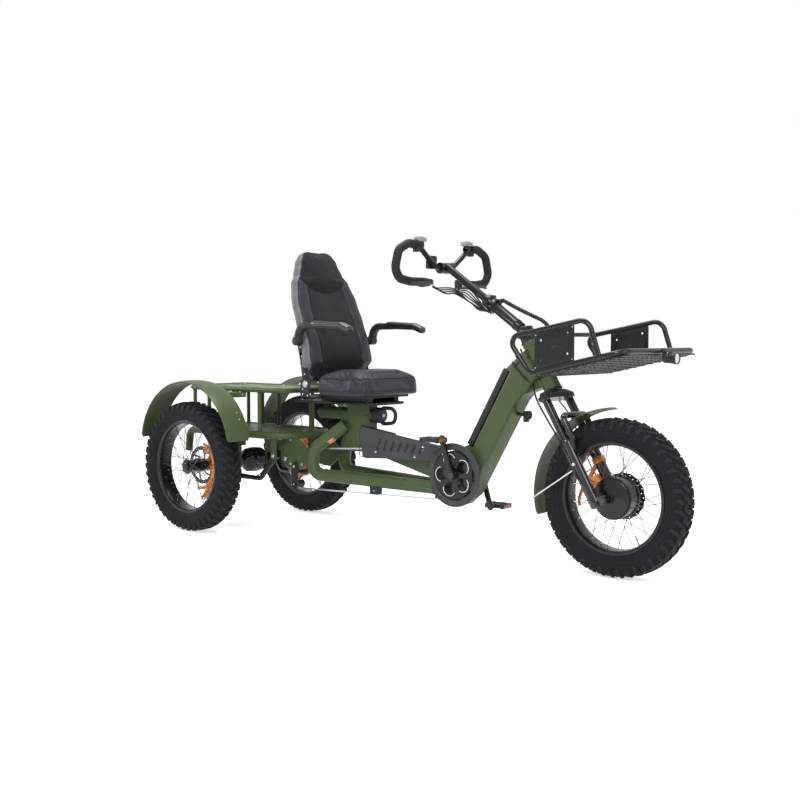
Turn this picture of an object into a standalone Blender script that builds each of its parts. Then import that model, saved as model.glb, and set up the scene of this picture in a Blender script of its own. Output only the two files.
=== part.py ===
"""Electric tricycle with a high-back seat, built as separate named sub-parts.

X points forward, Y to the rider's left, Z up, all in metres. The origin lies on the ground
midway between the axles. Side-view places are given as the distance forward of the rear axle
and the height above the ground; at() turns them into world points.
"""

import math

import bmesh
import bpy
from mathutils import Matrix, Vector

# Whole vehicle
WHEELBASE = 2.000
REAR_TRACK = 0.760
SEAT_GAP = 0.0003
RUNNING_GAP = 0.0005
MOVING_GAP = 0.006
CUT_OVERRUN = 0.020
FACETS = 8
ROUND_FACETS = 20
BORE_FACETS = 12
MERGE_DISTANCE = 0.00002

# Tyres and rims
TYRE_RADIUS = 0.300
TYRE_WIDTH = 0.104
TYRE_BEAD_RADIUS = 0.205
TYRE_STEPS = 32
TYRE_PROFILE_SHARES = ((0.86, 0.26), (1.0, 0.52), (0.95, 0.80), (0.62, 0.975))
RIM_FLANGE_RADIUS = 0.213
RIM_FLANGE_THICKNESS = 0.0035
RIM_WIDTH = 0.080
RIM_WELL_THICKNESS = 0.010
RIM_FLOOR_WIDTH_SHARE = 0.92
SPOKE_RADIUS = 0.0015
SPOKE_PAIR_COUNT = 10
SPOKE_FACETS = 4
SPOKE_LEAN_SHARE = 0.35

# Rear hubs, discs and calipers
REAR_HUB_RADIUS = 0.021
REAR_FLANGE_RADIUS = 0.034
REAR_FLANGE_SPACING = 0.056
REAR_FLANGE_THICKNESS = 0.004
REAR_HUB_INNER_Y = 0.3005
REAR_HUB_OUTER_REACH = 0.045
REAR_DISC_Y = 0.320
DISC_RADIUS = 0.090
DISC_THICKNESS = 0.003
DISC_RING_WIDTH = 0.020
DISC_ARM_COUNT = 5
DISC_ARM_WIDTH = 0.010
DISC_BORE_RADIUS = 0.024

# Front hub motor
MOTOR_RADIUS = 0.080
MOTOR_WIDTH = 0.096
MOTOR_COVER_RADIUS = 0.052
MOTOR_COVER_STEP = 0.006
MOTOR_BOSS_RADIUS = 0.017
MOTOR_BOSS_REACH = 0.0602
MOTOR_FLANGE_SPACING = 0.060

# Crank
CRANK_X = 1.300
CRANK_Z = 0.335
CRANK_LENGTH = 0.155
CRANK_ANGLE = math.radians(108)
CRANK_ARM_Y = 0.104
CRANK_ARM_THICKNESS = 0.014
CRANK_ARM_WIDTH = 0.024
CRANK_BOSS_RADIUS = 0.018
SPINDLE_RADIUS = 0.010
SPINDLE_CLEARANCE = 0.0004
CHAINRING_RADIUS = 0.0975
CHAINRING_THICKNESS = 0.004
SPIDER_RADIUS = 0.098
SPIDER_Y = 0.0895
SPIDER_THICKNESS = 0.004
PETAL_COUNT = 5
PETAL_CENTRE_SHARE = 0.60
PETAL_RADIUS_SHARE = 0.27
PEDAL_LENGTH = 0.092
PEDAL_DEPTH = 0.070
PEDAL_HEIGHT = 0.022
PEDAL_PIN_RADIUS = 0.007
PEDAL_PIN_LENGTH = 0.014
PEDAL_WALL = 0.012

# Chain, cassette, derailleur and idler
CHAIN_Y = 0.066
CHAIN_WIDTH = 0.008
CHAIN_HEIGHT = 0.008
CHAIN_WRAP_RADIUS = 0.1068
CASSETTE_X = 0.330
CASSETTE_Z = 0.335
CASSETTE_WRAP_RADIUS = 0.044
CASSETTE_LARGE_RADIUS = 0.052
CASSETTE_WIDTH = 0.030
JACKSHAFT_RADIUS = 0.010
PULLEY_X = 0.398
PULLEY_Z = 0.222
PULLEY_WRAP_RADIUS = 0.022
CAGE_THICKNESS = 0.003
CAGE_HALF_WIDTH = 0.020
IDLER_X = 0.858
IDLER_DEPTH = 0.034
IDLER_WIDTH = 0.044
IDLER_HEIGHT = 0.030

# Down tube and head tube
TUBE_LEAN = math.radians(60)
BOX_AHEAD_OF_CRANK = 0.050
BOX_ABOVE_CRANK = 0.150
BOX_DEPTH = 0.120
BOX_LENGTH = 0.360
BOX_HALF_WIDTH = 0.055
BOX_EDGE_RADIUS = 0.014
BOX_TAIL_REACH = 0.130
BOX_TAIL_X = CRANK_X - BOX_TAIL_REACH
BOX_BELOW_CRANK = 0.130
BOX_BOTTOM_Z = CRANK_Z - BOX_BELOW_CRANK
BATTERY_DEPTH = 0.030
BATTERY_START_SHARE = -0.06
BATTERY_END_SHARE = 0.93
BATTERY_EDGE_RADIUS = 0.010
HEAD_TUBE_RADIUS = 0.034
HEAD_TUBE_BOTTOM = 0.476
HEAD_TUBE_TOP = 0.700
GUSSET_HALF_WIDTH = 0.030

# Steering axis and fork
HEAD_ANGLE = math.radians(60)
FORK_OFFSET = 0.047
FORK_HALF_SPACING = 0.082
STANCHION_RADIUS = 0.016
LOWER_LEG_RADIUS = 0.021
LOWER_LEG_TOP = 0.270
CROWN_HEIGHT = 0.034
CROWN_DEPTH = 0.040
ARCH_TOP = 0.368
ARCH_RADIUS = 0.012
DROPOUT_LENGTH = 0.030
AXLE_NUT_RADIUS = 0.012

# Front fender and front caliper
FRONT_FENDER_RADIUS = 0.337
FRONT_FENDER_THICKNESS = 0.003
FRONT_FENDER_HALF_WIDTH = 0.057
FRONT_FENDER_START = math.radians(95)
FRONT_FENDER_END = math.radians(196)
FRONT_FENDER_STEPS = 16
FENDER_CROWN = 0.006
STAY_ANGLE = math.radians(184)
STAY_LEG_ALONG = 0.155
STAY_RADIUS = 0.003
CALIPER_LENGTH = 0.070
CALIPER_DEPTH = 0.034
CALIPER_WALL = 0.012

# Tiller and handlebar
TILLER_FOOT_X = 1.588
TILLER_FOOT_Z = 0.918
TILLER_TOP_X = 1.190
TILLER_TOP_Z = 1.193
TILLER_LOWER_RADIUS = 0.022
TILLER_UPPER_RADIUS = 0.0155
TILLER_COLLAR_RADIUS = 0.029
TILLER_COLLAR_SHARES = (0.36, 0.48)
JOINT_BLOCK_HALF_WIDTH = 0.030
JOINT_BLOCK_HEIGHT = 0.050
JOINT_BLOCK_RADIUS = 0.033
JOINT_BOSS_RADIUS = 0.022
CLAMP_RADIUS = 0.023
CLAMP_HALF_WIDTH = 0.030
BAR_RADIUS = 0.011
GRIP_RADIUS = 0.0175
LOOP_X = 1.180
LOOP_HALF_WIDTH = 0.314
LOOP_CENTRE_Z = 1.195
LOOP_HEIGHT = 0.155
LOOP_CORNER_RADIUS = 0.040
BAR_RISE_SHARES = ((0.0, -0.08), (0.16, -0.08), (0.36, 0.20), (0.54, 0.48), (0.60, 0.486))
GRIP_SHARES = ((0.60, 0.486), (0.74, 0.50), (0.93, 0.32), (1.0, -0.16), (0.92, -0.42),
               (0.70, -0.48), (0.46, -0.48))
TOP_BOX_LENGTH = 0.052
TOP_BOX_DEPTH = 0.030
TOP_BOX_HEIGHT = 0.022
TOP_BOX_LIFT = 0.008
LEVER_BODY_LENGTH = 0.040
LEVER_BODY_RADIUS = 0.016
LEVER_BLADE_LENGTH = 0.130
LEVER_BLADE_WIDTH = 0.012
LEVER_BLADE_THICKNESS = 0.006
DISPLAY_WIDTH = 0.062
DISPLAY_HEIGHT = 0.055
DISPLAY_THICKNESS = 0.014
DISPLAY_LIFT = -0.005
CABLE_RADIUS = 0.0085
CABLE_POINTS = (
    (1.4651, 1.0303), (1.475, 1.0445), (1.502, 1.033), (1.547, 1.012), (1.608, 0.986),
    (1.672, 0.958), (1.704, 0.922), (1.706, 0.888), (1.6915, 0.8705), (1.6655, 0.8555),
)

# Lower frame tubes
LOWER_TUBE_RADIUS = 0.028
LOWER_TUBE_FRONT_Y = 0.031
LOWER_TUBE_REAR_Y = 0.105
LOWER_TUBE_FRONT_Z = 0.266
LOWER_TUBE_REAR_Z = 0.279
LOWER_TUBE_BEND_X = 0.505
LOWER_TUBE_SHOULDER_X = 0.522
LOWER_TUBE_SHOULDER_Z = 0.395
LOWER_TUBE_TOP_X = 0.655
LOWER_TUBE_TOP_Z = 0.505
LOWER_TUBE_BEND_RADIUS = 0.070

# Seat mast and upper beam
MAST_TUBE_RADIUS = 0.027
MAST_TUBE_Z = 0.553
MAST_TUBE_REAR_X = 0.468
MAST_TUBE_FRONT_X = 0.800
MAST_BLOCK_HALF_WIDTH = 0.030
MAST_BLOCK_FRONT_X = 0.785
MAST_BLOCK_BACK_X = 0.655
MAST_BLOCK_TOP_BACK_X = 0.600
MAST_BLOCK_BOTTOM_Z = 0.388
BEAM_HALF_WIDTH = 0.030
BEAM_HEIGHT = 0.100
BEAM_REAR_BOTTOM_Z = 0.390
BEAM_FRONT_BOTTOM_Z = 0.296
SEAT_CLAMP_RADIUS = 0.034
SEAT_CLAMP_LENGTH = 0.040
LOOP_HANDLE_WIDTH = 0.074
LOOP_HANDLE_HEIGHT = 0.100
LOOP_HANDLE_BAR = 0.014

# Chain guard
GUARD_INNER_Y = 0.080
GUARD_THICKNESS = 0.006
GUARD_RADIUS = 0.130
GUARD_OPENING_RADIUS = 0.104
GUARD_REAR_X = 0.780
GUARD_REAR_TOP_Z = 0.508
GUARD_REAR_BOTTOM_Z = 0.368
GUARD_FRONT_X = 1.215
GUARD_FRONT_TOP_Z = 0.452
GUARD_FRONT_BOTTOM_Z = 0.392
GUARD_SLOT_COUNT = 7
GUARD_SLOT_WIDTH = 0.007
GUARD_SLOT_HEIGHT_SHARE = 0.40
GUARD_SLOT_SPAN_SHARES = (0.26, 0.80)
GUARD_BOSS_RADIUS = 0.007
GUARD_BOSS_SHARES = (0.22, 0.72)
GUARD_BOSS_RISE_SHARE = 0.3

# Seat
SEAT_PLATE_Z = 0.600
SEAT_PLATE_THICKNESS = 0.012
SEAT_PLATE_REAR_X = 0.400
SEAT_PLATE_FRONT_X = 0.868
SEAT_PLATE_HALF_WIDTH = 0.112
SEAT_RAIL_Y = 0.085
SEAT_RAIL_HALF_WIDTH = 0.014
SEAT_RAIL_HEIGHT = 0.020
SEAT_PAN_THICKNESS = 0.012
SEAT_PAN_REAR_X = 0.560
SEAT_PAN_FRONT_X = 0.862
SEAT_PAN_HALF_WIDTH = 0.150
CUSHION_REAR_X = 0.600
CUSHION_FRONT_X = 0.915
CUSHION_HALF_WIDTH = 0.215
CUSHION_TOP_Z = 0.744
CUSHION_CORNER_SHARE = 0.37
CUSHION_EDGE_RADIUS = 0.028
RECLINE_X = 0.572
RECLINE_Z = 0.690
BRACKET_Y = 0.205
BRACKET_THICKNESS = 0.006
BRACKET_HEIGHT = 0.060
BRACKET_LENGTH = 0.100
BACK_LEAN = math.radians(13)
BACK_FOOT_X = 0.5555
BACK_FOOT_Z = 0.700
BACK_LENGTH = 0.600
BACK_THICKNESS = 0.085
BACK_HALF_WIDTH = 0.215
BACK_SECTION_SHARES = (
    (0.00, 0.84, 0.70, 0.00), (0.05, 0.92, 0.86, 0.06), (0.13, 1.03, 1.10, 0.42),
    (0.26, 1.00, 1.12, 0.46), (0.42, 1.00, 0.98, 0.34), (0.60, 0.97, 0.92, 0.18),
    (0.74, 0.86, 0.96, 0.06), (0.82, 0.70, 1.00, 0.00), (0.90, 0.62, 0.98, 0.00),
    (0.97, 0.50, 0.86, 0.00), (1.00, 0.34, 0.60, 0.00),
)
ARM_PIVOT_X = 0.560
ARM_PIVOT_Z = 0.880
ARM_Y = 0.243
ARM_PAD_HALF_WIDTH = 0.019
ARM_PAD_THICKNESS = 0.026
ARM_PAD_TOP_Z = 0.959
ARM_PAD_BEND_X = 0.605
ARM_TIP_X = 0.872
ARM_TIP_Z = 0.922
ARM_BEND_RADIUS = 0.050
ARM_BOSS_RADIUS = 0.020
ARM_PIN_RADIUS = 0.012
ARM_PIN_LENGTH = 0.006

# Rear deck, rack and axle
DECK_HALF_WIDTH = 0.175
DECK_TUBE_RADIUS = 0.017
DECK_Z = 0.445
DECK_FRONT_X = 0.395
DECK_REAR_X = -0.262
DECK_TAIL_X = -0.276
DECK_TAIL_Z = 0.345
DECK_CORNER_RADIUS = 0.130
DECK_PLATE_THICKNESS = 0.004
DECK_PLATE_LIFT = 0.008
DECK_SLOT_LENGTH = 0.060
DECK_SLOT_RADIUS = 0.011
DECK_SLOT_ROW_COUNT = 2
DECK_SLOT_COLUMN_COUNT = 3
HANGER_Y = 0.110
HANGER_HALF_LENGTH = 0.030
HANGER_HALF_THICKNESS = 0.008
HANGER_EYE_RADIUS = 0.040
DROPOUT_Y = 0.101
DROPOUT_THICKNESS = 0.006
DROPOUT_REAR_X = 0.345
DROPOUT_BOTTOM_Z = 0.290
BEND_TOUCH_SHARES = (0.54, 0.72)
AXLE_TUBE_RADIUS = 0.026
AXLE_TUBE_HALF_LENGTH = 0.270
AXLE_STUB_RADIUS = 0.017
AXLE_STUB_REACH = 0.300
DIFFERENTIAL_RADIUS = 0.056
DIFFERENTIAL_HALF_WIDTH = 0.040
TRAILING_ARM_Y = 0.150
TRAILING_ARM_RADIUS = 0.011
TRAILING_EYE_HALF_WIDTH = 0.013
TRAILING_ARM_POINTS_X = (0.000, 0.040, 0.215, 0.322)
TRAILING_ARM_LOW_Z = 0.238
TRAILING_ARM_TOP_Z = 0.352
TRAILING_ARM_BEND_RADIUS = 0.030
RACK_Z = 0.652
RACK_TUBE_RADIUS = 0.0115
RACK_FRONT_X = 0.392
RACK_REAR_X = -0.270
RACK_CORNER_RADIUS = 0.050
RACK_PLATE_THICKNESS = 0.004
RACK_SLOT_LENGTH = 0.130
RACK_SLOT_RADIUS = 0.012
RACK_SLOT_ROW_COUNT = 2
RACK_SLOT_COLUMN_COUNT = 3
RACK_POST_RADIUS = 0.0088
RACK_POST_X = (-0.225, -0.120, 0.000, 0.235)

# Rear fenders
FENDER_CENTRE_DX = 0.016
FENDER_CENTRE_DZ = 0.080
FENDER_RADIUS = 0.319
FENDER_THICKNESS = 0.003
FENDER_INNER_Y = 0.315
FENDER_OUTER_Y = 0.445
FENDER_START = math.radians(10)
FENDER_END = math.radians(172)
FENDER_STEPS = 20
FENDER_TAB_X = (0.055, 0.150)
FENDER_WEB_STEPS = 4

# Front rack
HOOP_Y = 0.275
HOOP_TUBE_RADIUS = 0.0095
HOOP_SLEEVE_SHARE = 0.42
RAIL_TUBE_RADIUS = 0.0105
HOOP_REAR_X = 1.692
HOOP_REAR_Z = 0.896
HOOP_FRONT_X = 2.034
HOOP_FRONT_Z = 0.962
HOOP_CORNER_RADIUS = 0.045
RAIL_REAR_X = 1.792
RAIL_REAR_Z = 0.764
RAIL_FRONT_X = 2.172
RAIL_FRONT_Z = 0.848
RAIL_CORNER_RADIUS = 0.050
PANEL_REAR_X = 1.815
PANEL_FRONT_X = 1.975
PANEL_THICKNESS = 0.006
CROSS_TUBE_X = 1.746
CROSS_TUBE_RADIUS = 0.0085
FLOOR_LONG_CELL_COUNT = 4
FLOOR_CROSS_CELL_COUNT = 7
FLOOR_BAR = 0.005
FLOOR_THICKNESS = 0.005
MOUNT_HALF_WIDTH = 0.026
MOUNT_HEIGHT = 0.030
HEADLIGHT_RADIUS = 0.021
HEADLIGHT_LENGTH = 0.056
HEADLIGHT_DROP = 0.026

# Colours: RGB, roughness, metallic
FINISHES = {
    "olive_paint": ((0.090, 0.150, 0.045), 0.35, 0.1),
    "black_paint": ((0.012, 0.012, 0.014), 0.40, 0.1),
    "tyre_rubber": ((0.020, 0.020, 0.023), 0.85, 0.0),
    "black_rubber": ((0.018, 0.018, 0.020), 0.75, 0.0),
    "seat_vinyl": ((0.016, 0.016, 0.018), 0.55, 0.0),
    "black_plastic": ((0.016, 0.016, 0.018), 0.50, 0.0),
    "steel": ((0.45, 0.45, 0.46), 0.30, 1.0),
    "dark_steel": ((0.06, 0.06, 0.065), 0.40, 0.8),
    "orange_paint": ((0.75, 0.20, 0.03), 0.40, 0.1),
}

FRONT_AXLE_X = WHEELBASE
AXLE_Z = TYRE_RADIUS
FORWARD = Vector((1, 0, 0))
LEFT = Vector((0, 1, 0))
UP = Vector((0, 0, 1))
SIDES = {"right": -1, "left": 1}


def at(x, y, z):
    """World point from the distance forward of the rear axle, the side and the height."""
    return Vector((x - WHEELBASE / 2, y, z))


def steer_frame():
    """Foot of the steering axis beside the front axle, its direction and its forward normal."""
    up = Vector((-math.cos(HEAD_ANGLE), 0, math.sin(HEAD_ANGLE)))
    ahead = Vector((math.sin(HEAD_ANGLE), 0, math.cos(HEAD_ANGLE)))
    return at(FRONT_AXLE_X, 0, AXLE_Z) - ahead * FORK_OFFSET, up, ahead


def steer(along, ahead, y=0):
    """Point at a distance up the steering axis, a distance ahead of it and a side offset."""
    foot, up, normal = steer_frame()
    return foot + up * along + normal * ahead + LEFT * y


def clear_scene():
    for thing in list(bpy.data.objects):
        bpy.data.objects.remove(thing)


def finish(name):
    """Principled material with the colour, roughness and metallic value of a finish."""
    material = bpy.data.materials.get(name)
    if material is None:
        colour, roughness, metallic = FINISHES[name]
        material = bpy.data.materials.new(name)
        material.use_nodes = True
        shader = material.node_tree.nodes["Principled BSDF"]
        shader.inputs["Base Color"].default_value = (*colour, 1)
        shader.inputs["Roughness"].default_value = roughness
        shader.inputs["Metallic"].default_value = metallic
    return material


def add(name, mesh, material, parent=None):
    """Named object for one sub-part, parented to the empty on its joint's axis."""
    mesh.name = name
    mesh.materials.clear()
    mesh.materials.append(finish(material))
    mesh.shade_smooth()
    mesh.set_sharp_from_angle(angle=math.radians(35))
    thing = bpy.data.objects.new(name, mesh)
    bpy.context.collection.objects.link(thing)
    if parent is not None:
        thing.parent = parent
        thing.matrix_parent_inverse = parent.matrix_world.inverted()
    return thing


def add_axis(name, point, direction, parent=None):
    """Empty on a joint's axis, with its own Z along the axis."""
    empty = bpy.data.objects.new(name, None)
    bpy.context.collection.objects.link(empty)
    world = Matrix.Translation(point) @ direction.to_track_quat("Z", "Y").to_matrix().to_4x4()
    if parent is not None:
        empty.parent = parent
        empty.matrix_parent_inverse = parent.matrix_world.inverted()
    empty.matrix_world = world
    bpy.context.view_layer.update()
    return empty


def to_mesh(bm, name="shape"):
    bmesh.ops.remove_doubles(bm, verts=bm.verts, dist=MERGE_DISTANCE)
    bmesh.ops.recalc_face_normals(bm, faces=bm.faces)
    mesh = bpy.data.meshes.new(name)
    bm.to_mesh(mesh)
    bm.free()
    return mesh


def joined(meshes):
    """One mesh holding several shapes that don't touch."""
    bm = bmesh.new()
    for mesh in meshes:
        bm.from_mesh(mesh)
    result = bpy.data.meshes.new("joined")
    bm.to_mesh(result)
    bm.free()
    return result


def combined(mesh, others, operation):
    """Mesh after a Boolean with each of the others in turn."""
    base = bpy.data.objects.new("base", mesh)
    bpy.context.collection.objects.link(base)
    tools = []
    for other in others:
        tool = bpy.data.objects.new("tool", other)
        bpy.context.collection.objects.link(tool)
        tools.append(tool)
        modifier = base.modifiers.new("combine", "BOOLEAN")
        modifier.operation = operation
        modifier.object = tool
    bpy.context.view_layer.update()
    evaluated = base.evaluated_get(bpy.context.evaluated_depsgraph_get())
    result = bpy.data.meshes.new_from_object(evaluated)
    for thing in [base] + tools:
        bpy.data.objects.remove(thing)
    return result


def fused(meshes):
    return combined(meshes[0], meshes[1:], "UNION")


def cut(mesh, cutters):
    return combined(mesh, cutters, "DIFFERENCE")


def round_path(points, radius, steps=4):
    """Polyline whose inner corners are replaced by arcs of the given radius."""
    path = [points[0]]
    for before, corner, after in zip(points, points[1:], points[2:]):
        to_before = (before - corner).normalized()
        to_after = (after - corner).normalized()
        half_angle = to_before.angle(to_after) / 2
        reach = min(radius / math.tan(half_angle), (before - corner).length / 2,
                    (after - corner).length / 2)
        start = corner + to_before * reach
        end = corner + to_after * reach
        middle = corner + (to_before + to_after).normalized() * (reach / math.cos(half_angle))
        arm = start - middle
        sweep = arm.angle(end - middle)
        normal = arm.cross(end - middle).normalized()
        path += [middle + Matrix.Rotation(sweep * step / steps, 3, normal) @ arm
                 for step in range(steps + 1)]
    path.append(points[-1])
    return path


def closed_round_path(points, radius, steps=4):
    """Closed polyline with every corner rounded."""
    looped = [(points[-1] + points[0]) / 2] + list(points) + [(points[-1] + points[0]) / 2]
    return round_path(looped, radius, steps)[1:-1]


def tube(points, radius, resolution=2, closed=False):
    """Round bar along a path: a curve with a bevel and filled caps, read as a mesh."""
    curve = bpy.data.curves.new("tube", "CURVE")
    curve.dimensions = "3D"
    curve.fill_mode = "FULL"
    curve.bevel_depth = radius
    curve.bevel_resolution = resolution
    curve.render_resolution_u = 0
    curve.use_fill_caps = not closed
    spline = curve.splines.new("POLY")
    spline.points.add(len(points) - 1)
    for knot, point in zip(spline.points, points):
        knot.co = (*point, 1)
    spline.use_cyclic_u = closed
    thing = bpy.data.objects.new("tube", curve)
    bpy.context.collection.objects.link(thing)
    bpy.context.view_layer.update()
    evaluated = thing.evaluated_get(bpy.context.evaluated_depsgraph_get())
    bm = bmesh.new()
    bm.from_mesh(bpy.data.meshes.new_from_object(evaluated))
    bpy.data.objects.remove(thing)
    return to_mesh(bm, "tube")


def rod(start, end, radius, facets=FACETS, end_radius=None):
    """Straight round bar or cone between two points."""
    bm = bmesh.new()
    bmesh.ops.create_cone(bm, cap_ends=True, segments=facets, radius1=radius,
                          radius2=radius if end_radius is None else end_radius,
                          depth=(end - start).length)
    turn = (end - start).to_track_quat("Z", "Y").to_matrix().to_4x4()
    bmesh.ops.transform(bm, matrix=Matrix.Translation((start + end) / 2) @ turn, verts=bm.verts)
    return to_mesh(bm)


def box(low, high, edge=0):
    """Box between two corners, with its edges rounded where an edge radius is given."""
    bm = bmesh.new()
    bmesh.ops.create_cube(bm, size=1)
    size = high - low
    bmesh.ops.transform(bm, matrix=Matrix.Translation((low + high) / 2)
                        @ Matrix.Diagonal((*size, 1)), verts=bm.verts)
    if edge:
        bmesh.ops.bevel(bm, geom=bm.edges, offset=edge, segments=2, profile=0.5, affect="EDGES")
    return to_mesh(bm)


def slab(outline, low_y, high_y, edge=0):
    """Side-view outline of world points extruded from one side offset to another."""
    bm = bmesh.new()
    face = bm.faces.new([bm.verts.new((point.x, low_y, point.z)) for point in outline])
    extruded = bmesh.ops.extrude_face_region(bm, geom=[face])
    far = [part for part in extruded["geom"] if isinstance(part, bmesh.types.BMVert)]
    bmesh.ops.translate(bm, verts=far, vec=LEFT * (high_y - low_y))
    bmesh.ops.recalc_face_normals(bm, faces=bm.faces)
    if edge:
        rims = [line for line in bm.edges
                if abs(line.verts[0].co.y - line.verts[1].co.y) < SEAT_GAP]
        bmesh.ops.bevel(bm, geom=rims, offset=edge, segments=2, profile=0.5, affect="EDGES")
    return to_mesh(bm)


def turned(profile, centre, steps, closed=True):
    """Profile of (radius, side offset) pairs turned about the sideways axis through centre."""
    bm = bmesh.new()
    verts = [bm.verts.new(centre + UP * radius + LEFT * offset) for radius, offset in profile]
    pairs = list(zip(verts, verts[1:] + verts[:1])) if closed else list(zip(verts, verts[1:]))
    edges = [bm.edges.new(pair) for pair in pairs]
    bmesh.ops.spin(bm, geom=verts + edges, cent=centre, axis=LEFT, angle=2 * math.pi,
                   steps=steps, use_merge=True)
    return to_mesh(bm)


def disc(centre, radius, low_y, high_y, facets=ROUND_FACETS):
    return rod(at_side(centre, low_y), at_side(centre, high_y), radius, facets)


def at_side(point, y):
    return Vector((point.x, y, point.z))


def loft(rings):
    """Closed shape skinned over rings with equally many points."""
    bm = bmesh.new()
    loops = [[bm.verts.new(point) for point in ring] for ring in rings]
    for lower, upper in zip(loops, loops[1:]):
        for index in range(len(lower)):
            following = (index + 1) % len(lower)
            bm.faces.new((lower[index], lower[following], upper[following], upper[index]))
    bm.faces.new(loops[0])
    bm.faces.new(loops[-1])
    return to_mesh(bm)


def arc_band(centre, radius, thickness, low_y, high_y, start, end, steps, crown=0):
    """Fender: a bent band whose cross-section is lifted by the crown in its middle."""
    spread = ((low_y, 0), (low_y + (high_y - low_y) / 4, crown),
              (high_y - (high_y - low_y) / 4, crown), (high_y, 0))
    rings = []
    for step in range(steps + 1):
        angle = start + (end - start) * step / steps
        way = Vector((math.cos(angle), 0, math.sin(angle)))
        outer = [at_side(centre, y) + way * (radius - crown + lift) for y, lift in spread]
        inner = [at_side(centre, y) + way * (radius - crown + lift - thickness)
                 for y, lift in reversed(spread)]
        rings.append(outer + inner)
    return loft(rings)


def hull_path(circles, steps):
    """Closed path around several side-view circles, as a taut chain runs."""
    points = []
    for centre, radius in circles:
        points += [(centre.x + radius * math.cos(2 * math.pi * step / steps),
                    centre.z + radius * math.sin(2 * math.pi * step / steps))
                   for step in range(steps)]
    points.sort()

    def half(sequence):
        chain = []
        for point in sequence:
            while len(chain) > 1 and turn(chain[-2], chain[-1], point) <= 0:
                chain.pop()
            chain.append(point)
        return chain[:-1]

    return half(points) + half(points[::-1])


def turn(first, second, third):
    return ((second[0] - first[0]) * (third[1] - first[1])
            - (second[1] - first[1]) * (third[0] - first[0]))


def belt(path, height, low_y, high_y):
    """Closed flat loop of the given height along a side-view path."""
    bm = bmesh.new()
    rings = []
    count = len(path)
    for index, (x, z) in enumerate(path):
        before = Vector((x - path[index - 1][0], 0, z - path[index - 1][1])).normalized()
        after = Vector((path[(index + 1) % count][0] - x, 0,
                        path[(index + 1) % count][1] - z)).normalized()
        along = (before + after).normalized()
        out = Vector((along.z, 0, -along.x)) * (height / 2 / max(along.dot(after), 0.5))
        point = Vector((x, 0, z))
        rings.append([bm.verts.new(at_side(point + way * sign, y))
                      for way, sign, y in ((out, 1, low_y), (out, 1, high_y),
                                           (out, -1, high_y), (out, -1, low_y))])
    for ring, following in zip(rings, rings[1:] + rings[:1]):
        for corner in range(4):
            beside = (corner + 1) % 4
            bm.faces.new((ring[corner], ring[beside], following[beside], following[corner]))
    return to_mesh(bm)


def slot(centre, length, radius, depth, along=FORWARD):
    """Upright cutter with round ends for an oval hole in a level plate."""
    half = along * (length / 2 - radius)
    rings = []
    across = UP.cross(along)
    for height in (-depth / 2, depth / 2):
        ring = []
        for end, start_angle in ((half, -90), (-half, 90)):
            for step in range(5):
                angle = math.radians(start_angle + 45 * step)
                ring.append(centre + end + UP * height
                            + (along * math.cos(angle) + across * math.sin(angle)) * radius)
        rings.append(ring)
    return loft(rings)


def blade(points, half_widths, low_y, high_y, edge=0):
    """Flat curved arm: a side-view centreline widened on both sides."""
    above, below = [], []
    for index, point in enumerate(points):
        before = points[max(index - 1, 0)]
        after = points[min(index + 1, len(points) - 1)]
        out = (after - before).normalized().cross(LEFT) * half_widths[index]
        above.append(point + out)
        below.append(point - out)
    return slab(above + below[::-1], low_y, high_y, edge)


def tyre_mesh(centre):
    half_width = TYRE_WIDTH / 2
    bead_half = RIM_WIDTH / 2 - RIM_FLANGE_THICKNESS - SEAT_GAP
    height = TYRE_RADIUS - TYRE_BEAD_RADIUS
    side = [(TYRE_BEAD_RADIUS, bead_half), (RIM_FLANGE_RADIUS + SEAT_GAP, bead_half)]
    side += [(TYRE_BEAD_RADIUS + rise * height, width * half_width)
             for width, rise in TYRE_PROFILE_SHARES]
    profile = side + [(TYRE_RADIUS, 0)] + [(radius, -y) for radius, y in reversed(side)]
    return turned(profile, centre, TYRE_STEPS)


def rim_mesh(centre):
    half = RIM_WIDTH / 2
    inner_half = half - RIM_FLANGE_THICKNESS
    well = TYRE_BEAD_RADIUS - SEAT_GAP
    floor = well - RIM_WELL_THICKNESS
    side = [(well, inner_half), (RIM_FLANGE_RADIUS, inner_half), (RIM_FLANGE_RADIUS, half),
            (floor, half * RIM_FLOOR_WIDTH_SHARE)]
    profile = side + [(radius, -y) for radius, y in reversed(side)]
    return turned(profile, centre, TYRE_STEPS)


def spokes_mesh(centre, flange_radius, flange_spacing):
    """Two rows of thin spokes with the same lean, from the hub flanges into the rim."""
    spokes = []
    step = math.pi / SPOKE_PAIR_COUNT
    rim_radius = TYRE_BEAD_RADIUS - RIM_WELL_THICKNESS / 2
    for index in range(2 * SPOKE_PAIR_COUNT):
        side = 1 if index % 2 else -1
        start_angle = step * index
        end_angle = start_angle + step * SPOKE_LEAN_SHARE
        start = centre + LEFT * side * flange_spacing / 2 + polar(start_angle, flange_radius)
        end = centre + LEFT * side * RIM_WELL_THICKNESS + polar(end_angle, rim_radius)
        spokes.append(rod(start, end, SPOKE_RADIUS, SPOKE_FACETS))
    return joined(spokes)


def polar(angle, radius):
    """Side-view offset at an angle from straight ahead, turning upward."""
    return Vector((math.cos(angle), 0, math.sin(angle))) * radius


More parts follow.
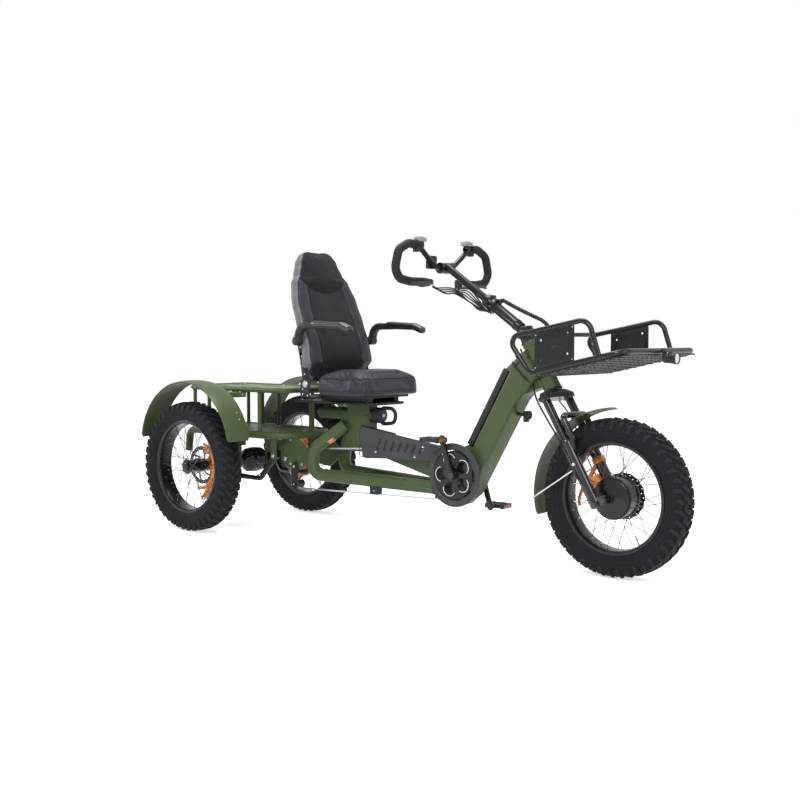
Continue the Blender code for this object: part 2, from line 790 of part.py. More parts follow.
def disc_mesh(centre, y, bore):
    """Brake disc: ring, arms and a central collar on the hub."""
    low, high = y - DISC_THICKNESS / 2, y + DISC_THICKNESS / 2
    collar = bore + DISC_ARM_WIDTH / 2
    middle = DISC_RADIUS - DISC_RING_WIDTH
    ring = turned([(middle, low), (DISC_RADIUS, low), (DISC_RADIUS, high), (middle, high)],
                  centre, ROUND_FACETS)
    eye = turned([(bore, low), (collar, low), (collar, high), (bore, high)], centre, ROUND_FACETS)
    arms = []
    for index in range(DISC_ARM_COUNT):
        way = polar(2 * math.pi * index / DISC_ARM_COUNT, 1)
        across = way.cross(LEFT) * DISC_ARM_WIDTH / 2
        start = centre + way * (bore + collar) / 2
        end = centre + way * (middle + DISC_RING_WIDTH / 4)
        arms.append(slab([start - across, end - across, end + across, start + across], low, high))
    return fused([ring, eye, joined(arms)])


def add_rear_wheel(side, label):
    centre = at(0, side * REAR_TRACK / 2, AXLE_Z)
    middle = centre.y
    axis = add_axis("rear_wheel_" + label + "_axis", centre, LEFT)
    inner = side * REAR_HUB_INNER_Y
    outer = middle + side * REAR_HUB_OUTER_REACH
    profile = [(inner, 0), (inner, REAR_HUB_RADIUS)]
    for flange in (-1, 1):
        near = middle + side * (flange * REAR_FLANGE_SPACING - REAR_FLANGE_THICKNESS) / 2
        far = near + side * REAR_FLANGE_THICKNESS
        profile += [(near, REAR_HUB_RADIUS), (near, REAR_FLANGE_RADIUS),
                    (far, REAR_FLANGE_RADIUS), (far, REAR_HUB_RADIUS)]
    profile += [(outer, REAR_HUB_RADIUS), (outer, 0)]
    hub = turned([(radius, y - middle) for y, radius in profile], centre, ROUND_FACETS, False)
    grip = REAR_FLANGE_RADIUS - REAR_FLANGE_THICKNESS
    spokes = spokes_mesh(centre, grip, REAR_FLANGE_SPACING)
    add("rear_wheel_" + label, fused([rim_mesh(centre), hub, spokes]), "black_paint", axis)
    add("rear_tyre_" + label, tyre_mesh(centre), "tyre_rubber", axis)
    brake = disc_mesh(at_side(centre, 0), side * REAR_DISC_Y, REAR_HUB_RADIUS + SEAT_GAP)
    add("rear_disc_" + label, brake, "steel", axis)


def add_front_wheel(steering):
    centre = at(FRONT_AXLE_X, 0, AXLE_Z)
    axis = add_axis("front_wheel_axis", centre, LEFT, steering)
    half = MOTOR_WIDTH / 2
    cover = half - MOTOR_COVER_STEP
    side = [(0, MOTOR_BOSS_REACH), (REAR_HUB_RADIUS, MOTOR_BOSS_REACH), (REAR_HUB_RADIUS, half),
            (MOTOR_COVER_RADIUS, half), (MOTOR_RADIUS, cover)]
    profile = side + [(radius, -y) for radius, y in reversed(side)]
    motor = turned(profile, centre, ROUND_FACETS, False)
    spokes = spokes_mesh(centre, MOTOR_RADIUS - REAR_FLANGE_THICKNESS, MOTOR_FLANGE_SPACING)
    add("front_wheel", fused([rim_mesh(centre), motor, spokes]), "black_paint", axis)
    add("front_tyre", tyre_mesh(centre), "tyre_rubber", axis)
    disc_y = MOTOR_BOSS_REACH - MOTOR_COVER_STEP - DISC_THICKNESS / 2
    add("front_disc", disc_mesh(centre, disc_y, REAR_HUB_RADIUS + SEAT_GAP), "steel", axis)


def box_point(up, across):
    """Side-view point of the slanted down tube: along it and forward from its rear edge."""
    return (at(CRANK_X + BOX_AHEAD_OF_CRANK, 0, CRANK_Z + BOX_ABOVE_CRANK)
            + Vector((math.cos(TUBE_LEAN), 0, math.sin(TUBE_LEAN))) * up
            + Vector((math.sin(TUBE_LEAN), 0, -math.cos(TUBE_LEAN))) * across)


def add_down_tube():
    start, end = BATTERY_START_SHARE * BOX_LENGTH, BATTERY_END_SHARE * BOX_LENGTH
    lower_front = box_point(-BOX_LENGTH * 0.56, BOX_DEPTH)
    upper_front = box_point(BOX_LENGTH * 0.70, BOX_DEPTH)
    beam_top = BEAM_FRONT_BOTTOM_Z + BEAM_HEIGHT
    shoulder = box_point(end + BATTERY_EDGE_RADIUS, BATTERY_EDGE_RADIUS)
    outline = [
        at(BOX_TAIL_X, 0, BOX_BOTTOM_Z + BOX_EDGE_RADIUS),
        at(CRANK_X, 0, BOX_BOTTOM_Z), lower_front, upper_front,
        steer(HEAD_TUBE_BOTTOM + HEAD_TUBE_RADIUS * 2, -HEAD_TUBE_RADIUS / 2),
        steer(HEAD_TUBE_TOP - HEAD_TUBE_RADIUS, -HEAD_TUBE_RADIUS / 2),
        shoulder, box_point(end, BATTERY_DEPTH), box_point(start, BATTERY_DEPTH),
        box_point(start, BATTERY_EDGE_RADIUS), at(BOX_TAIL_X, 0, beam_top),
    ]
    body = slab(outline, -BOX_HALF_WIDTH, BOX_HALF_WIDTH, BOX_EDGE_RADIUS)
    head = rod(steer(HEAD_TUBE_BOTTOM, 0), steer(HEAD_TUBE_TOP, 0), HEAD_TUBE_RADIUS, ROUND_FACETS)
    gusset = slab([box_point(end * 0.80, BOX_DEPTH * 0.9),
                   steer(HEAD_TUBE_BOTTOM + BOX_EDGE_RADIUS * 2, -HEAD_TUBE_RADIUS / 2),
                   steer(HEAD_TUBE_BOTTOM + HEAD_TUBE_RADIUS * 3, -HEAD_TUBE_RADIUS / 3),
                   box_point(end * 0.95, BOX_DEPTH * 0.75)],
                  -GUSSET_HALF_WIDTH, GUSSET_HALF_WIDTH)
    crank = at(CRANK_X, 0, CRANK_Z)
    bore = disc(crank, SPINDLE_RADIUS + SPINDLE_CLEARANCE, -BOX_HALF_WIDTH - CUT_OVERRUN,
                BOX_HALF_WIDTH + CUT_OVERRUN)
    add("down_tube", cut(fused([body, head, gusset]), [bore]), "olive_paint")
    pack = [box_point(start + SEAT_GAP, 0), box_point(end - SEAT_GAP, 0),
            box_point(end - SEAT_GAP, BATTERY_DEPTH - SEAT_GAP),
            box_point(start + SEAT_GAP, BATTERY_DEPTH - SEAT_GAP)]
    battery = slab(pack, -BOX_HALF_WIDTH, BOX_HALF_WIDTH, BATTERY_EDGE_RADIUS)
    add("battery_pack", battery, "black_plastic")


def add_upper_beam():
    front, rear = BOX_TAIL_X - SEAT_GAP, MAST_BLOCK_FRONT_X + SEAT_GAP
    outline = [at(rear, 0, BEAM_REAR_BOTTOM_Z), at(front, 0, BEAM_FRONT_BOTTOM_Z),
               at(front, 0, BEAM_FRONT_BOTTOM_Z + BEAM_HEIGHT - BOX_EDGE_RADIUS),
               at(rear, 0, BEAM_REAR_BOTTOM_Z + BEAM_HEIGHT)]
    beam = slab(outline, -BEAM_HALF_WIDTH, BEAM_HALF_WIDTH, BEAM_HALF_WIDTH / 3)
    add("upper_beam", beam, "olive_paint")


def add_seat_mast():
    block = slab([at(MAST_BLOCK_TOP_BACK_X, 0, MAST_TUBE_Z), at(MAST_BLOCK_FRONT_X, 0, MAST_TUBE_Z),
                  at(MAST_BLOCK_FRONT_X, 0, MAST_BLOCK_BOTTOM_Z),
                  at(MAST_BLOCK_BACK_X, 0, MAST_BLOCK_BOTTOM_Z)],
                 -MAST_BLOCK_HALF_WIDTH, MAST_BLOCK_HALF_WIDTH, MAST_BLOCK_HALF_WIDTH / 4)
    barrel = rod(at(MAST_TUBE_REAR_X, 0, MAST_TUBE_Z), at(MAST_TUBE_FRONT_X, 0, MAST_TUBE_Z),
                 MAST_TUBE_RADIUS, ROUND_FACETS)
    top = SEAT_PLATE_Z - SEAT_GAP
    saddle = box(at(MAST_BLOCK_BACK_X, -MAST_TUBE_RADIUS, MAST_TUBE_Z),
                 at(MAST_BLOCK_FRONT_X, MAST_TUBE_RADIUS, top))
    add("seat_mast", fused([block, barrel, saddle]), "olive_paint")
    start = MAST_TUBE_FRONT_X + SEAT_GAP
    clamp = rod(at(start, 0, MAST_TUBE_Z), at(start + SEAT_CLAMP_LENGTH, 0, MAST_TUBE_Z),
                SEAT_CLAMP_RADIUS, ROUND_FACETS)
    bar = LOOP_HANDLE_BAR / 2
    rear_x, front_x = start + SEAT_CLAMP_LENGTH - bar, start + SEAT_CLAMP_LENGTH + LOOP_HANDLE_WIDTH
    low, high = MAST_TUBE_Z - LOOP_HANDLE_HEIGHT * 0.38, SEAT_PLATE_Z - LOOP_HANDLE_BAR
    corners = [at(rear_x, 0, low), at(front_x, 0, low + bar), at(front_x, 0, high),
               at(rear_x, 0, high)]
    loop = tube(closed_round_path(corners, LOOP_HANDLE_BAR), bar, 2, True)
    add("seat_slide_handle", fused([clamp, loop]), "black_plastic")


def lower_tube_mesh(side, radius):
    bend = at(LOWER_TUBE_BEND_X, side * LOWER_TUBE_REAR_Y, LOWER_TUBE_REAR_Z)
    shoulder = at(LOWER_TUBE_SHOULDER_X, side * LOWER_TUBE_REAR_Y, LOWER_TUBE_SHOULDER_Z)
    top = at(LOWER_TUBE_TOP_X, side * MAST_BLOCK_HALF_WIDTH * 1.3, LOWER_TUBE_TOP_Z)
    start = at(BOX_TAIL_X, side * LOWER_TUBE_FRONT_Y, LOWER_TUBE_FRONT_Z)
    path = round_path([start, bend, shoulder, top], LOWER_TUBE_BEND_RADIUS, 6)
    return tube(path, radius, 3)


def add_lower_tube(side, label):
    """Main tube whose ends are cut flat against the down tube and the mast block."""
    reach = LOWER_TUBE_RADIUS * 2
    ahead = box(at(BOX_TAIL_X - SEAT_GAP, -LOWER_TUBE_REAR_Y, 0),
                at(BOX_TAIL_X + reach, LOWER_TUBE_REAR_Y, WHEELBASE / 2))
    wall = MAST_BLOCK_HALF_WIDTH + SEAT_GAP
    inside = box(at(MAST_BLOCK_TOP_BACK_X - reach, -wall, LOWER_TUBE_SHOULDER_Z - reach),
                 at(MAST_BLOCK_FRONT_X, wall, MAST_TUBE_Z + reach))
    pipe = lower_tube_mesh(side, LOWER_TUBE_RADIUS)
    add("lower_tube_" + label, cut(pipe, [ahead, inside]), "olive_paint")


def crank_point(along=1):
    return polar(CRANK_ANGLE, CRANK_LENGTH * along)


def crank_arm(side, inner_y, outer_y):
    centre = at(CRANK_X, 0, CRANK_Z)
    tip = centre - crank_point() * side
    low, high = sorted((side * inner_y, side * outer_y))
    half = CRANK_ARM_WIDTH / 2
    bar = blade([centre, tip], [half, half * 0.8], low, high)
    return fused([bar, disc(centre, CRANK_BOSS_RADIUS, low, high, BORE_FACETS),
                  disc(tip, CRANK_BOSS_RADIUS * 0.8, low, high, BORE_FACETS)])


def add_crank():
    centre = at(CRANK_X, 0, CRANK_Z)
    axis = add_axis("crank_axis", centre, LEFT)
    inner = CRANK_ARM_Y - CRANK_ARM_THICKNESS / 2
    outer = CRANK_ARM_Y + CRANK_ARM_THICKNESS / 2
    spindle = disc(centre, SPINDLE_RADIUS, -outer, outer, BORE_FACETS)
    ring_low = -CHAIN_Y - CHAINRING_THICKNESS / 2
    ring_high = ring_low + CHAINRING_THICKNESS
    chainring = disc(centre, CHAINRING_RADIUS, ring_low, ring_high)
    spider = disc(centre, SPIDER_RADIUS, -SPIDER_Y - SPIDER_THICKNESS / 2,
                  -SPIDER_Y + SPIDER_THICKNESS / 2)
    petals = joined([
        disc(centre + polar(CRANK_ANGLE + 2 * math.pi * index / PETAL_COUNT,
                            SPIDER_RADIUS * PETAL_CENTRE_SHARE),
             SPIDER_RADIUS * PETAL_RADIUS_SHARE, -SPIDER_Y - CUT_OVERRUN,
             -SPIDER_Y + SPIDER_THICKNESS, BORE_FACETS)
        for index in range(PETAL_COUNT)])
    hub = disc(centre, CRANK_BOSS_RADIUS, -inner, ring_high, BORE_FACETS)
    parts = [spindle, hub, chainring, cut(spider, [petals])]
    parts += [crank_arm(side, inner, outer) for side in (-1, 1)]
    add("crank_set", fused(parts), "black_paint", axis)
    for label, side in SIDES.items():
        tip = at_side(centre - crank_point() * side, side * outer)
        add_pedal(side, label, tip, axis)


def add_pedal(side, label, tip, crank):
    axis = add_axis("pedal_" + label + "_axis", tip, LEFT, crank)
    half_length, half_height = PEDAL_LENGTH / 2, PEDAL_HEIGHT / 2
    start = tip + LEFT * side * RUNNING_GAP
    inner = start + LEFT * side * PEDAL_PIN_LENGTH
    outer = inner + LEFT * side * PEDAL_DEPTH
    low_y, high_y = sorted((inner.y, outer.y))
    frame = box(Vector((tip.x - half_length, low_y, tip.z - half_height)),
                Vector((tip.x + half_length, high_y, tip.z + half_height)))
    holes = []
    for end in (-1, 1):
        near, far = sorted((end * (PEDAL_PIN_RADIUS + PEDAL_WALL / 2),
                            end * (half_length - PEDAL_WALL)))
        holes.append(box(Vector((tip.x + near, low_y + PEDAL_WALL, tip.z - CUT_OVERRUN)),
                         Vector((tip.x + far, high_y - PEDAL_WALL, tip.z + CUT_OVERRUN))))
    pin = rod(start, inner + LEFT * side * PEDAL_WALL / 2, PEDAL_PIN_RADIUS)
    add("pedal_" + label, fused([cut(frame, holes), pin]), "black_plastic", axis)


def add_chain():
    circles = [(at(CRANK_X, 0, CRANK_Z), CHAIN_WRAP_RADIUS),
               (at(CASSETTE_X, 0, CASSETTE_Z), CASSETTE_WRAP_RADIUS),
               (at(PULLEY_X, 0, PULLEY_Z), PULLEY_WRAP_RADIUS)]
    path = hull_path(circles, ROUND_FACETS)
    low, high = -CHAIN_Y - CHAIN_WIDTH / 2, -CHAIN_Y + CHAIN_WIDTH / 2
    add("chain", belt(path, CHAIN_HEIGHT, low, high), "dark_steel")


def add_cassette():
    centre = at(CASSETTE_X, 0, CASSETTE_Z)
    small = CASSETTE_WRAP_RADIUS - CHAIN_HEIGHT / 2 - RUNNING_GAP
    far = -CHAIN_Y - CHAIN_WIDTH / 2
    near = -CHAIN_Y + CHAIN_WIDTH / 2 + RUNNING_GAP * 2
    shaft_end = DROPOUT_Y - DROPOUT_THICKNESS / 2 - SEAT_GAP
    profile = [(0, -shaft_end), (JACKSHAFT_RADIUS, -shaft_end), (JACKSHAFT_RADIUS, far), (small, far),
               (small, near), (CASSETTE_LARGE_RADIUS, near), (CASSETTE_LARGE_RADIUS, near + CHAIN_WIDTH),
               (small, near + CHAIN_WIDTH), (small, far + CASSETTE_WIDTH),
               (JACKSHAFT_RADIUS, far + CASSETTE_WIDTH), (JACKSHAFT_RADIUS, shaft_end), (0, shaft_end)]
    add("cassette", turned(profile, centre, ROUND_FACETS, False), "steel")


def add_derailleur():
    """Cage with its pulley inside the chain's lower corner, hung from the right dropout."""
    pulley = at(PULLEY_X, 0, PULLEY_Z)
    hanger = at(PULLEY_X, 0, DROPOUT_BOTTOM_Z + DROPOUT_THICKNESS * 2)
    low = -DROPOUT_Y - DROPOUT_THICKNESS / 2 - SEAT_GAP - DROPOUT_THICKNESS
    high = low + DROPOUT_THICKNESS
    half = CAGE_HALF_WIDTH
    plate = blade([hanger + UP * half, hanger, pulley, pulley - UP * half * 0.9],
                  [half * 0.7, half, half, half * 0.6], low, high)
    wheel = disc(pulley, PULLEY_WRAP_RADIUS - CHAIN_HEIGHT / 2 - RUNNING_GAP, low,
                 -CHAIN_Y + CHAIN_WIDTH, BORE_FACETS)
    add("derailleur", fused([plate, wheel]), "black_paint")


def add_idler():
    """Chain roller block hung under the right lower tube."""
    half, thick = IDLER_WIDTH / 2, IDLER_DEPTH / 2
    share = (IDLER_X - LOWER_TUBE_BEND_X) / (BOX_TAIL_X - LOWER_TUBE_BEND_X)
    y = -(LOWER_TUBE_REAR_Y + (LOWER_TUBE_FRONT_Y - LOWER_TUBE_REAR_Y) * share)
    z = LOWER_TUBE_REAR_Z + (LOWER_TUBE_FRONT_Z - LOWER_TUBE_REAR_Z) * share
    top = z - LOWER_TUBE_RADIUS
    body = box(at(IDLER_X - half, y - thick, top - IDLER_HEIGHT),
               at(IDLER_X + half, y + thick, top + LOWER_TUBE_RADIUS / 3))
    chain_z = chain_height(IDLER_X, -1)
    room = CHAIN_HEIGHT / 2 + RUNNING_GAP * 3
    tunnel = box(at(IDLER_X - half - CUT_OVERRUN, -CHAIN_Y - CHAIN_WIDTH / 2 - RUNNING_GAP * 3,
                    chain_z - room - RUNNING_GAP * 2),
                 at(IDLER_X + half + CUT_OVERRUN, -CHAIN_Y + CHAIN_WIDTH / 2 + RUNNING_GAP * 3,
                    chain_z + room + RUNNING_GAP * 2))
    pipe = lower_tube_mesh(-1, LOWER_TUBE_RADIUS + SEAT_GAP)
    add("idler", cut(body, [tunnel, pipe]), "black_plastic")


def chain_height(x, side):
    """Height of the chain's upper or lower run at a place between crank and cassette."""
    if side > 0:
        near = (CASSETTE_X, CASSETTE_Z + CASSETTE_WRAP_RADIUS)
    else:
        near = (PULLEY_X, PULLEY_Z - PULLEY_WRAP_RADIUS)
    far = (CRANK_X, CRANK_Z + side * CHAIN_WRAP_RADIUS)
    share = (x - near[0]) / (far[0] - near[0])
    return near[1] + (far[1] - near[1]) * share


def guard_top(x):
    share = (x - GUARD_REAR_X) / (GUARD_FRONT_X - GUARD_REAR_X)
    return GUARD_REAR_TOP_Z + (GUARD_FRONT_TOP_Z - GUARD_REAR_TOP_Z) * share


def guard_bottom(x):
    share = (x - GUARD_REAR_X) / (GUARD_FRONT_X - GUARD_REAR_X)
    return GUARD_REAR_BOTTOM_Z + (GUARD_FRONT_BOTTOM_Z - GUARD_REAR_BOTTOM_Z) * share


def add_chain_guard():
    inner, outer = -GUARD_INNER_Y, -GUARD_INNER_Y - GUARD_THICKNESS
    crank = at(CRANK_X, 0, CRANK_Z)
    span = GUARD_FRONT_X - GUARD_REAR_X
    nose = GUARD_REAR_X + span * 0.08
    outline = [at(GUARD_REAR_X, 0, guard_top(GUARD_REAR_X)), at(GUARD_FRONT_X, 0, GUARD_FRONT_TOP_Z),
               at(CRANK_X, 0, GUARD_FRONT_TOP_Z), at(CRANK_X, 0, GUARD_FRONT_BOTTOM_Z),
               at(GUARD_FRONT_X, 0, GUARD_FRONT_BOTTOM_Z), at(nose, 0, guard_bottom(nose)),
               at((GUARD_REAR_X + nose) / 2, 0, guard_bottom(GUARD_REAR_X) + GUARD_THICKNESS)]
    plate = slab(outline, outer, inner)
    round_end = disc(crank, GUARD_RADIUS, outer, inner)
    holes = [disc(crank, GUARD_OPENING_RADIUS, outer - CUT_OVERRUN, inner + CUT_OVERRUN)]
    slots = []
    for index in range(GUARD_SLOT_COUNT):
        first, last = GUARD_SLOT_SPAN_SHARES
        x = GUARD_REAR_X + span * (first + (last - first) * index / (GUARD_SLOT_COUNT - 1))
        middle = (guard_top(x) + guard_bottom(x)) / 2
        reach = (guard_top(x) - guard_bottom(x)) * GUARD_SLOT_HEIGHT_SHARE / 2
        lean = GUARD_SLOT_WIDTH * 1.5
        slots.append(blade([at(x - lean, 0, middle - reach), at(x + lean, 0, middle + reach)],
                           [GUARD_SLOT_WIDTH] * 2, outer - CUT_OVERRUN, inner + CUT_OVERRUN))
    holes.append(joined(slots))
    bosses = []
    for share in GUARD_BOSS_SHARES:
        x = GUARD_REAR_X + span * share
        z = guard_bottom(x) + (beam_bottom(x) + BEAM_HEIGHT - guard_bottom(x)) * GUARD_BOSS_RISE_SHARE
        bosses.append(rod(at(x, inner - GUARD_THICKNESS / 2, z),
                          at(x, -BEAM_HALF_WIDTH - SEAT_GAP, z), GUARD_BOSS_RADIUS))
    add("chain_guard", fused([cut(fused([plate, round_end]), holes), joined(bosses)]), "black_plastic")


def beam_bottom(x):
    share = (x - MAST_BLOCK_FRONT_X) / (BOX_TAIL_X - MAST_BLOCK_FRONT_X)
    return BEAM_REAR_BOTTOM_Z + (BEAM_FRONT_BOTTOM_Z - BEAM_REAR_BOTTOM_Z) * share


def add_seat_base():
    top = SEAT_PLATE_Z + SEAT_PLATE_THICKNESS
    plate = box(at(SEAT_PLATE_REAR_X, -SEAT_PLATE_HALF_WIDTH, SEAT_PLATE_Z),
                at(SEAT_PLATE_FRONT_X, SEAT_PLATE_HALF_WIDTH, top))
    pan_z = top + SEAT_RAIL_HEIGHT
    rails = joined([
        box(at(SEAT_PAN_REAR_X, y - SEAT_RAIL_HALF_WIDTH, top - SEAT_PLATE_THICKNESS / 2),
            at(SEAT_PLATE_FRONT_X - SEAT_RAIL_HEIGHT, y + SEAT_RAIL_HALF_WIDTH,
               pan_z + SEAT_PAN_THICKNESS / 2))
        for y in (-SEAT_RAIL_Y, SEAT_RAIL_Y)])
    pan_top = pan_z + SEAT_PAN_THICKNESS
    pan = box(at(SEAT_PAN_REAR_X, -SEAT_PAN_HALF_WIDTH, pan_z),
              at(SEAT_PAN_FRONT_X, SEAT_PAN_HALF_WIDTH, pan_top))
    arm = box(at(RECLINE_X - BRACKET_HEIGHT / 2, -BRACKET_Y - BRACKET_THICKNESS, pan_z),
              at(RECLINE_X + BRACKET_LENGTH - BRACKET_HEIGHT / 2, BRACKET_Y + BRACKET_THICKNESS,
                 pan_z + SEAT_PAN_THICKNESS / 2))
    cheeks = joined([
        slab([at(RECLINE_X - BRACKET_HEIGHT / 2, 0, pan_z),
              at(CUSHION_REAR_X - MOVING_GAP, 0, pan_z),
              at(RECLINE_X + BRACKET_HEIGHT / 2, 0, RECLINE_Z + BRACKET_HEIGHT / 3),
              at(RECLINE_X - BRACKET_HEIGHT / 2, 0, RECLINE_Z + BRACKET_HEIGHT / 3)],
             *sorted((side * BRACKET_Y, side * (BRACKET_Y + BRACKET_THICKNESS))))
        for side in (-1, 1)])
    add("seat_base", fused([plate, rails, pan, arm, cheeks]), "olive_paint")
    add_cushion(pan_top + SEAT_GAP)


def rounded_ring(centre, half_length, half_width, corner, steps=4):
    """Level ring of points: a rectangle with rounded corners."""
    ring = []
    for sign_x, sign_y, start in ((1, 1, 0), (-1, 1, 90), (-1, -1, 180), (1, -1, 270)):
        pivot = centre + Vector((sign_x * (half_length - corner), sign_y * (half_width - corner), 0))
        for step in range(steps + 1):
            angle = math.radians(start + 90 * step / steps)
            ring.append(pivot + Vector((math.cos(angle), math.sin(angle), 0)) * corner)
    return ring


def add_cushion(bottom):
    half_length = (CUSHION_FRONT_X - CUSHION_REAR_X) / 2
    middle = at((CUSHION_FRONT_X + CUSHION_REAR_X) / 2, 0, 0)
    corner = CUSHION_HALF_WIDTH * CUSHION_CORNER_SHARE
    edge = CUSHION_EDGE_RADIUS
    rings = []
    for z, inset in ((bottom, edge / 2), (bottom + edge / 2, 0), (CUSHION_TOP_Z - edge, 0),
                     (CUSHION_TOP_Z - edge / 3, edge / 3), (CUSHION_TOP_Z, edge)):
        rings.append(rounded_ring(middle + UP * z, half_length - inset, CUSHION_HALF_WIDTH - inset,
                                  corner - inset / 2))
    add("seat_cushion", loft(rings), "seat_vinyl")


def add_backrest():
    axis = add_axis("backrest_axis", at(RECLINE_X, 0, RECLINE_Z), LEFT)
    up = Vector((-math.sin(BACK_LEAN), 0, math.cos(BACK_LEAN)))
    ahead = Vector((math.cos(BACK_LEAN), 0, math.sin(BACK_LEAN)))
    foot = at(BACK_FOOT_X, 0, BACK_FOOT_Z)
    rings = []
    for along, width, depth, forward in BACK_SECTION_SHARES:
        half_width, half_depth = BACK_HALF_WIDTH * width, BACK_THICKNESS * depth / 2
        centre = foot + up * BACK_LENGTH * along + ahead * BACK_THICKNESS * forward
        flat = rounded_ring(Vector((0, 0, 0)), half_depth, half_width, half_depth * 0.8, 3)
        rings.append([centre + ahead * point.x + LEFT * point.y for point in flat])
    back = loft(rings)
    inner = BRACKET_Y - BRACKET_THICKNESS - RUNNING_GAP
    tab_top = foot + up * BRACKET_HEIGHT * 2
    tabs = [blade([at(RECLINE_X, 0, RECLINE_Z), tab_top], [BRACKET_HEIGHT / 3] * 2,
                  *sorted((side * inner, side * (inner + BRACKET_THICKNESS))))
            for side in (-1, 1)]
    pivots = [disc(at(RECLINE_X, 0, RECLINE_Z), BRACKET_HEIGHT / 3, *sorted((side * inner, side * (
        inner + BRACKET_THICKNESS))), BORE_FACETS) for side in (-1, 1)]
    plate_y = ARM_Y - ARM_PAD_HALF_WIDTH - ARM_PIN_LENGTH - RUNNING_GAP
    plates = joined([disc(at(ARM_PIVOT_X, 0, ARM_PIVOT_Z), ARM_BOSS_RADIUS,
                          *sorted((side * (plate_y - BACK_THICKNESS / 2), side * plate_y)), BORE_FACETS)
                     for side in (-1, 1)])
    add("backrest", fused([back] + tabs + pivots + [plates]), "seat_vinyl", axis)
    for label, side in SIDES.items():
        add_armrest(side, label, axis)


def add_armrest(side, label, backrest):
    pivot = at(ARM_PIVOT_X, side * ARM_Y, ARM_PIVOT_Z)
    axis = add_axis("armrest_" + label + "_axis", pivot, LEFT, backrest)
    half = ARM_PAD_THICKNESS / 2
    path = round_path([at_side(pivot, 0), at(ARM_PAD_BEND_X - ARM_BEND_RADIUS / 2, 0, ARM_PAD_TOP_Z - half),
                       at(ARM_PAD_BEND_X + ARM_BEND_RADIUS * 2, 0, ARM_PAD_TOP_Z - half),
                       at(ARM_TIP_X - ARM_BEND_RADIUS, 0, ARM_PAD_TOP_Z - half * 1.4),
                       at(ARM_TIP_X, 0, ARM_TIP_Z)], ARM_BEND_RADIUS, 4)
    pad = blade(path, [half] * len(path), pivot.y - ARM_PAD_HALF_WIDTH, pivot.y + ARM_PAD_HALF_WIDTH)
    boss = disc(pivot, ARM_BOSS_RADIUS, pivot.y - ARM_PAD_HALF_WIDTH, pivot.y + ARM_PAD_HALF_WIDTH,
                BORE_FACETS)
    pin_end = side * (ARM_Y - ARM_PAD_HALF_WIDTH - ARM_PIN_LENGTH)
    pin = disc(pivot, ARM_PIN_RADIUS, *sorted((pin_end, pivot.y)), BORE_FACETS)
    add("armrest_" + label, fused([pad, boss, pin]), "black_plastic", axis)


def deck_path():
    """Deck tube's centreline, from the left tail round the front to the right tail."""
    corners = [at(DECK_TAIL_X, 1, DECK_TAIL_Z), at(DECK_REAR_X, 1, DECK_Z), at(DECK_FRONT_X, 1, DECK_Z)]
    left = [at_side(point, DECK_HALF_WIDTH) for point in corners]
    right = [at_side(point, -DECK_HALF_WIDTH) for point in reversed(corners)]
    bends = round_path(left[:2] + [(left[1] + left[2]) / 2], RIM_WIDTH / 2)
    front = round_path([(left[1] + left[2]) / 2, left[2], right[0], (right[0] + right[1]) / 2],
                       DECK_CORNER_RADIUS, 8)
    tail = [at_side(point, -point.y) for point in reversed(bends)]
    return bends[:-1] + front + tail[1:]


def add_deck_frame():
    ring = tube(deck_path(), DECK_TUBE_RADIUS)
    plate_z = DECK_Z + DECK_PLATE_LIFT
    inner = DECK_HALF_WIDTH - DECK_TUBE_RADIUS / 2
    front_x = DECK_FRONT_X - DECK_CORNER_RADIUS * 0.35
    outline = [at(DECK_REAR_X, -inner, plate_z), at(front_x - DECK_CORNER_RADIUS * 0.6, -inner, plate_z),
               at(front_x, -inner * 0.6, plate_z), at(front_x, inner * 0.6, plate_z),
               at(front_x - DECK_CORNER_RADIUS * 0.6, inner, plate_z), at(DECK_REAR_X, inner, plate_z)]
    plate = loft([outline, [point + UP * DECK_PLATE_THICKNESS for point in outline]])
    slots = slot_grid(DECK_REAR_X + DECK_SLOT_LENGTH, front_x - DECK_CORNER_RADIUS * 0.6,
                      DECK_HALF_WIDTH * 0.30, plate_z, DECK_SLOT_LENGTH, DECK_SLOT_RADIUS,
                      DECK_SLOT_COLUMN_COUNT, DECK_SLOT_ROW_COUNT)
    plate = cut(plate, [slots])
    post = rod(at(DECK_FRONT_X, 0, DECK_Z), at(DECK_FRONT_X, 0, SEAT_PLATE_Z - SEAT_GAP),
               RACK_POST_RADIUS, BORE_FACETS)
    pieces = [ring, plate, post]
    axle = at(0, 0, AXLE_Z)
    bore_radius = AXLE_TUBE_RADIUS + SEAT_GAP
    for side in (-1, 1):
        low, high = sorted((side * (HANGER_Y - HANGER_HALF_THICKNESS),
                            side * (HANGER_Y + HANGER_HALF_THICKNESS)))
        web = slab([axle - FORWARD * HANGER_HALF_LENGTH, axle + FORWARD * HANGER_HALF_LENGTH,
                    at(HANGER_HALF_LENGTH, 0, plate_z + DECK_PLATE_THICKNESS / 2),
                    at(-HANGER_HALF_LENGTH, 0, plate_z + DECK_PLATE_THICKNESS / 2)], low, high)
        eye = disc(axle, HANGER_EYE_RADIUS, low, high)
        bore = disc(axle, bore_radius, low - CUT_OVERRUN, high + CUT_OVERRUN)
        pieces.append(cut(fused([web, eye]), [bore]))
        pieces.append(dropout_plate(side))
        pieces.append(arm_bracket(side))
    add("deck_frame", fused(pieces), "olive_paint")


def slot_grid(rear_x, front_x, side_y, z, length, radius, columns, rows):
    slots = []
    for column in range(columns):
        x = rear_x + (front_x - rear_x) * column / (columns - 1)
        for row in range(rows):
            y = side_y * (2 * row / (rows - 1) - 1)
            slots.append(slot(at(x, y, z), length, radius, CUT_OVERRUN))
    return joined(slots)


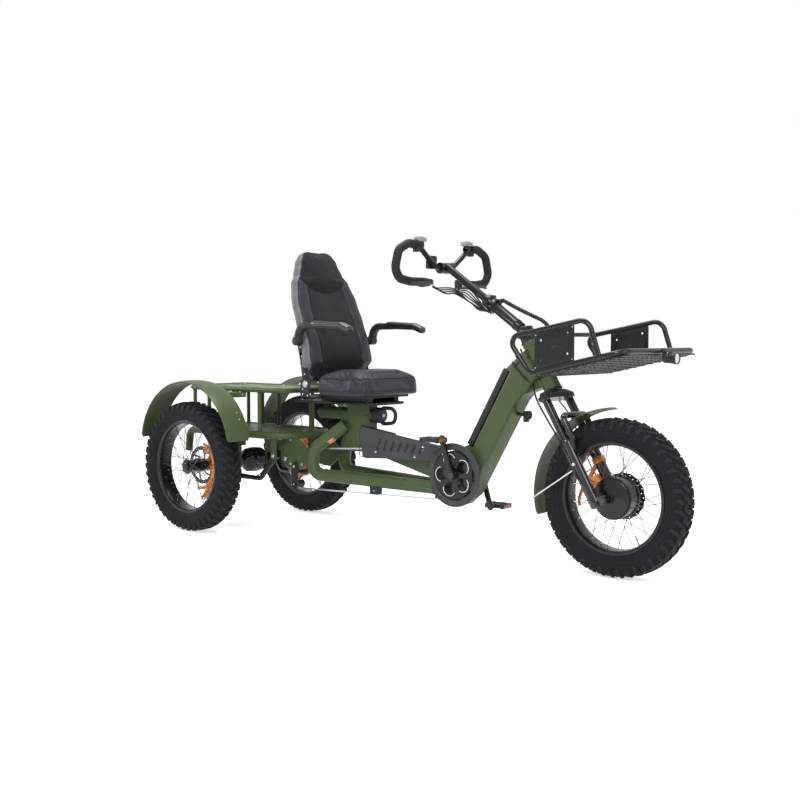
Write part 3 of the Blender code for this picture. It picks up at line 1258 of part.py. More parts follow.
def dropout_plate(side):
    """Upright plate that carries the jackshaft and closes against the lower tube's bend."""
    low, high = sorted((side * (DROPOUT_Y - DROPOUT_THICKNESS / 2),
                        side * (DROPOUT_Y + DROPOUT_THICKNESS / 2)))
    bend = at(LOWER_TUBE_BEND_X, 0, LOWER_TUBE_REAR_Z)
    shoulder = at(LOWER_TUBE_SHOULDER_X, 0, LOWER_TUBE_SHOULDER_Z)
    behind = (shoulder - bend).normalized().cross(LEFT) * LOWER_TUBE_RADIUS / 2
    touch_low, touch_high = [bend + (shoulder - bend) * share + behind for share in BEND_TOUCH_SHARES]
    depth = DECK_Z - DROPOUT_BOTTOM_Z
    waist = CASSETTE_X - LOWER_TUBE_RADIUS
    top = DECK_Z + DECK_PLATE_LIFT
    outline = [at(waist - LOWER_TUBE_RADIUS * 2, 0, top), at(waist, 0, DROPOUT_BOTTOM_Z + depth / 2),
               at(waist, 0, DROPOUT_BOTTOM_Z + depth / 6),
               at(DROPOUT_REAR_X + depth / 4, 0, DROPOUT_BOTTOM_Z),
               at(LOWER_TUBE_BEND_X - depth / 2, 0, DROPOUT_BOTTOM_Z), touch_low, touch_high,
               at(DECK_FRONT_X, 0, top)]
    return cut(slab(outline, low, high), [lower_tube_mesh(side, LOWER_TUBE_RADIUS + SEAT_GAP)])


def arm_bracket(side):
    """Ear under the deck tube that takes the trailing arm's front eye."""
    inner = TRAILING_ARM_Y + TRAILING_EYE_HALF_WIDTH + SEAT_GAP
    low, high = sorted((side * inner, side * (inner + HANGER_HALF_THICKNESS)))
    x = TRAILING_ARM_POINTS_X[-1]
    half = TRAILING_ARM_RADIUS * 1.5
    return slab([at(x - half, 0, TRAILING_ARM_TOP_Z - half), at(x + half, 0, TRAILING_ARM_TOP_Z - half),
                 at(x + half, 0, DECK_Z), at(x - half, 0, DECK_Z)], low, high)


def add_axle_housing():
    centre = at(0, 0, AXLE_Z)
    half = AXLE_TUBE_HALF_LENGTH
    side = [(0, AXLE_STUB_REACH), (AXLE_STUB_RADIUS, AXLE_STUB_REACH), (AXLE_STUB_RADIUS, half),
            (AXLE_TUBE_RADIUS, half), (AXLE_TUBE_RADIUS, DIFFERENTIAL_HALF_WIDTH * 1.5),
            (DIFFERENTIAL_RADIUS, DIFFERENTIAL_HALF_WIDTH), (DIFFERENTIAL_RADIUS, 0)]
    profile = side + [(radius, -y) for radius, y in reversed(side[:-1])]
    housing = turned(profile, centre, ROUND_FACETS, False)
    heights = (AXLE_Z, TRAILING_ARM_LOW_Z, TRAILING_ARM_LOW_Z, TRAILING_ARM_TOP_Z)
    arms = []
    for y in (-TRAILING_ARM_Y, TRAILING_ARM_Y):
        knots = [at(x, y, z) for x, z in zip(TRAILING_ARM_POINTS_X, heights)]
        arms.append(tube(round_path(knots, TRAILING_ARM_BEND_RADIUS, 4), TRAILING_ARM_RADIUS, 2))
        arms.append(disc(knots[-1], TRAILING_ARM_RADIUS * 1.4, y - TRAILING_EYE_HALF_WIDTH,
                         y + TRAILING_EYE_HALF_WIDTH, BORE_FACETS))
    add("axle_housing", fused([housing] + arms), "black_paint")


def rack_loop(radius):
    y = DECK_HALF_WIDTH
    corners = [at(RACK_REAR_X, y, RACK_Z), at(RACK_FRONT_X, y, RACK_Z),
               at(RACK_FRONT_X, -y, RACK_Z), at(RACK_REAR_X, -y, RACK_Z)]
    return tube(closed_round_path(corners, RACK_CORNER_RADIUS), radius, 2, True)


def add_rear_rack():
    y = DECK_HALF_WIDTH
    loop = rack_loop(RACK_TUBE_RADIUS)
    inset = RACK_TUBE_RADIUS / 2
    rail_top = RACK_Z + inset
    plate = box(at(RACK_REAR_X + inset, inset - y, rail_top - RACK_PLATE_THICKNESS),
                at(RACK_FRONT_X - inset, y - inset, rail_top))
    slots = slot_grid(RACK_REAR_X + RACK_SLOT_LENGTH * 0.8, RACK_FRONT_X - RACK_SLOT_LENGTH * 0.8,
                      DECK_HALF_WIDTH * 0.4, rail_top, RACK_SLOT_LENGTH, RACK_SLOT_RADIUS,
                      RACK_SLOT_COLUMN_COUNT, RACK_SLOT_ROW_COUNT)
    post_y = y - RACK_POST_RADIUS / 6
    posts = joined([rod(at(x, side * post_y, DECK_Z), at(x, side * post_y, RACK_Z - inset / 2),
                        RACK_POST_RADIUS)
                    for x in RACK_POST_X for side in (-1, 1)])
    room = tube(deck_path(), DECK_TUBE_RADIUS + SEAT_GAP)
    add("rear_rack", fused([loop, cut(plate, [slots]), cut(posts, [room])]), "olive_paint")


def add_rear_fender(side, label):
    centre = at(FENDER_CENTRE_DX, 0, AXLE_Z + FENDER_CENTRE_DZ)
    low, high = sorted((side * FENDER_INNER_Y, side * FENDER_OUTER_Y))
    band = arc_band(centre, FENDER_RADIUS, FENDER_THICKNESS, low, high, FENDER_START, FENDER_END,
                    FENDER_STEPS, FENDER_CROWN)
    top = RACK_Z - RACK_TUBE_RADIUS * 0.93
    rear, front = FENDER_TAB_X
    near, far = sorted((side * (DECK_HALF_WIDTH - RACK_TUBE_RADIUS),
                        side * (FENDER_INNER_Y + FENDER_THICKNESS * 2)))
    tab = box(at(rear, near, top - RACK_PLATE_THICKNESS), at(front, far, top))
    under_band = [fender_point(centre, front + (rear - front) * step / FENDER_WEB_STEPS)
                  for step in range(FENDER_WEB_STEPS + 1)]
    web = slab([at(rear, 0, top - RACK_PLATE_THICKNESS / 2), at(front, 0, top - RACK_PLATE_THICKNESS / 2)]
               + under_band,
               *sorted((side * FENDER_INNER_Y * 1.001, side * (FENDER_INNER_Y + FENDER_THICKNESS))))
    rail = rack_loop(RACK_TUBE_RADIUS + SEAT_GAP)
    add("rear_fender_" + label, cut(fused([band, tab, web]), [rail]), "olive_paint")


def fender_point(centre, x):
    """Point inside the fender's inner edge at a place along the vehicle."""
    radius = FENDER_RADIUS - FENDER_CROWN - FENDER_THICKNESS / 2
    offset = at(x, 0, 0).x - centre.x
    return centre + FORWARD * offset + UP * math.sqrt(radius ** 2 - offset ** 2)


def add_rear_caliper(side, label):
    axle = at(0, 0, AXLE_Z)
    inner = REAR_DISC_Y - DISC_THICKNESS / 2 - MOVING_GAP * 2
    near, far = AXLE_TUBE_HALF_LENGTH + SEAT_GAP, inner
    eye_radius = AXLE_STUB_RADIUS + SEAT_GAP
    reach = DISC_RADIUS + CALIPER_WALL
    outer = REAR_DISC_Y + MOVING_GAP + CALIPER_WALL
    block_centre = axle + polar(math.radians(55), DISC_RADIUS)
    half = CALIPER_DEPTH / 2

    def between(low_y, high_y):
        return sorted((side * low_y, side * high_y))

    flat_end = REAR_HUB_INNER_Y - MOVING_GAP
    eye = disc(axle, AXLE_STUB_RADIUS + CALIPER_WALL, *between(near, flat_end), BORE_FACETS)
    points = [axle + polar(math.radians(angle), DISC_RADIUS * share) for angle, share in
              ((88, 0.85), (50, 0.85), (15, 0.62), (-25, 0.60), (-62, 1.05), (-98, 1.80))]
    width = CALIPER_WALL
    lever = blade(points, [width, width * 1.3, width * 1.1, width * 1.1, width, width * 0.7],
                  *between(near + CALIPER_WALL / 2, far), width / 4)
    link = blade([axle, points[1]], [AXLE_STUB_RADIUS, width], *between(near + width / 6, flat_end - width / 6))
    block = slab([block_centre + FORWARD * sx * half + UP * sz * half
                  for sx, sz in ((-1, -1), (1, -1), (1, 1), (-1, 1))],
                 *between(near + CALIPER_WALL / 2, outer), width / 4)
    body = fused([eye, lever, link, block])
    slot_cut = disc(axle, DISC_RADIUS + MOVING_GAP, *between(inner + MOVING_GAP,
                                                            REAR_DISC_Y + DISC_THICKNESS / 2 + MOVING_GAP))
    hub_cut = disc(axle, DISC_RADIUS * 0.75, *between(inner + MOVING_GAP, outer + CUT_OVERRUN))
    bore = disc(axle, eye_radius, *between(near - CUT_OVERRUN, far + CUT_OVERRUN))
    add("rear_caliper_" + label, cut(body, [slot_cut, hub_cut, bore]), "orange_paint")


def add_fork(steering):
    crown_top = HEAD_TUBE_BOTTOM - RUNNING_GAP
    crown_low = crown_top - CROWN_HEIGHT
    half_depth = CROWN_DEPTH / 2
    reach = FORK_HALF_SPACING + STANCHION_RADIUS * 1.15
    crown = loft([[steer(along, -depth, -side), steer(along, depth, -side), steer(along, depth, side),
                   steer(along, -depth, side)]
                  for along, depth, side in ((crown_low, half_depth, reach),
                                             ((crown_low + crown_top) / 2, half_depth, reach),
                                             (crown_top, half_depth * 0.9, HEAD_TUBE_RADIUS * 1.5))])
    stanchions = [rod(steer(LOWER_LEG_TOP + RUNNING_GAP, 0, y), steer(crown_low + CROWN_HEIGHT * 0.8, 0, y),
                      STANCHION_RADIUS, BORE_FACETS)
                  for y in (-FORK_HALF_SPACING, FORK_HALF_SPACING)]
    add("fork_crown", fused([crown, joined(stanchions)]), "black_paint", steering)
    legs, lugs, stubs = [], [], []
    for side in (-1, 1):
        y = side * FORK_HALF_SPACING
        legs.append(rod(steer(-LOWER_LEG_RADIUS / 2, 0, y), steer(LOWER_LEG_TOP, 0, y),
                        LOWER_LEG_RADIUS, BORE_FACETS))
        half = LOWER_LEG_RADIUS / 3
        lugs.append(slab([steer(-DROPOUT_LENGTH / 2, 0), steer(-DROPOUT_LENGTH / 2, FORK_OFFSET),
                          steer(0, FORK_OFFSET + DROPOUT_LENGTH / 2),
                          steer(DROPOUT_LENGTH / 2, FORK_OFFSET + DROPOUT_LENGTH / 3),
                          steer(DROPOUT_LENGTH, 0)], y - half, y + half))
        inner = side * (MOTOR_BOSS_REACH + RUNNING_GAP)
        stubs.append(rod(steer(0, FORK_OFFSET, inner), steer(0, FORK_OFFSET, y + side * half * 2),
                         AXLE_NUT_RADIUS * 0.8))
    arch_z = ARCH_TOP - ARCH_RADIUS
    ahead = STANCHION_RADIUS + ARCH_RADIUS + MOVING_GAP
    low = LOWER_LEG_TOP - LOWER_LEG_RADIUS
    bend = [steer(low - ARCH_RADIUS * 2, ARCH_RADIUS, -FORK_HALF_SPACING),
            steer(low + ARCH_RADIUS, ahead, -FORK_HALF_SPACING),
            steer(arch_z, ahead, -FORK_HALF_SPACING)]
    path = round_path(bend + [at_side(point, -point.y) for point in reversed(bend)],
                      LOWER_LEG_RADIUS, 4)
    arch = tube(path, ARCH_RADIUS, 2)
    add("fork_lowers", fused([joined(legs), arch] + [joined(lugs), joined(stubs)]), "black_paint",
        steering)


def add_front_fender(steering):
    centre = at(FRONT_AXLE_X, 0, AXLE_Z)
    half = FRONT_FENDER_HALF_WIDTH
    band = arc_band(centre, FRONT_FENDER_RADIUS, FRONT_FENDER_THICKNESS, -half, half,
                    FRONT_FENDER_START, FRONT_FENDER_END, FRONT_FENDER_STEPS, FENDER_CROWN)
    arch_low = ARCH_TOP - ARCH_RADIUS * 2 - SEAT_GAP
    ahead = STANCHION_RADIUS + ARCH_RADIUS + MOVING_GAP
    lift = FRONT_FENDER_RADIUS - FRONT_FENDER_THICKNESS * 1.5
    pad = slab([steer(lift, ahead - ARCH_RADIUS / 2), steer(lift, ahead + ARCH_RADIUS / 2),
                steer(arch_low, ahead + ARCH_RADIUS / 2), steer(arch_low, ahead - ARCH_RADIUS / 2)],
               -ARCH_RADIUS, ARCH_RADIUS)
    stays = []
    for side in (-1, 1):
        start = centre + polar(STAY_ANGLE, FRONT_FENDER_RADIUS - FENDER_CROWN - FRONT_FENDER_THICKNESS)
        outside = side * (TYRE_WIDTH / 2 + MOVING_GAP + STAY_RADIUS * 2)
        end = steer(STAY_LEG_ALONG, -LOWER_LEG_RADIUS - RUNNING_GAP, side * FORK_HALF_SPACING)
        near = start + (end - start) * 0.12
        stays.append(tube([at_side(start, side * (half - STAY_RADIUS)), at_side(near, outside), end],
                          STAY_RADIUS, 1))
    add("front_fender", fused([band, pad, joined(stays)]), "olive_paint", steering)


def add_front_caliper(steering):
    axle = steer(0, FORK_OFFSET)
    disc_y = MOTOR_BOSS_REACH - MOTOR_COVER_STEP - DISC_THICKNESS / 2
    front = -LOWER_LEG_RADIUS / 2
    rear = -LOWER_LEG_RADIUS - CALIPER_DEPTH
    low, high = DISC_RADIUS * 0.55, DISC_RADIUS * 0.55 + CALIPER_LENGTH
    inner = disc_y - DISC_THICKNESS / 2 - MOVING_GAP - CALIPER_WALL / 2
    outer = FORK_HALF_SPACING + CALIPER_WALL
    block = slab([steer(low, rear), steer(low, front), steer(high, front), steer(high, rear)],
                 inner, outer, CALIPER_WALL / 4)
    arm_y = disc_y + MOVING_GAP * 2
    points = [steer(high - CALIPER_WALL, rear + CALIPER_WALL), steer(low + CALIPER_WALL, rear),
              steer(low - CALIPER_DEPTH, rear - CALIPER_WALL),
              steer(low - CALIPER_LENGTH * 1.5, rear + CALIPER_WALL / 2)]
    arm = blade(points, [CALIPER_WALL * 0.9, CALIPER_WALL, CALIPER_WALL * 0.8, CALIPER_WALL * 0.5],
                arm_y, arm_y + CALIPER_WALL * 1.3, CALIPER_WALL / 5)
    slot_cut = disc(axle, DISC_RADIUS + MOVING_GAP, disc_y - DISC_THICKNESS / 2 - MOVING_GAP,
                    disc_y + DISC_THICKNESS / 2 + MOVING_GAP)
    motor_cut = disc(axle, MOTOR_RADIUS + MOVING_GAP, inner - CUT_OVERRUN,
                     disc_y + DISC_THICKNESS / 2 + MOVING_GAP)
    leg = rod(steer(-CALIPER_LENGTH, 0, FORK_HALF_SPACING), steer(LOWER_LEG_TOP, 0, FORK_HALF_SPACING),
              LOWER_LEG_RADIUS + SEAT_GAP, BORE_FACETS)
    add("front_caliper", cut(fused([block, arm]), [slot_cut, motor_cut, leg]), "orange_paint", steering)


def add_tiller(steering):
    foot, top = at(TILLER_FOOT_X, 0, TILLER_FOOT_Z), at(TILLER_TOP_X, 0, TILLER_TOP_Z)
    along = (top - foot).normalized()
    length = (top - foot).length
    block_low = HEAD_TUBE_TOP + RUNNING_GAP
    post = rod(steer(block_low, 0), steer(block_low + JOINT_BLOCK_HEIGHT, 0), JOINT_BLOCK_RADIUS,
               BORE_FACETS)
    pivot = disc(foot, JOINT_BOSS_RADIUS, -JOINT_BLOCK_HALF_WIDTH, JOINT_BLOCK_HALF_WIDTH, BORE_FACETS)
    add("tiller_joint", fused([post, pivot]), "black_paint", steering)
    first, last = [length * share for share in TILLER_COLLAR_SHARES]
    start = JOINT_BOSS_RADIUS + RUNNING_GAP
    lower = rod(foot + along * start, foot + along * (first + CUT_OVERRUN / 2), TILLER_LOWER_RADIUS,
                BORE_FACETS)
    collar = rod(foot + along * first, foot + along * last, TILLER_COLLAR_RADIUS, BORE_FACETS)
    upper = rod(foot + along * (last - CUT_OVERRUN / 2), top, TILLER_UPPER_RADIUS, BORE_FACETS)
    bar_point = at(LOOP_X, 0, LOOP_CENTRE_Z + LOOP_HEIGHT * BAR_RISE_SHARES[0][1])
    clamp = disc(bar_point, CLAMP_RADIUS, -CLAMP_HALF_WIDTH, CLAMP_HALF_WIDTH, BORE_FACETS)
    body = fused([lower, collar, upper, clamp])
    add("tiller", cut(body, [bar_mesh(BAR_RADIUS + SEAT_GAP)]), "black_paint", steering)


def bar_path(shares, side=1):
    return [at(LOOP_X, side * LOOP_HALF_WIDTH * y, LOOP_CENTRE_Z + LOOP_HEIGHT * z)
            for y, z in shares]


def bar_mesh(radius):
    half = bar_path(BAR_RISE_SHARES)
    points = [at_side(point, -point.y) for point in reversed(half)] + half[1:]
    return tube(round_path(points, LOOP_CORNER_RADIUS, 3), radius)


def add_handlebar(steering):
    bar = bar_mesh(BAR_RADIUS)
    boxes, feet = [], []
    lift = LOOP_CENTRE_Z + LOOP_HEIGHT * BAR_RISE_SHARES[-2][1] + BAR_RADIUS
    for side in (-1, 1):
        y = side * (LOOP_HALF_WIDTH * BAR_RISE_SHARES[-2][0] - TOP_BOX_LENGTH / 4)
        low = at(LOOP_X - TOP_BOX_DEPTH / 2, y - TOP_BOX_LENGTH / 2, lift - BAR_RADIUS)
        boxes.append(box(low, low + Vector((TOP_BOX_DEPTH, TOP_BOX_LENGTH, TOP_BOX_HEIGHT)),
                         TOP_BOX_HEIGHT / 5))
    add("handlebar", fused([bar, joined(boxes)]), "black_paint", steering)
    for label, side in SIDES.items():
        path = round_path(bar_path(GRIP_SHARES, side), LOOP_CORNER_RADIUS, 3)
        first = path[0] + (path[1] - path[0]).normalized() * RUNNING_GAP
        grip = tube([first] + path[1:], GRIP_RADIUS)
        add("grip_" + label, grip, "black_rubber", steering)
        add_lever(side, label, path[-1], steering)


def add_lever(side, label, end, steering):
    """Brake lever and its housing at the open lower end of the loop."""
    start = end - LEFT * side * RUNNING_GAP
    inner = start - LEFT * side * LEVER_BODY_LENGTH
    body = rod(start, inner, LEVER_BODY_RADIUS, BORE_FACETS)
    middle = (start + inner) / 2
    thick = FORWARD * LEVER_BLADE_THICKNESS
    bend = middle + FORWARD * LEVER_BODY_RADIUS * 2
    arm = rod(middle, bend + thick / 2, LEVER_BLADE_WIDTH * 0.45)
    tip = bend + LEFT * side * LEVER_BLADE_LENGTH - UP * LEVER_BLADE_WIDTH
    half = UP * LEVER_BLADE_WIDTH / 2
    rings = [[point - half, point + half, point + half + rise, point - half + rise]
             for point, rise in ((bend - LEFT * side * LEVER_BLADE_WIDTH / 2, thick),
                                 ((bend + tip) / 2 + thick, thick), (tip, thick / 2))]
    add("lever_" + label, fused([body, arm, loft(rings)]), "dark_steel", steering)


def add_display(steering):
    bar_z = LOOP_CENTRE_Z + LOOP_HEIGHT * BAR_RISE_SHARES[0][1]
    low = at(LOOP_X - BAR_RADIUS - SEAT_GAP - DISPLAY_THICKNESS,
             -CLAMP_HALF_WIDTH - RUNNING_GAP - DISPLAY_WIDTH, bar_z + DISPLAY_LIFT)
    panel = box(low, low + Vector((DISPLAY_THICKNESS, DISPLAY_WIDTH, DISPLAY_HEIGHT)),
                DISPLAY_THICKNESS / 4)
    add("display", panel, "black_plastic", steering)


def add_cable_bundle(steering):
    points = [at(x, 0, z) for x, z in CABLE_POINTS]
    add("cable_bundle", tube(round_path(points, CLAMP_RADIUS, 2), CABLE_RADIUS, 1), "black_rubber",
        steering)


def add_front_rack():
    rear = at(RAIL_REAR_X, HOOP_Y, RAIL_REAR_Z)
    top = at(HOOP_REAR_X, HOOP_Y, HOOP_REAR_Z)
    sleeve = rear + (top - rear) / 2
    corners = [sleeve, rear, at(RAIL_FRONT_X, HOOP_Y, RAIL_FRONT_Z)]
    corners += [at_side(point, -point.y) for point in reversed(corners)]
    pieces = [tube(round_path(corners, RAIL_CORNER_RADIUS), RAIL_TUBE_RADIUS)]
    hoops, panels = [], []
    for side in (-1, 1):
        y = side * HOOP_Y
        foot = at(HOOP_FRONT_X + HOOP_CORNER_RADIUS, y, rail_z(HOOP_FRONT_X + HOOP_CORNER_RADIUS))
        start = at_side(rear + (top - rear) * HOOP_SLEEVE_SHARE, y)
        hoop = [start, at_side(top, y), at(HOOP_FRONT_X, y, HOOP_FRONT_Z), foot]
        hoops.append(tube(round_path(hoop, HOOP_CORNER_RADIUS), HOOP_TUBE_RADIUS))
        low, high = sorted((y - PANEL_THICKNESS / 2, y + PANEL_THICKNESS / 2))
        panels.append(slab([at(PANEL_REAR_X, 0, rail_z(PANEL_REAR_X)),
                            at(PANEL_FRONT_X, 0, rail_z(PANEL_FRONT_X)),
                            at(PANEL_FRONT_X, 0, hoop_z(PANEL_FRONT_X)),
                            at(PANEL_REAR_X, 0, hoop_z(PANEL_REAR_X))], low, high))
    pieces += [joined(hoops), joined(panels)]
    cross = at(CROSS_TUBE_X, 0, hoop_z(CROSS_TUBE_X))
    pieces.append(rod(at_side(cross, -HOOP_Y), at_side(cross, HOOP_Y), CROSS_TUBE_RADIUS))
    middle_x = (PANEL_REAR_X + PANEL_FRONT_X) / 2
    pieces.append(rod(at(middle_x, -HOOP_Y, rail_z(middle_x)), at(middle_x, HOOP_Y, rail_z(middle_x)),
                      CROSS_TUBE_RADIUS))
    head = steer(HEAD_TUBE_BOTTOM + MOUNT_HEIGHT * 2.6, HEAD_TUBE_RADIUS + SEAT_GAP)
    mount = slab([head - UP * MOUNT_HEIGHT / 2, at(RAIL_REAR_X, 0, RAIL_REAR_Z - MOUNT_HEIGHT / 3),
                  at(middle_x, 0, rail_z(middle_x) - MOUNT_HEIGHT / 4),
                  at(middle_x, 0, rail_z(middle_x) + MOUNT_HEIGHT / 4),
                  at(RAIL_REAR_X, 0, RAIL_REAR_Z + MOUNT_HEIGHT / 2), head + UP * MOUNT_HEIGHT / 2],
                 -MOUNT_HALF_WIDTH, MOUNT_HALF_WIDTH)
    room = rod(steer(HEAD_TUBE_BOTTOM - CUT_OVERRUN, 0), steer(HEAD_TUBE_TOP + CUT_OVERRUN, 0),
               HEAD_TUBE_RADIUS + SEAT_GAP, ROUND_FACETS)
    pieces.append(cut(mount, [room]))
    add("front_rack", fused(pieces), "black_paint")
    add_rack_floor()


def rail_z(x):
    share = (x - RAIL_REAR_X) / (RAIL_FRONT_X - RAIL_REAR_X)
    return RAIL_REAR_Z + (RAIL_FRONT_Z - RAIL_REAR_Z) * share


def hoop_z(x):
    share = (x - HOOP_REAR_X) / (HOOP_FRONT_X - HOOP_REAR_X)
    return HOOP_REAR_Z + (HOOP_FRONT_Z - HOOP_REAR_Z) * share


def add_rack_floor():
    """Wire floor under the rails: one grid of flat bars."""
    drop = RAIL_TUBE_RADIUS + RUNNING_GAP
    rear_x, front_x = RAIL_REAR_X + RAIL_CORNER_RADIUS / 2, RAIL_FRONT_X
    half_y = HOOP_Y
    bars = []
    half = FLOOR_BAR / 2
    first_x, last_x = rear_x + half, front_x - half
    for index in range(FLOOR_CROSS_CELL_COUNT + 1):
        y = half_y * (2 * index / FLOOR_CROSS_CELL_COUNT - 1)
        low_y, high_y = y - half, y + half
        bars.append(slab([at(first_x, 0, rail_z(first_x) - drop), at(last_x, 0, rail_z(last_x) - drop),
                          at(last_x, 0, rail_z(last_x) - drop - FLOOR_THICKNESS),
                          at(first_x, 0, rail_z(first_x) - drop - FLOOR_THICKNESS)], low_y, high_y))
    lengthwise = joined(bars)
    bars = []
    for index in range(FLOOR_LONG_CELL_COUNT + 1):
        x = rear_x + half + (front_x - rear_x - FLOOR_BAR) * index / FLOOR_LONG_CELL_COUNT
        bars.append(slab([at(x - half, 0, rail_z(x - half) - drop), at(x + half, 0, rail_z(x + half) - drop),
                          at(x + half, 0, rail_z(x + half) - drop - FLOOR_THICKNESS),
                          at(x - half, 0, rail_z(x - half) - drop - FLOOR_THICKNESS)],
                         -half_y - FLOOR_BAR, half_y + FLOOR_BAR))
    crosswise = joined(bars)
    add("rack_floor", fused([lengthwise, crosswise]), "black_paint")


def add_headlight():
    start = at(RAIL_FRONT_X + RAIL_TUBE_RADIUS + SEAT_GAP, 0, RAIL_FRONT_Z - HEADLIGHT_DROP)
    end = start + FORWARD * HEADLIGHT_LENGTH
    shell = rod(start, end, HEADLIGHT_RADIUS * 0.8, BORE_FACETS, HEADLIGHT_RADIUS)
    half = HEADLIGHT_RADIUS / 2
    bracket = box(start - LEFT * half,
                  start + LEFT * half + FORWARD * half + UP * (HEADLIGHT_DROP + half))
    add("headlight", fused([shell, bracket]), "black_plastic")


def main():
    clear_scene()
    steering = add_axis("steering_axis", steer(HEAD_TUBE_TOP, 0), steer_frame()[1])
    add_down_tube()
    add_upper_beam()
    add_seat_mast()
    for label, side in SIDES.items():
        add_lower_tube(side, label)
        add_rear_wheel(side, label)
        add_rear_caliper(side, label)
        add_rear_fender(side, label)
    add_crank()
    add_chain()
    add_cassette()
    add_derailleur()
    add_idler()
    add_chain_guard()
    add_seat_base()
    add_backrest()
    add_deck_frame()
    add_axle_housing()
    add_rear_rack()
    add_fork(steering)
    add_front_wheel(steering)
    add_front_fender(steering)
    add_front_caliper(steering)
    add_tiller(steering)
    add_handlebar(steering)
    add_display(steering)
    add_cable_bundle(steering)
    add_front_rack()
    add_headlight()


main()
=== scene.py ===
"""Looks of the electric tricycle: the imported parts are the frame, and fine pieces dress them.

X points forward, Y to the rider's left, Z up, in metres. Side-view places are given as the
distance forward of the rear axle and the height above the ground; at() turns them into points.
"""

import math

import bmesh
import bpy
from mathutils import Matrix, Vector, bvhtree, kdtree


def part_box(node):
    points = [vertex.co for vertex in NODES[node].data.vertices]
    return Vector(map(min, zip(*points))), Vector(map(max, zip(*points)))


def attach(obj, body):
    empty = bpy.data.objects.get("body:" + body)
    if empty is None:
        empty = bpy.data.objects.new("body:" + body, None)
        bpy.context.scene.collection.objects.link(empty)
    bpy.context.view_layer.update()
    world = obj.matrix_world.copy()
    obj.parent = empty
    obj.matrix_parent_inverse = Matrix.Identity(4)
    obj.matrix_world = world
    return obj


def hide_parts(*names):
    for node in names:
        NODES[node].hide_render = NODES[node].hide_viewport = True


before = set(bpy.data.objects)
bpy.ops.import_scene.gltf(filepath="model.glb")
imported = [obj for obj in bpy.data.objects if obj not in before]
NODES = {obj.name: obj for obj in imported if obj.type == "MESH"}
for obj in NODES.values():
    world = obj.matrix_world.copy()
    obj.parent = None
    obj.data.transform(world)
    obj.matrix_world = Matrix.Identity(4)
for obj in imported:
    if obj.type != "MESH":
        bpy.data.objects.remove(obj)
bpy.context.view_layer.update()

FORWARD = Vector((1, 0, 0))
LEFT = Vector((0, 1, 0))
UP = Vector((0, 0, 1))
BOTH = (-1, 1)
SIDES = {"right": -1, "left": 1}
TURN = 2 * math.pi
SKIN = 0.0003
MERGE = 0.00002

# Sizes shared with the frame
WHEELBASE = 2.0
AXLE_Z = 0.3
TRACK = 0.76
HEAD_ANGLE = math.radians(60)
FORK_OFFSET = 0.047
LEG_Y = 0.082
LOWER_TOP = 0.27
ARCH_AHEAD = 0.016 + 0.012 + 0.005
HEAD_BOTTOM, HEAD_TOP = 0.476, 0.7
HEAD_RADIUS = 0.034
SEAT_ALONG = HEAD_BOTTOM + 0.03 * 2.6
CRANK_LENGTH = 0.155
CRANK_ANGLE = math.radians(108)
CHAIN_Y = -0.066
LINK_PITCH, LINK_RADIUS = 0.0127, 0.0041
GUARD_Y = -0.0862
MAST_Z = 0.553
DECK_Y, DECK_Z = 0.175, 0.445
DECK_FOOT = (-0.276, 0.345)
POST_X, POST_Y = (-0.225, -0.12, 0.0, 0.235), DECK_Y - 0.0088 / 6
RACK_Z, RACK_RADIUS = 0.652, 0.0115
BAR_X, BAR_Z = 1.18, 1.195
BAR_HALF, BAR_TALL = 0.314, 0.155
RAIL = ((1.792, 0.764), (2.172, 0.848))
HOOP = ((1.692, 0.896), (2.034, 0.962))
HOOP_Y = 0.275
PANEL = (1.815, 1.975)
PANEL_HOLES = ((-0.056, 0.0364), (0.056, 0.039), (-0.056, -0.0364), (0.056, -0.0338))
BACK_LEAN = math.radians(13)
BRAKE_CABLE = 0.0026


def vec(x, y, z):
    return Vector((x, y, z))


def at(x, y, z):
    return Vector((x - WHEELBASE / 2, y, z))


def side_at(point, y):
    return Vector((point.x, y, point.z))


def steer(along, ahead=0.0, y=0.0):
    """Point up the steering axis, ahead of it and beside it."""
    up = vec(-math.cos(HEAD_ANGLE), 0, math.sin(HEAD_ANGLE))
    normal = vec(math.sin(HEAD_ANGLE), 0, math.cos(HEAD_ANGLE))
    return at(WHEELBASE, y, AXLE_Z) - normal * FORK_OFFSET + up * along + normal * ahead


def steer_line(*knots):
    return [steer(*knot) for knot in knots]


STEER_UP = (steer(1) - steer(0)).normalized()
STEER_AHEAD = (steer(0, 1) - steer(0)).normalized()
CRANK = at(1.3, 0, 0.335)
CASSETTE = at(0.33, 0, 0.335)
PULLEY = at(0.398, 0, 0.222)
REAR_HUB = at(0, 0, AXLE_Z)
FRONT_HUB = at(WHEELBASE, 0, AXLE_Z)
TILLER_FOOT, TILLER_TOP = at(1.588, 0, 0.918), at(1.19, 0, 1.193)


def polar(angle, radius=1.0):
    return vec(math.cos(angle), 0, math.sin(angle)) * radius


def turns(count, shift=0.0):
    """Angles of equal steps round a circle."""
    return [TURN * (step + shift) / count for step in range(count)]


def power(value, exponent):
    """Power of a size, with the value's own sign."""
    return math.copysign(abs(value) ** exponent, value)


def line_at(points, y=0.0):
    """Points given as (x, z), at one distance from the middle."""
    return [at(x, y, z) for x, z in points]


def mirrored(half):
    """Profile from the outer side to the middle, with its mirror image behind it."""
    return half + [(-y, r) for y, r in reversed(half[:-1])]


# Materials
def node(tree, kind, **values):
    """New shader node; each value goes to the input of that name, or else to the attribute."""
    made = tree.nodes.new(kind)
    for key, value in values.items():
        label = key.replace("_", " ")
        if label in made.inputs:
            made.inputs[label].default_value = value
        else:
            setattr(made, key, value)
    return made


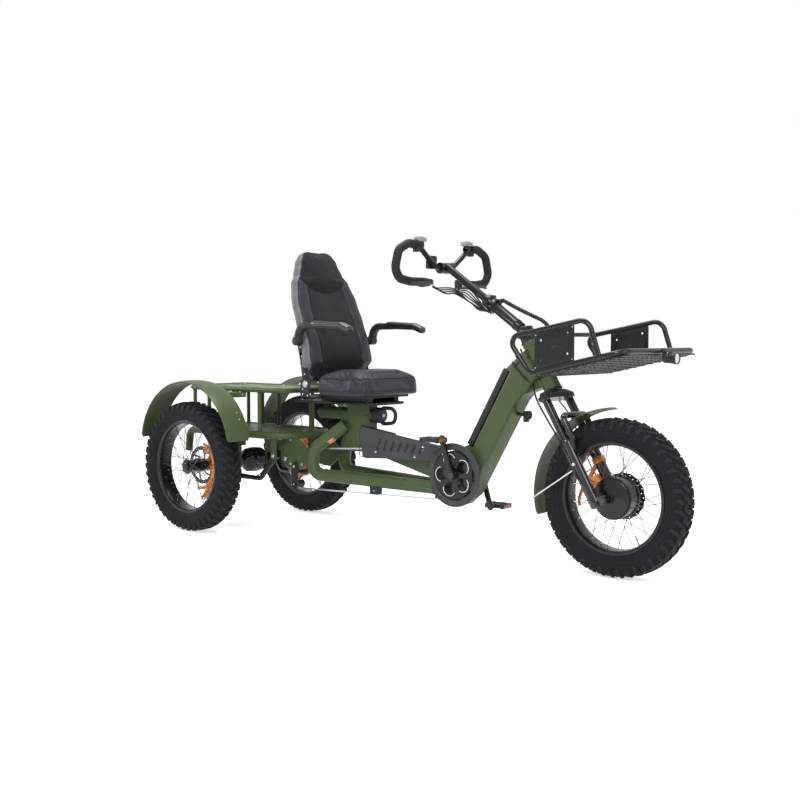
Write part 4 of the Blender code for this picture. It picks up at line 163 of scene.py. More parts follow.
def surface(name, colour, roughness, metallic, mottle, scale, grain, grain_scale, kind="noise",
            depth=0.0004, edge_wear_and_highlight=None, coat=0.0, sheen=0.0, specular=0.5):
    """Principled material with mottled colour, uneven gloss, a grain, and sharp edges lightened:
    partly wear, partly a painted highlight.
    """
    made = bpy.data.materials.new(name)
    made.use_nodes = True
    tree = made.node_tree
    shader = tree.nodes["Principled BSDF"]
    for key, value in (("Metallic", metallic), ("Coat Weight", coat), ("Coat Roughness", 0.15),
                       ("Sheen Weight", sheen), ("Specular IOR Level", specular)):
        shader.inputs[key].default_value = value
    link = tree.links.new
    place = node(tree, "ShaderNodeTexCoord").outputs["Object"]
    cloud = node(tree, "ShaderNodeTexNoise", Scale=scale, Detail=5.0)
    link(place, cloud.inputs["Vector"])
    tint = node(tree, "ShaderNodeMix", data_type="RGBA")
    tint.inputs[6].default_value = (*[c * (1 - mottle) for c in colour], 1)
    tint.inputs[7].default_value = (*[min(c * (1 + mottle), 1) for c in colour], 1)
    link(cloud.outputs["Fac"], tint.inputs[0])
    result = tint.outputs[2]
    speck = node(tree, "ShaderNodeTexNoise", Scale=scale * 9, Detail=3.0)
    link(place, speck.inputs["Vector"])
    gloss = node(tree, "ShaderNodeMapRange", To_Min=max(roughness - 0.09, 0.04),
                 To_Max=min(roughness + 0.09, 1.0))
    link(speck.outputs["Fac"], gloss.inputs["Value"])
    link(gloss.outputs["Result"], shader.inputs["Roughness"])
    # Sharp edges, found by pointiness, get a lighter colour: partly wear, partly a painted
    # highlight.
    if edge_wear_and_highlight:
        edge = node(tree, "ShaderNodeNewGeometry")
        ramp = node(tree, "ShaderNodeMapRange", From_Min=0.56, From_Max=0.7, To_Max=0.45)
        link(edge.outputs["Pointiness"], ramp.inputs["Value"])
        worn_and_lit_edge = node(tree, "ShaderNodeMix", data_type="RGBA")
        worn_and_lit_edge.inputs[7].default_value = (*edge_wear_and_highlight, 1)
        link(ramp.outputs["Result"], worn_and_lit_edge.inputs[0])
        link(result, worn_and_lit_edge.inputs[6])
        result = worn_and_lit_edge.outputs[2]
    link(result, shader.inputs["Base Color"])
    if kind == "weave":
        both = node(tree, "ShaderNodeMath", operation="MAXIMUM")
        for index, direction in enumerate("YZ"):
            wave = node(tree, "ShaderNodeTexWave", Scale=grain_scale, bands_direction=direction)
            link(place, wave.inputs["Vector"])
            link(wave.outputs["Fac"], both.inputs[index])
        height = both.outputs["Value"]
    elif kind == "leather":
        cells = node(tree, "ShaderNodeTexVoronoi", Scale=grain_scale, feature="DISTANCE_TO_EDGE")
        link(place, cells.inputs["Vector"])
        height = cells.outputs["Distance"]
    else:
        fine = node(tree, "ShaderNodeTexNoise", Scale=grain_scale, Detail=4.0)
        link(place, fine.inputs["Vector"])
        height = fine.outputs["Fac"]
    bump = node(tree, "ShaderNodeBump", Strength=grain, Distance=depth)
    link(height, bump.inputs["Height"])
    link(bump.outputs["Normal"], shader.inputs["Normal"])
    return made


OLIVE = surface("olive paint", (0.064, 0.092, 0.038), 0.42, 0.0, 0.16, 5.0, 0.1, 900.0,
                edge_wear_and_highlight=(0.13, 0.17, 0.09), coat=0.05, specular=0.15)
BLACK = surface("satin black paint", (0.006, 0.007, 0.009), 0.28, 0.1, 0.2, 9.0, 0.12, 900.0,
                edge_wear_and_highlight=(0.035, 0.035, 0.04), coat=0.1, specular=0.3)
RUBBER = surface("tyre rubber", (0.0075, 0.0085, 0.012), 0.7, 0.0, 0.28, 14.0, 0.5, 520.0,
                 depth=0.0006, edge_wear_and_highlight=(0.045, 0.045, 0.048), specular=0.16)
GRIP = surface("grip rubber", (0.013, 0.013, 0.015), 0.7, 0.0, 0.2, 20.0, 0.5, 700.0, specular=0.25)
VINYL = surface("seat vinyl", (0.019, 0.023, 0.029), 0.48, 0.0, 0.14, 6.0, 0.45, 520.0, "leather",
                0.0005, edge_wear_and_highlight=(0.05, 0.056, 0.064), specular=0.28)
# Lighter grey for the backrest's rear shell: the sheen on it is painted into the colour.
SHELL_PAINTED_SHEEN = surface("seat shell vinyl with painted sheen", (0.125, 0.132, 0.148), 0.42, 0.0, 0.12, 6.0, 0.35, 480.0,
                "leather", 0.0004, specular=0.3)
CLOTH = surface("seat cloth", (0.008, 0.01, 0.014), 0.84, 0.0, 0.16, 8.0, 0.8, 190.0, "weave",
                0.0007, sheen=0.06, specular=0.2)
PLASTIC = surface("black plastic", (0.013, 0.014, 0.016), 0.48, 0.0, 0.15, 12.0, 0.25, 800.0,
                  edge_wear_and_highlight=(0.06, 0.06, 0.065), specular=0.28)
GLOSS = surface("black anodised tube", (0.012, 0.012, 0.014), 0.12, 0.6, 0.1, 16.0, 0.05, 900.0,
                coat=0.6)
STEEL = surface("brushed steel", (0.5, 0.5, 0.52), 0.3, 1.0, 0.12, 20.0, 0.15, 900.0)
DARK = surface("dark steel", (0.055, 0.056, 0.06), 0.34, 0.8, 0.2, 16.0, 0.15, 900.0,
               edge_wear_and_highlight=(0.2, 0.2, 0.21))
GUARD = surface("guard plastic", (0.04, 0.041, 0.048), 0.52, 0.0, 0.12, 12.0, 0.3, 700.0,
                edge_wear_and_highlight=(0.09, 0.09, 0.1), specular=0.3)
GREY = surface("grey plastic", (0.26, 0.27, 0.28), 0.4, 0.1, 0.12, 12.0, 0.2, 800.0)
ORANGE = surface("orange enamel", (0.8, 0.235, 0.035), 0.38, 0.1, 0.1, 10.0, 0.12, 800.0,
                 edge_wear_and_highlight=(0.9, 0.45, 0.2), coat=0.3)
AMBER = surface("amber reflector", (0.42, 0.11, 0.02), 0.22, 0.0, 0.15, 60.0, 0.6, 260.0, "leather")
LENS = surface("clear lens", (0.72, 0.75, 0.78), 0.1, 0.0, 0.06, 30.0, 0.6, 240.0, "leather",
               coat=0.8)
WHITE = surface("white trim", (0.8, 0.8, 0.8), 0.45, 0.0, 0.05, 20.0, 0.1, 800.0)
GLASS = surface("display glass", (0.012, 0.014, 0.018), 0.12, 0.0, 0.05, 20.0, 0.02, 800.0,
                coat=1.0)
RED = surface("red reflector", (0.45, 0.02, 0.02), 0.22, 0.0, 0.15, 60.0, 0.6, 260.0, "leather")
ARMPAD = surface("armrest skin", (0.012, 0.013, 0.016), 0.3, 0.0, 0.15, 18.0, 0.3, 600.0, "leather",
                 0.0003, coat=0.25)


# Mesh making
def to_mesh(bm):
    bmesh.ops.remove_doubles(bm, verts=bm.verts, dist=MERGE)
    bmesh.ops.recalc_face_normals(bm, faces=bm.faces)
    mesh = bpy.data.meshes.new("shape")
    bm.to_mesh(mesh)
    bm.free()
    return mesh


def joined(meshes):
    bm = bmesh.new()
    for mesh in meshes:
        bm.from_mesh(mesh)
    result = bpy.data.meshes.new("joined")
    bm.to_mesh(result)
    bm.free()
    return result


def loft(rings, closed=False):
    """Skin over rings of points, open and capped or closed to a loop."""
    bm = bmesh.new()
    loops = [[bm.verts.new(point) for point in ring] for ring in rings]
    pairs = list(zip(loops, loops[1:])) + ([(loops[-1], loops[0])] if closed else [])
    for low, high in pairs:
        for index in range(len(low)):
            after = (index + 1) % len(low)
            bm.faces.new((low[index], low[after], high[after], high[index]))
    if not closed:
        bm.faces.new(loops[0])
        bm.faces.new(loops[-1])
    return to_mesh(bm)


def sweep(points, radius, sides, closed=False):
    """Round bar along a path; radius is one number or one for each point."""
    count = len(points)
    radii = radius if isinstance(radius, (list, tuple)) else [radius] * count
    normal = None
    rings = []
    for index, point in enumerate(points):
        before = points[index - 1] if index or closed else point
        after = points[(index + 1) % count] if index < count - 1 or closed else point
        way = (after - before).normalized()
        if normal is None:
            normal = way.orthogonal().normalized()
        normal = (normal - way * normal.dot(way)).normalized()
        across = way.cross(normal)
        rings.append([point + (normal * math.cos(turn) + across * math.sin(turn)) * radii[index]
                      for turn in turns(sides)])
    return loft(rings, closed)


def lathe(profile, centre, axis, steps, closed=False):
    """Profile of (offset along the axis, radius) pairs turned about the axis."""
    bm = bmesh.new()
    out = axis.orthogonal().normalized()
    verts = [bm.verts.new(centre + axis * offset + out * radius) for offset, radius in profile]
    pairs = list(zip(verts, verts[1:])) + ([(verts[-1], verts[0])] if closed else [])
    edges = [bm.edges.new(pair) for pair in pairs]
    bmesh.ops.spin(bm, geom=verts + edges, cent=centre, axis=axis, angle=TURN, steps=steps,
                   use_merge=True)
    return to_mesh(bm)


def plate(outline, y, thick, *edge):
    """Sheet cut to a side-view outline, from y to the left."""
    return prism([side_at(point, y) for point in outline], LEFT * thick, *edge)


def sided(profile, side):
    """Profile along +Y, or its mirror image for the right side."""
    return [(side * along, radius) for along, radius in profile]


def cylinder(start, end, radius, bevel, steps):
    """Round bar with its rims turned over by the bevel."""
    length = (end - start).length
    axis = (end - start).normalized()
    edge = min(bevel, radius / 3, length / 3)
    return lathe([(0, 0), (0, radius - edge), (edge, radius), (length - edge, radius),
                  (length, radius - edge), (length, 0)], start, axis, steps)


def disc(centre, radius, one_y, other_y, bevel, steps):
    """Round bar across the machine, between two distances from its middle."""
    low_y, high_y = sorted((one_y, other_y))
    return cylinder(side_at(centre, low_y), side_at(centre, high_y), radius, bevel, steps)


def prism(outline, depth, bevel=0.0, segments=2):
    """Flat outline pushed along a vector, with all its edges rounded."""
    bm = bmesh.new()
    face = bm.faces.new([bm.verts.new(point) for point in outline])
    made = bmesh.ops.extrude_face_region(bm, geom=[face])
    bmesh.ops.translate(bm, verts=[v for v in made["geom"] if isinstance(v, bmesh.types.BMVert)],
                        vec=depth)
    bmesh.ops.recalc_face_normals(bm, faces=bm.faces)
    if bevel:
        bmesh.ops.bevel(bm, geom=bm.edges, offset=bevel, segments=segments, profile=0.5,
                        affect="EDGES")
    return to_mesh(bm)


def block(low, high, bevel, segments):
    """Box between two corners, with rounded edges."""
    corners = [low, vec(high.x, low.y, low.z), vec(high.x, low.y, high.z),
               vec(low.x, low.y, high.z)]
    return prism(corners, LEFT * (high.y - low.y), bevel, segments)


def box_on(origin, low, high, bevel, segments=2):
    """Block between two corners given from an origin."""
    return block(origin + Vector(low), origin + Vector(high), bevel, segments)


def round_path(points, radius, steps):
    """Polyline whose inner corners are arcs."""
    path = [points[0]]
    for before, corner, after in zip(points, points[1:], points[2:]):
        back, on = (before - corner).normalized(), (after - corner).normalized()
        half = back.angle(on) / 2
        reach = min(radius / math.tan(half), (before - corner).length / 2,
                    (after - corner).length / 2)
        start, end = corner + back * reach, corner + on * reach
        middle = corner + (back + on).normalized() * (reach / math.cos(half))
        arm = start - middle
        sweep_angle = arm.angle(end - middle)
        normal = arm.cross(end - middle).normalized()
        path += [middle + Matrix.Rotation(sweep_angle * step / steps, 3, normal) @ arm
                 for step in range(steps + 1)]
    path.append(points[-1])
    return path


def closed_round_path(points, radius, steps):
    start = (points[-1] + points[0]) / 2
    return round_path([start] + list(points) + [start], radius, steps)[1:-1]


def smooth_path(points, steps=8):
    """Curve through the points, without corners."""
    padded = [points[0] * 2 - points[1]] + list(points) + [points[-1] * 2 - points[-2]]
    path = []
    for a, b, c, d in zip(padded, padded[1:], padded[2:], padded[3:]):
        for step in range(steps):
            t = step / steps
            path.append(0.5 * (2 * b + (c - a) * t + (2 * a - 5 * b + 4 * c - d) * t ** 2
                               + (3 * b - a - 3 * c + d) * t ** 3))
    path.append(points[-1])
    return path


def cable(points, radius, sides):
    return sweep(smooth_path(points), radius, sides)


def stepped(path, pitch):
    """The path again, with points at about the given pitch."""
    line = []
    for a, b in zip(path, path[1:]):
        steps = max(1, round((b - a).length / pitch))
        line += [a.lerp(b, step / steps) for step in range(steps)]
    return line + [path[-1]]


def placed(name, mesh):
    thing = bpy.data.objects.new(name, mesh)
    bpy.context.scene.collection.objects.link(thing)
    return thing


def evaluated(thing):
    """Mesh of an object with its modifiers applied; the object goes."""
    bpy.context.view_layer.update()
    graph = bpy.context.evaluated_depsgraph_get()
    result = bpy.data.meshes.new_from_object(thing.evaluated_get(graph))
    bpy.data.objects.remove(thing)
    return result


def cut_by(mesh, cutters):
    """Mesh less the joined cutters."""
    whole, tool = [placed("cut", part) for part in (mesh, joined(cutters))]
    modifier = whole.modifiers.new("cut", "BOOLEAN")
    modifier.operation = "DIFFERENCE"
    modifier.object = tool
    result = evaluated(whole)
    bpy.data.objects.remove(tool)
    return result


def add(name, meshes, material, body="frame", replaces=(), angle=38):
    """Finished piece: joined meshes, a material, its body and the nodes that it stands for."""
    mesh = joined(meshes if isinstance(meshes, (list, tuple)) else [meshes])
    mesh.materials.clear()
    mesh.materials.append(material)
    mesh.shade_smooth()
    mesh.set_sharp_from_angle(angle=math.radians(angle))
    thing = placed(name, mesh)
    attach(thing, body)
    if replaces:
        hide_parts(*replaces)
    return thing


FASTENERS = {}


def bolt(point, way, radius, body="frame", head="dome"):
    """Screw head standing on a surface, kept with the others of its body."""
    way = way.normalized()
    if head == "hex":
        parts = [cylinder(point, point + way * radius * 0.3, radius * 1.35, radius * 0.1, 20),
                 lathe([(0, 0), (0, radius), (radius * 0.85, radius), (radius, radius * 0.8),
                        (radius, 0)], point, way, 6)]
    else:
        parts = [lathe([(0, 0), (0, radius), (radius * 0.5, radius * 0.9),
                        (radius * 0.8, radius * 0.55), (radius * 0.8, radius * 0.4),
                        (radius * 0.35, radius * 0.35), (radius * 0.35, 0)], point, way, 18)]
    FASTENERS.setdefault(body, []).extend(parts)


def side_bolt(point, side, y, radius, body="frame", head="dome"):
    """Bolt at a side-view point that faces out at the distance y."""
    bolt(side_at(point, side * y), LEFT * side, radius, body, head)


def keep(material, *names):
    """CAD nodes that stay: welded, their edges rounded, with a finer material."""
    for name in names:
        thing = NODES[name]
        thing.data.materials.clear()
        thing.data.materials.append(material)
        if "custom_normal" in thing.data.attributes:
            thing.data.attributes.remove(thing.data.attributes["custom_normal"])
        thing.data.shade_smooth()
        weld = thing.modifiers.new("weld", "WELD")
        weld.merge_threshold = MERGE
        bevel = thing.modifiers.new("edges", "BEVEL")
        bevel.width = 0.0012
        bevel.segments = 2
        bevel.limit_method = "ANGLE"
        bevel.angle_limit = math.radians(38)
        bevel.harden_normals = True
        normals = thing.modifiers.new("normals", "WEIGHTED_NORMAL")
        normals.keep_sharp = True


# Wheels
RIM_STEPS = 144
LUG_COUNT = 46
SPOKE_COUNT = 36


def tyre_surface():
    """Half section of the casing as (side offset, radius) points, from the bead to the crown."""
    knots = [(0.0362, 0.2133), (0.0447, 0.229), (0.0512, 0.252), (0.0488, 0.2755), (0.0398, 0.2864),
             (0.024, 0.2916), (0.0, 0.293)]
    path = smooth_path([vec(y, 0, r) for y, r in knots], 6)
    return [(point.x, point.z) for point in path]


SECTION = tyre_surface()


def section_at(share):
    """Point and outward normal of the whole tyre section; share runs -1 to 1 across the crown."""
    crown = SECTION[::-1]
    place = abs(share) * (len(crown) - 1)
    low = min(int(place), len(crown) - 2)
    mix = place - low
    y = crown[low][0] * (1 - mix) + crown[low + 1][0] * mix
    r = crown[low][1] * (1 - mix) + crown[low + 1][1] * mix
    way = Vector((crown[low + 1][0] - crown[low][0], crown[low + 1][1] - crown[low][1]))
    normal = Vector((-way.y, way.x)).normalized()
    if normal.y < 0 and abs(share) < 0.6 or normal.x < 0:
        normal = -normal
    sign = 1 if share >= 0 else -1
    return y * sign, r, normal.x * sign, normal.y


def tyre_point(centre, share, angle, lift):
    y, r, ny, nr = section_at(share)
    return centre + LEFT * (y + ny * lift) + polar(angle, r + nr * lift)


def lug(centre, corners, height, cuts):
    """Tread block over the casing: two edges given as (share, angle) at both ends."""
    (s0, a0), (s1, a1), (s2, a2), (s3, a3) = corners
    rings = []
    for step in range(cuts + 1):
        t = step / cuts
        taper = 0.001 if step in (0, cuts) else 0.0
        left = (s0 + (s1 - s0) * t, a0 + (a1 - a0) * t)
        right = (s3 + (s2 - s3) * t, a3 + (a2 - a3) * t)
        inset = (right[1] - left[1]) * 0.12
        tops = ((right[0], right[1] - inset), (left[0], left[1] + inset))
        ring = [tyre_point(centre, *place, -0.001) for place in (left, right)]
        rings.append(ring + [tyre_point(centre, *place, height - taper) for place in tops])
    return loft(rings)


def tyre(centre):
    """Casing with bead and sidewall rings, and the tread blocks."""
    half = [(0.0362, 0.2053), (0.0362, 0.2133)] + SECTION[1:]
    parts = [lathe(mirrored(half), centre, LEFT, RIM_STEPS, True)]
    for y, r, thick in ((0.0462, 0.232, 0.0012), (0.0511, 0.2475, 0.001), (0.0508, 0.265, 0.001)):
        for side in BOTH:
            ring = [side_at(centre + polar(angle, r), centre.y + side * y)
                    for angle in turns(RIM_STEPS)]
            parts.append(sweep(ring, thick, 6, True))
    pitch = TURN / LUG_COUNT
    for index in range(LUG_COUNT):
        for side in BOTH:
            turn = index * pitch + (pitch / 2 if side > 0 else 0)
            reach = 0.62 if index % 2 else 0.56
            for corners, height, cuts in ((((0.03, 0), (0.3, 0.5), (0.3, 0.98), (0.03, 0.46)),
                                           0.0068, 3), (((0.34, 0.02), (0.5, 0.2), (0.5, 0.72),
                                                         (0.34, 0.54)), 0.0066, 3),
                                          (((0.5, 0.2), (reach, 0.24), (reach, 0.66), (0.5, 0.72)),
                                           0.0046, 2)):
                places = [(side * share, turn + pitch * part) for share, part in corners]
                parts.append(lug(centre, places, height, cuts))
    return parts


def rim(centre):
    """Wide single-wall rim: rolled flanges and a well."""
    half = [(0.04, 0.2095), (0.0388, 0.2128), (0.0366, 0.2128), (0.0362, 0.2045), (0.03, 0.2035),
            (0.022, 0.2005), (0.0, 0.2)]
    under = [(0.0, 0.1952), (0.024, 0.1958), (0.033, 0.1975), (0.0385, 0.201), (0.04, 0.206)]
    profile = mirrored(half) + [(-y, r) for y, r in reversed(under)] + under[1:]
    return lathe(profile, centre, LEFT, RIM_STEPS, True)


def spokes(centre, flange_radius, flange_half, lean):
    """Crossed spokes with a bent head at the hub flange and a nipple at the rim."""
    wires, nipples = [], []
    for index in range(SPOKE_COUNT):
        side = 1 if index % 2 else -1
        sense = 1 if (index // 2) % 2 else -1
        rim_angle = TURN * index / SPOKE_COUNT
        hub_angle = rim_angle + sense * math.radians(lean)
        end = centre + LEFT * side * 0.01 + polar(rim_angle, 0.197)
        start = centre + LEFT * side * flange_half + polar(hub_angle, flange_radius)
        wires.append(sweep([start - LEFT * side * 0.004, start + LEFT * side * 0.0016,
                            start + LEFT * side * 0.0012 + (end - start) * 0.02, end], 0.0014, 6))
        way = (start - end).normalized()
        nipples.append(sweep([end - way * 0.001, end + way * 0.008, end + way * 0.012],
                             [0.0026, 0.0023, 0.0016], 8))
    return wires, nipples


def rotor(centre, y, bore, bolts_body):
    """Brake disc: drilled ring with a wavy edge, curved arms and a bolted collar."""
    thick = 0.002
    outer = [side_at(centre + polar(angle, 0.0885 + 0.0013 * math.cos(15 * angle)), y - thick / 2)
             for angle in turns(180)]
    ring = prism(outer, LEFT * thick)
    holes = [disc(centre, 0.07, y - 0.01, y + 0.01, 0, 90)]
    for index, angle in enumerate(turns(30)):
        radius = 0.0755 if index % 2 else 0.083
        holes.append(disc(centre + polar(angle, radius), 0.0024, y - 0.01, y + 0.01, 0, 10))
    ring = cut_by(ring, holes)
    collar = lathe([(-thick / 2, bore), (thick / 2, bore), (thick / 2, bore + 0.01),
                    (-thick / 2, bore + 0.01)], side_at(centre, y), LEFT, 48, True)
    arms = []
    for angle in turns(6):
        path = smooth_path([centre + polar(angle, bore + 0.006), centre + polar(angle + 0.16, 0.05),
                            centre + polar(angle + 0.42, 0.072)], 5)
        path = [side_at(point, y) for point in path]
        edges = []
        for place, point in enumerate(path):
            before, after = path[max(place - 1, 0)], path[min(place + 1, len(path) - 1)]
            edges.append((after - before).normalized().cross(LEFT) * 0.0042)
        pairs = list(zip(path, edges))
        outline = [p + e for p, e in pairs] + [p - e for p, e in reversed(pairs)]
        arms.append(plate(outline, y - thick / 2 * 0.9, thick * 0.9))
        bolt(side_at(centre + polar(angle + 0.3, bore + 0.0055), y + thick / 2),
             LEFT if y >= centre.y else -LEFT, 0.0026, bolts_body)
    return [ring, collar] + arms


def valve(centre):
    foot = centre + polar(math.radians(-60), 0.196)
    way = -polar(math.radians(-60))
    return [cylinder(foot, foot + way * 0.03, 0.003, 0.0005, 14),
            cylinder(foot + way * 0.022, foot + way * 0.036, 0.0042, 0.001, 14)]


def toothed(centre, radius, teeth, low_y, high_y, depth):
    """Sprocket: a disc whose rim carries teeth."""
    outline = []
    for index in range(teeth):
        for share, reach in ((0.0, -depth), (0.28, -depth), (0.48, 0.0), (0.62, 0.0),
                             (0.82, -depth)):
            angle = TURN * (index + share) / teeth
            outline.append(side_at(centre + polar(angle, radius + reach), low_y))
    return prism(outline, LEFT * (high_y - low_y))


def dress_rear_wheel(label, side):
    body = "rear_wheel_body_" + label
    y = side * TRACK / 2
    centre = side_at(REAR_HUB, y)
    wires, nipples = spokes(centre, 0.0295, 0.028, 58)
    hub = lathe(sided([(0.3005 - TRACK / 2, 0), (0.3005 - TRACK / 2, 0.0205),
                       (0.306 - TRACK / 2, 0.0208), (-0.033, 0.0208), (-0.0315, 0.034),
                       (-0.0265, 0.034), (-0.025, 0.02), (0, 0.0165), (0.025, 0.02),
                       (0.0265, 0.034), (0.0315, 0.034), (0.033, 0.02), (0.04, 0.019),
                       (0.0425, 0.013), (0.045, 0.012), (0.045, 0)], side), centre, LEFT, 48)
    cap = lathe(sided([(0.036, 0.0203), (0.038, 0.0208), (0.0385, 0.0203)], side), centre, LEFT, 48,
                True)
    add("rear_rim_" + label, [rim(centre), hub, cap], BLACK, body, replaces=["rear_wheel_" + label])
    add("rear_spokes_" + label, wires, DARK, body)
    add("rear_nipples_" + label, nipples + valve(centre), STEEL, body)
    add("rear_tyre_skin_" + label, tyre(centre), RUBBER, body, replaces=["rear_tyre_" + label],
        angle=30)
    add("rear_rotor_" + label, rotor(centre, side * 0.32, 0.0213, body), DARK, body,
        ["rear_disc_" + label])
    nut = side_at(centre, y + side * 0.0435)
    add("rear_nut_" + label, [lathe(sided([(0, 0), (0, 0.0075), (0.0012, 0.0082), (0.0014, 0.0)],
                                          side), nut, LEFT, 6)], DARK, body)


def dress_front_wheel():
    body = "front_wheel_body"
    centre = FRONT_HUB
    wires, nipples = spokes(centre, 0.0755, 0.03, 24)
    half = [(0.0602, 0), (0.0602, 0.015), (0.059, 0.0165), (0.05, 0.017), (0.0485, 0.0215),
            (0.048, 0.03), (0.0465, 0.032), (0.0465, 0.05), (0.0445, 0.054), (0.0425, 0.07),
            (0.04, 0.074), (0.0355, 0.0755), (0.035, 0.08), (0.025, 0.08), (0.0245, 0.076),
            (0.0, 0.0755)]
    motor = lathe(mirrored(half), centre, LEFT, 96)
    fins = []
    for angle in turns(12):
        for side in BOTH:
            side_bolt(centre + polar(angle, 0.063), side, 0.043, 0.0024, body)
        start = side_at(centre + polar(angle + 0.13, 0.0345), -0.0462)
        end = side_at(centre + polar(angle + 0.13, 0.049), -0.0462)
        fins.append(sweep([start, end], 0.0013, 8))
    add("front_rim", [rim(centre), motor] + fins, BLACK, body, replaces=["front_wheel"])
    add("front_spokes", wires, DARK, body)
    add("front_nipples", nipples + valve(centre), STEEL, body)
    add("front_tyre_skin", tyre(centre), RUBBER, body, replaces=["front_tyre"], angle=30)
    add("front_rotor", rotor(centre, 0.0527, 0.0213, body), DARK, body, ["front_disc"])


# Fenders
FENDER_CROWN, FENDER_THICK, FENDER_LIP = 0.006, 0.0026, -0.0038


def fender(centre, radius, low_y, high_y, start, end, steps=90):
    """Bent band with a crowned section, rolled side lips and round ends."""
    half = (high_y - low_y) / 2
    middle = (high_y + low_y) / 2
    shares = [step / 12 for step in range(-12, 13)]
    section = [(middle + share * half, FENDER_CROWN * (1 - abs(share) ** 2.6)) for share in shares]
    under = [(y, lift - FENDER_THICK) for y, lift in reversed(section[1:-1])]
    section = [(low_y, FENDER_LIP)] + section + [(high_y, FENDER_LIP),
                                                 (high_y - 0.0016, FENDER_LIP)]
    section += under + [(low_y + 0.0016, FENDER_LIP)]
    rings = []
    for step in range(steps + 1):
        share = step / steps
        near = min(share, 1 - share) * (end - start) * radius
        narrow = 1 - 0.16 * max(0, 1 - near / 0.02) ** 2
        way = polar(start + (end - start) * share)
        base = radius - FENDER_CROWN
        places = [(middle + (y - middle) * narrow, base + lift) for y, lift in section]
        rings.append([side_at(centre, y) + way * reach for y, reach in places])
    return loft(rings)


def dress_rear_fender(label, side):
    centre = at(0.016, 0, 0.38)
    low, high = sorted((side * 0.315, side * 0.445))
    band = fender(centre, 0.319, low, high, math.radians(10), math.radians(172))
    top = RACK_Z - RACK_RADIUS * 0.93
    near, far = sorted((side * 0.176, side * 0.32))
    tab_rear, tab_front = 0.055, 0.15
    tab = block(at(tab_rear, near, top - 0.004), at(tab_front, far, top), 0.0012, 2)
    inner = low if side > 0 else high - 0.003
    curve = [at(x, inner, 0.38 + math.sqrt(0.3115 ** 2 - (x - 0.016) ** 2))
             for x in [0.15 - 0.095 * step / 8 for step in range(9)]]
    web = prism([at(tab_rear, inner, top - 0.002), at(tab_front, inner, top - 0.002)] + curve,
                LEFT * 0.003, 0.0008, 2)
    flange = block(at(0.1465, near, top - 0.024), at(tab_front, far - 0.002, top - 0.001), 0.001, 2)
    add("rear_fender_skin_" + label, [band, tab, web, flange], OLIVE,
        replaces=["rear_fender_" + label])
    for y in (0.2, 0.29):
        bolt(at(tab_front, side * y, top - 0.013), FORWARD, 0.0038)
    for x in (0.072, 0.134):
        for y in (0.202, 0.296):
            bolt(at(x, side * y, top), UP, 0.0038)
        bolt(at(x, side * 0.315, 0.667), -LEFT * side, 0.0036)
    for angle, y in ((150, 0.335), (150, 0.425), (34, 0.352), (28, 0.352), (96, 0.38)):
        way = polar(math.radians(angle))
        bolt(side_at(centre, side * y) + way * 0.3172, way, 0.0036)


def dress_front_fender():
    body = "steering_body"
    centre = FRONT_HUB
    band = fender(centre, 0.337, -0.057, 0.057, math.radians(95), math.radians(196), 64)
    lift = 0.337 - 0.0045
    pad = prism([steer(lift, ARCH_AHEAD - 0.006, -0.012), steer(lift, ARCH_AHEAD + 0.006, -0.012),
                 steer(0.3443, ARCH_AHEAD + 0.006, -0.012),
                 steer(0.3443, ARCH_AHEAD - 0.006, -0.012)], LEFT * 0.024, 0.0012, 2)
    add("front_fender_skin", [band, pad], OLIVE, body, replaces=["front_fender"])
    stays = []
    for side in BOTH:
        start = side_at(centre, side * 0.0575) + polar(math.radians(184), 0.33)
        end = steer(0.155, -0.0215, side * 0.082)
        near = side_at(start + (end - start) * 0.12, side * 0.066)
        stays.append(cable([start, near, start + (end - start) * 0.5 + LEFT * side * 0.002,
                            end + LEFT * side * 0.004], 0.0032, 12))
        side_bolt(start, side, 0.0575, 0.004, body)
        bolt(end + LEFT * side * 0.004, LEFT * side, 0.0042, body)
    add("front_fender_stays", stays, STEEL, body)


# Frame
def lower_tube_path(side):
    knots = [at(1.17, side * 0.031, 0.266), at(0.505, side * 0.105, 0.279),
             at(0.522, side * 0.105, 0.395), at(0.655, side * 0.039, 0.505)]
    return round_path(knots, 0.07, 16)


def ring_points(centre, axis, radius):
    out = axis.orthogonal().normalized()
    return [centre + Matrix.Rotation(turn, 3, axis) @ out * radius for turn in turns(40)]


def ring_bar(centre, axis, radius, thick):
    return sweep(ring_points(centre, axis, radius), thick, 8, True)


def weld_bead(centre, axis, ring, radius=0.0022):
    """Low rippled seam of weld round a tube."""
    points = ring_points(centre, axis, ring)
    path = []
    for low, high in zip(points, points[1:] + points[:1]):
        path += [low * (1 - mix) + high * mix for mix in (0.0, 1 / 3, 2 / 3)]
    sizes = [radius * (1.0 + 0.22 * math.sin(index * 2.1)) for index in range(len(path))]
    return sweep(path, sizes, 8, True)


def dress_lower_tube(label, side):
    path = lower_tube_path(side)
    add("lower_tube_skin_" + label, sweep(path, 0.0282, 40), OLIVE,
        replaces=["lower_tube_" + label])
    front = at(1.166, side * 0.0315, 0.266)
    add("lower_tube_weld_" + label, weld_bead(front, FORWARD, 0.029), OLIVE)
    if side > 0:
        return
    way = (path[-1] - path[-2]).normalized()
    middle = path[-2] + (path[-1] - path[-2]) * 0.4
    bm = bmesh.new()
    loops = []
    for along in (-0.016, 0.016):
        loops.append([])
        for step in range(13):
            turn = Matrix.Rotation(math.radians(-150 + 9 * step), 3, way)
            out = turn @ UP.cross(way).normalized()
            loops[-1].append(bm.verts.new(middle + way * along + out * 0.0286))
    low, high = loops
    for a, b in zip(range(12), range(1, 13)):
        bm.faces.new((low[a], low[b], high[b], high[a]))
    patch = add("plain_orange_patch", to_mesh(bm), ORANGE)
    solid = patch.modifiers.new("thickness", "SOLIDIFY")
    solid.thickness = 0.0004
    solid.offset = 1


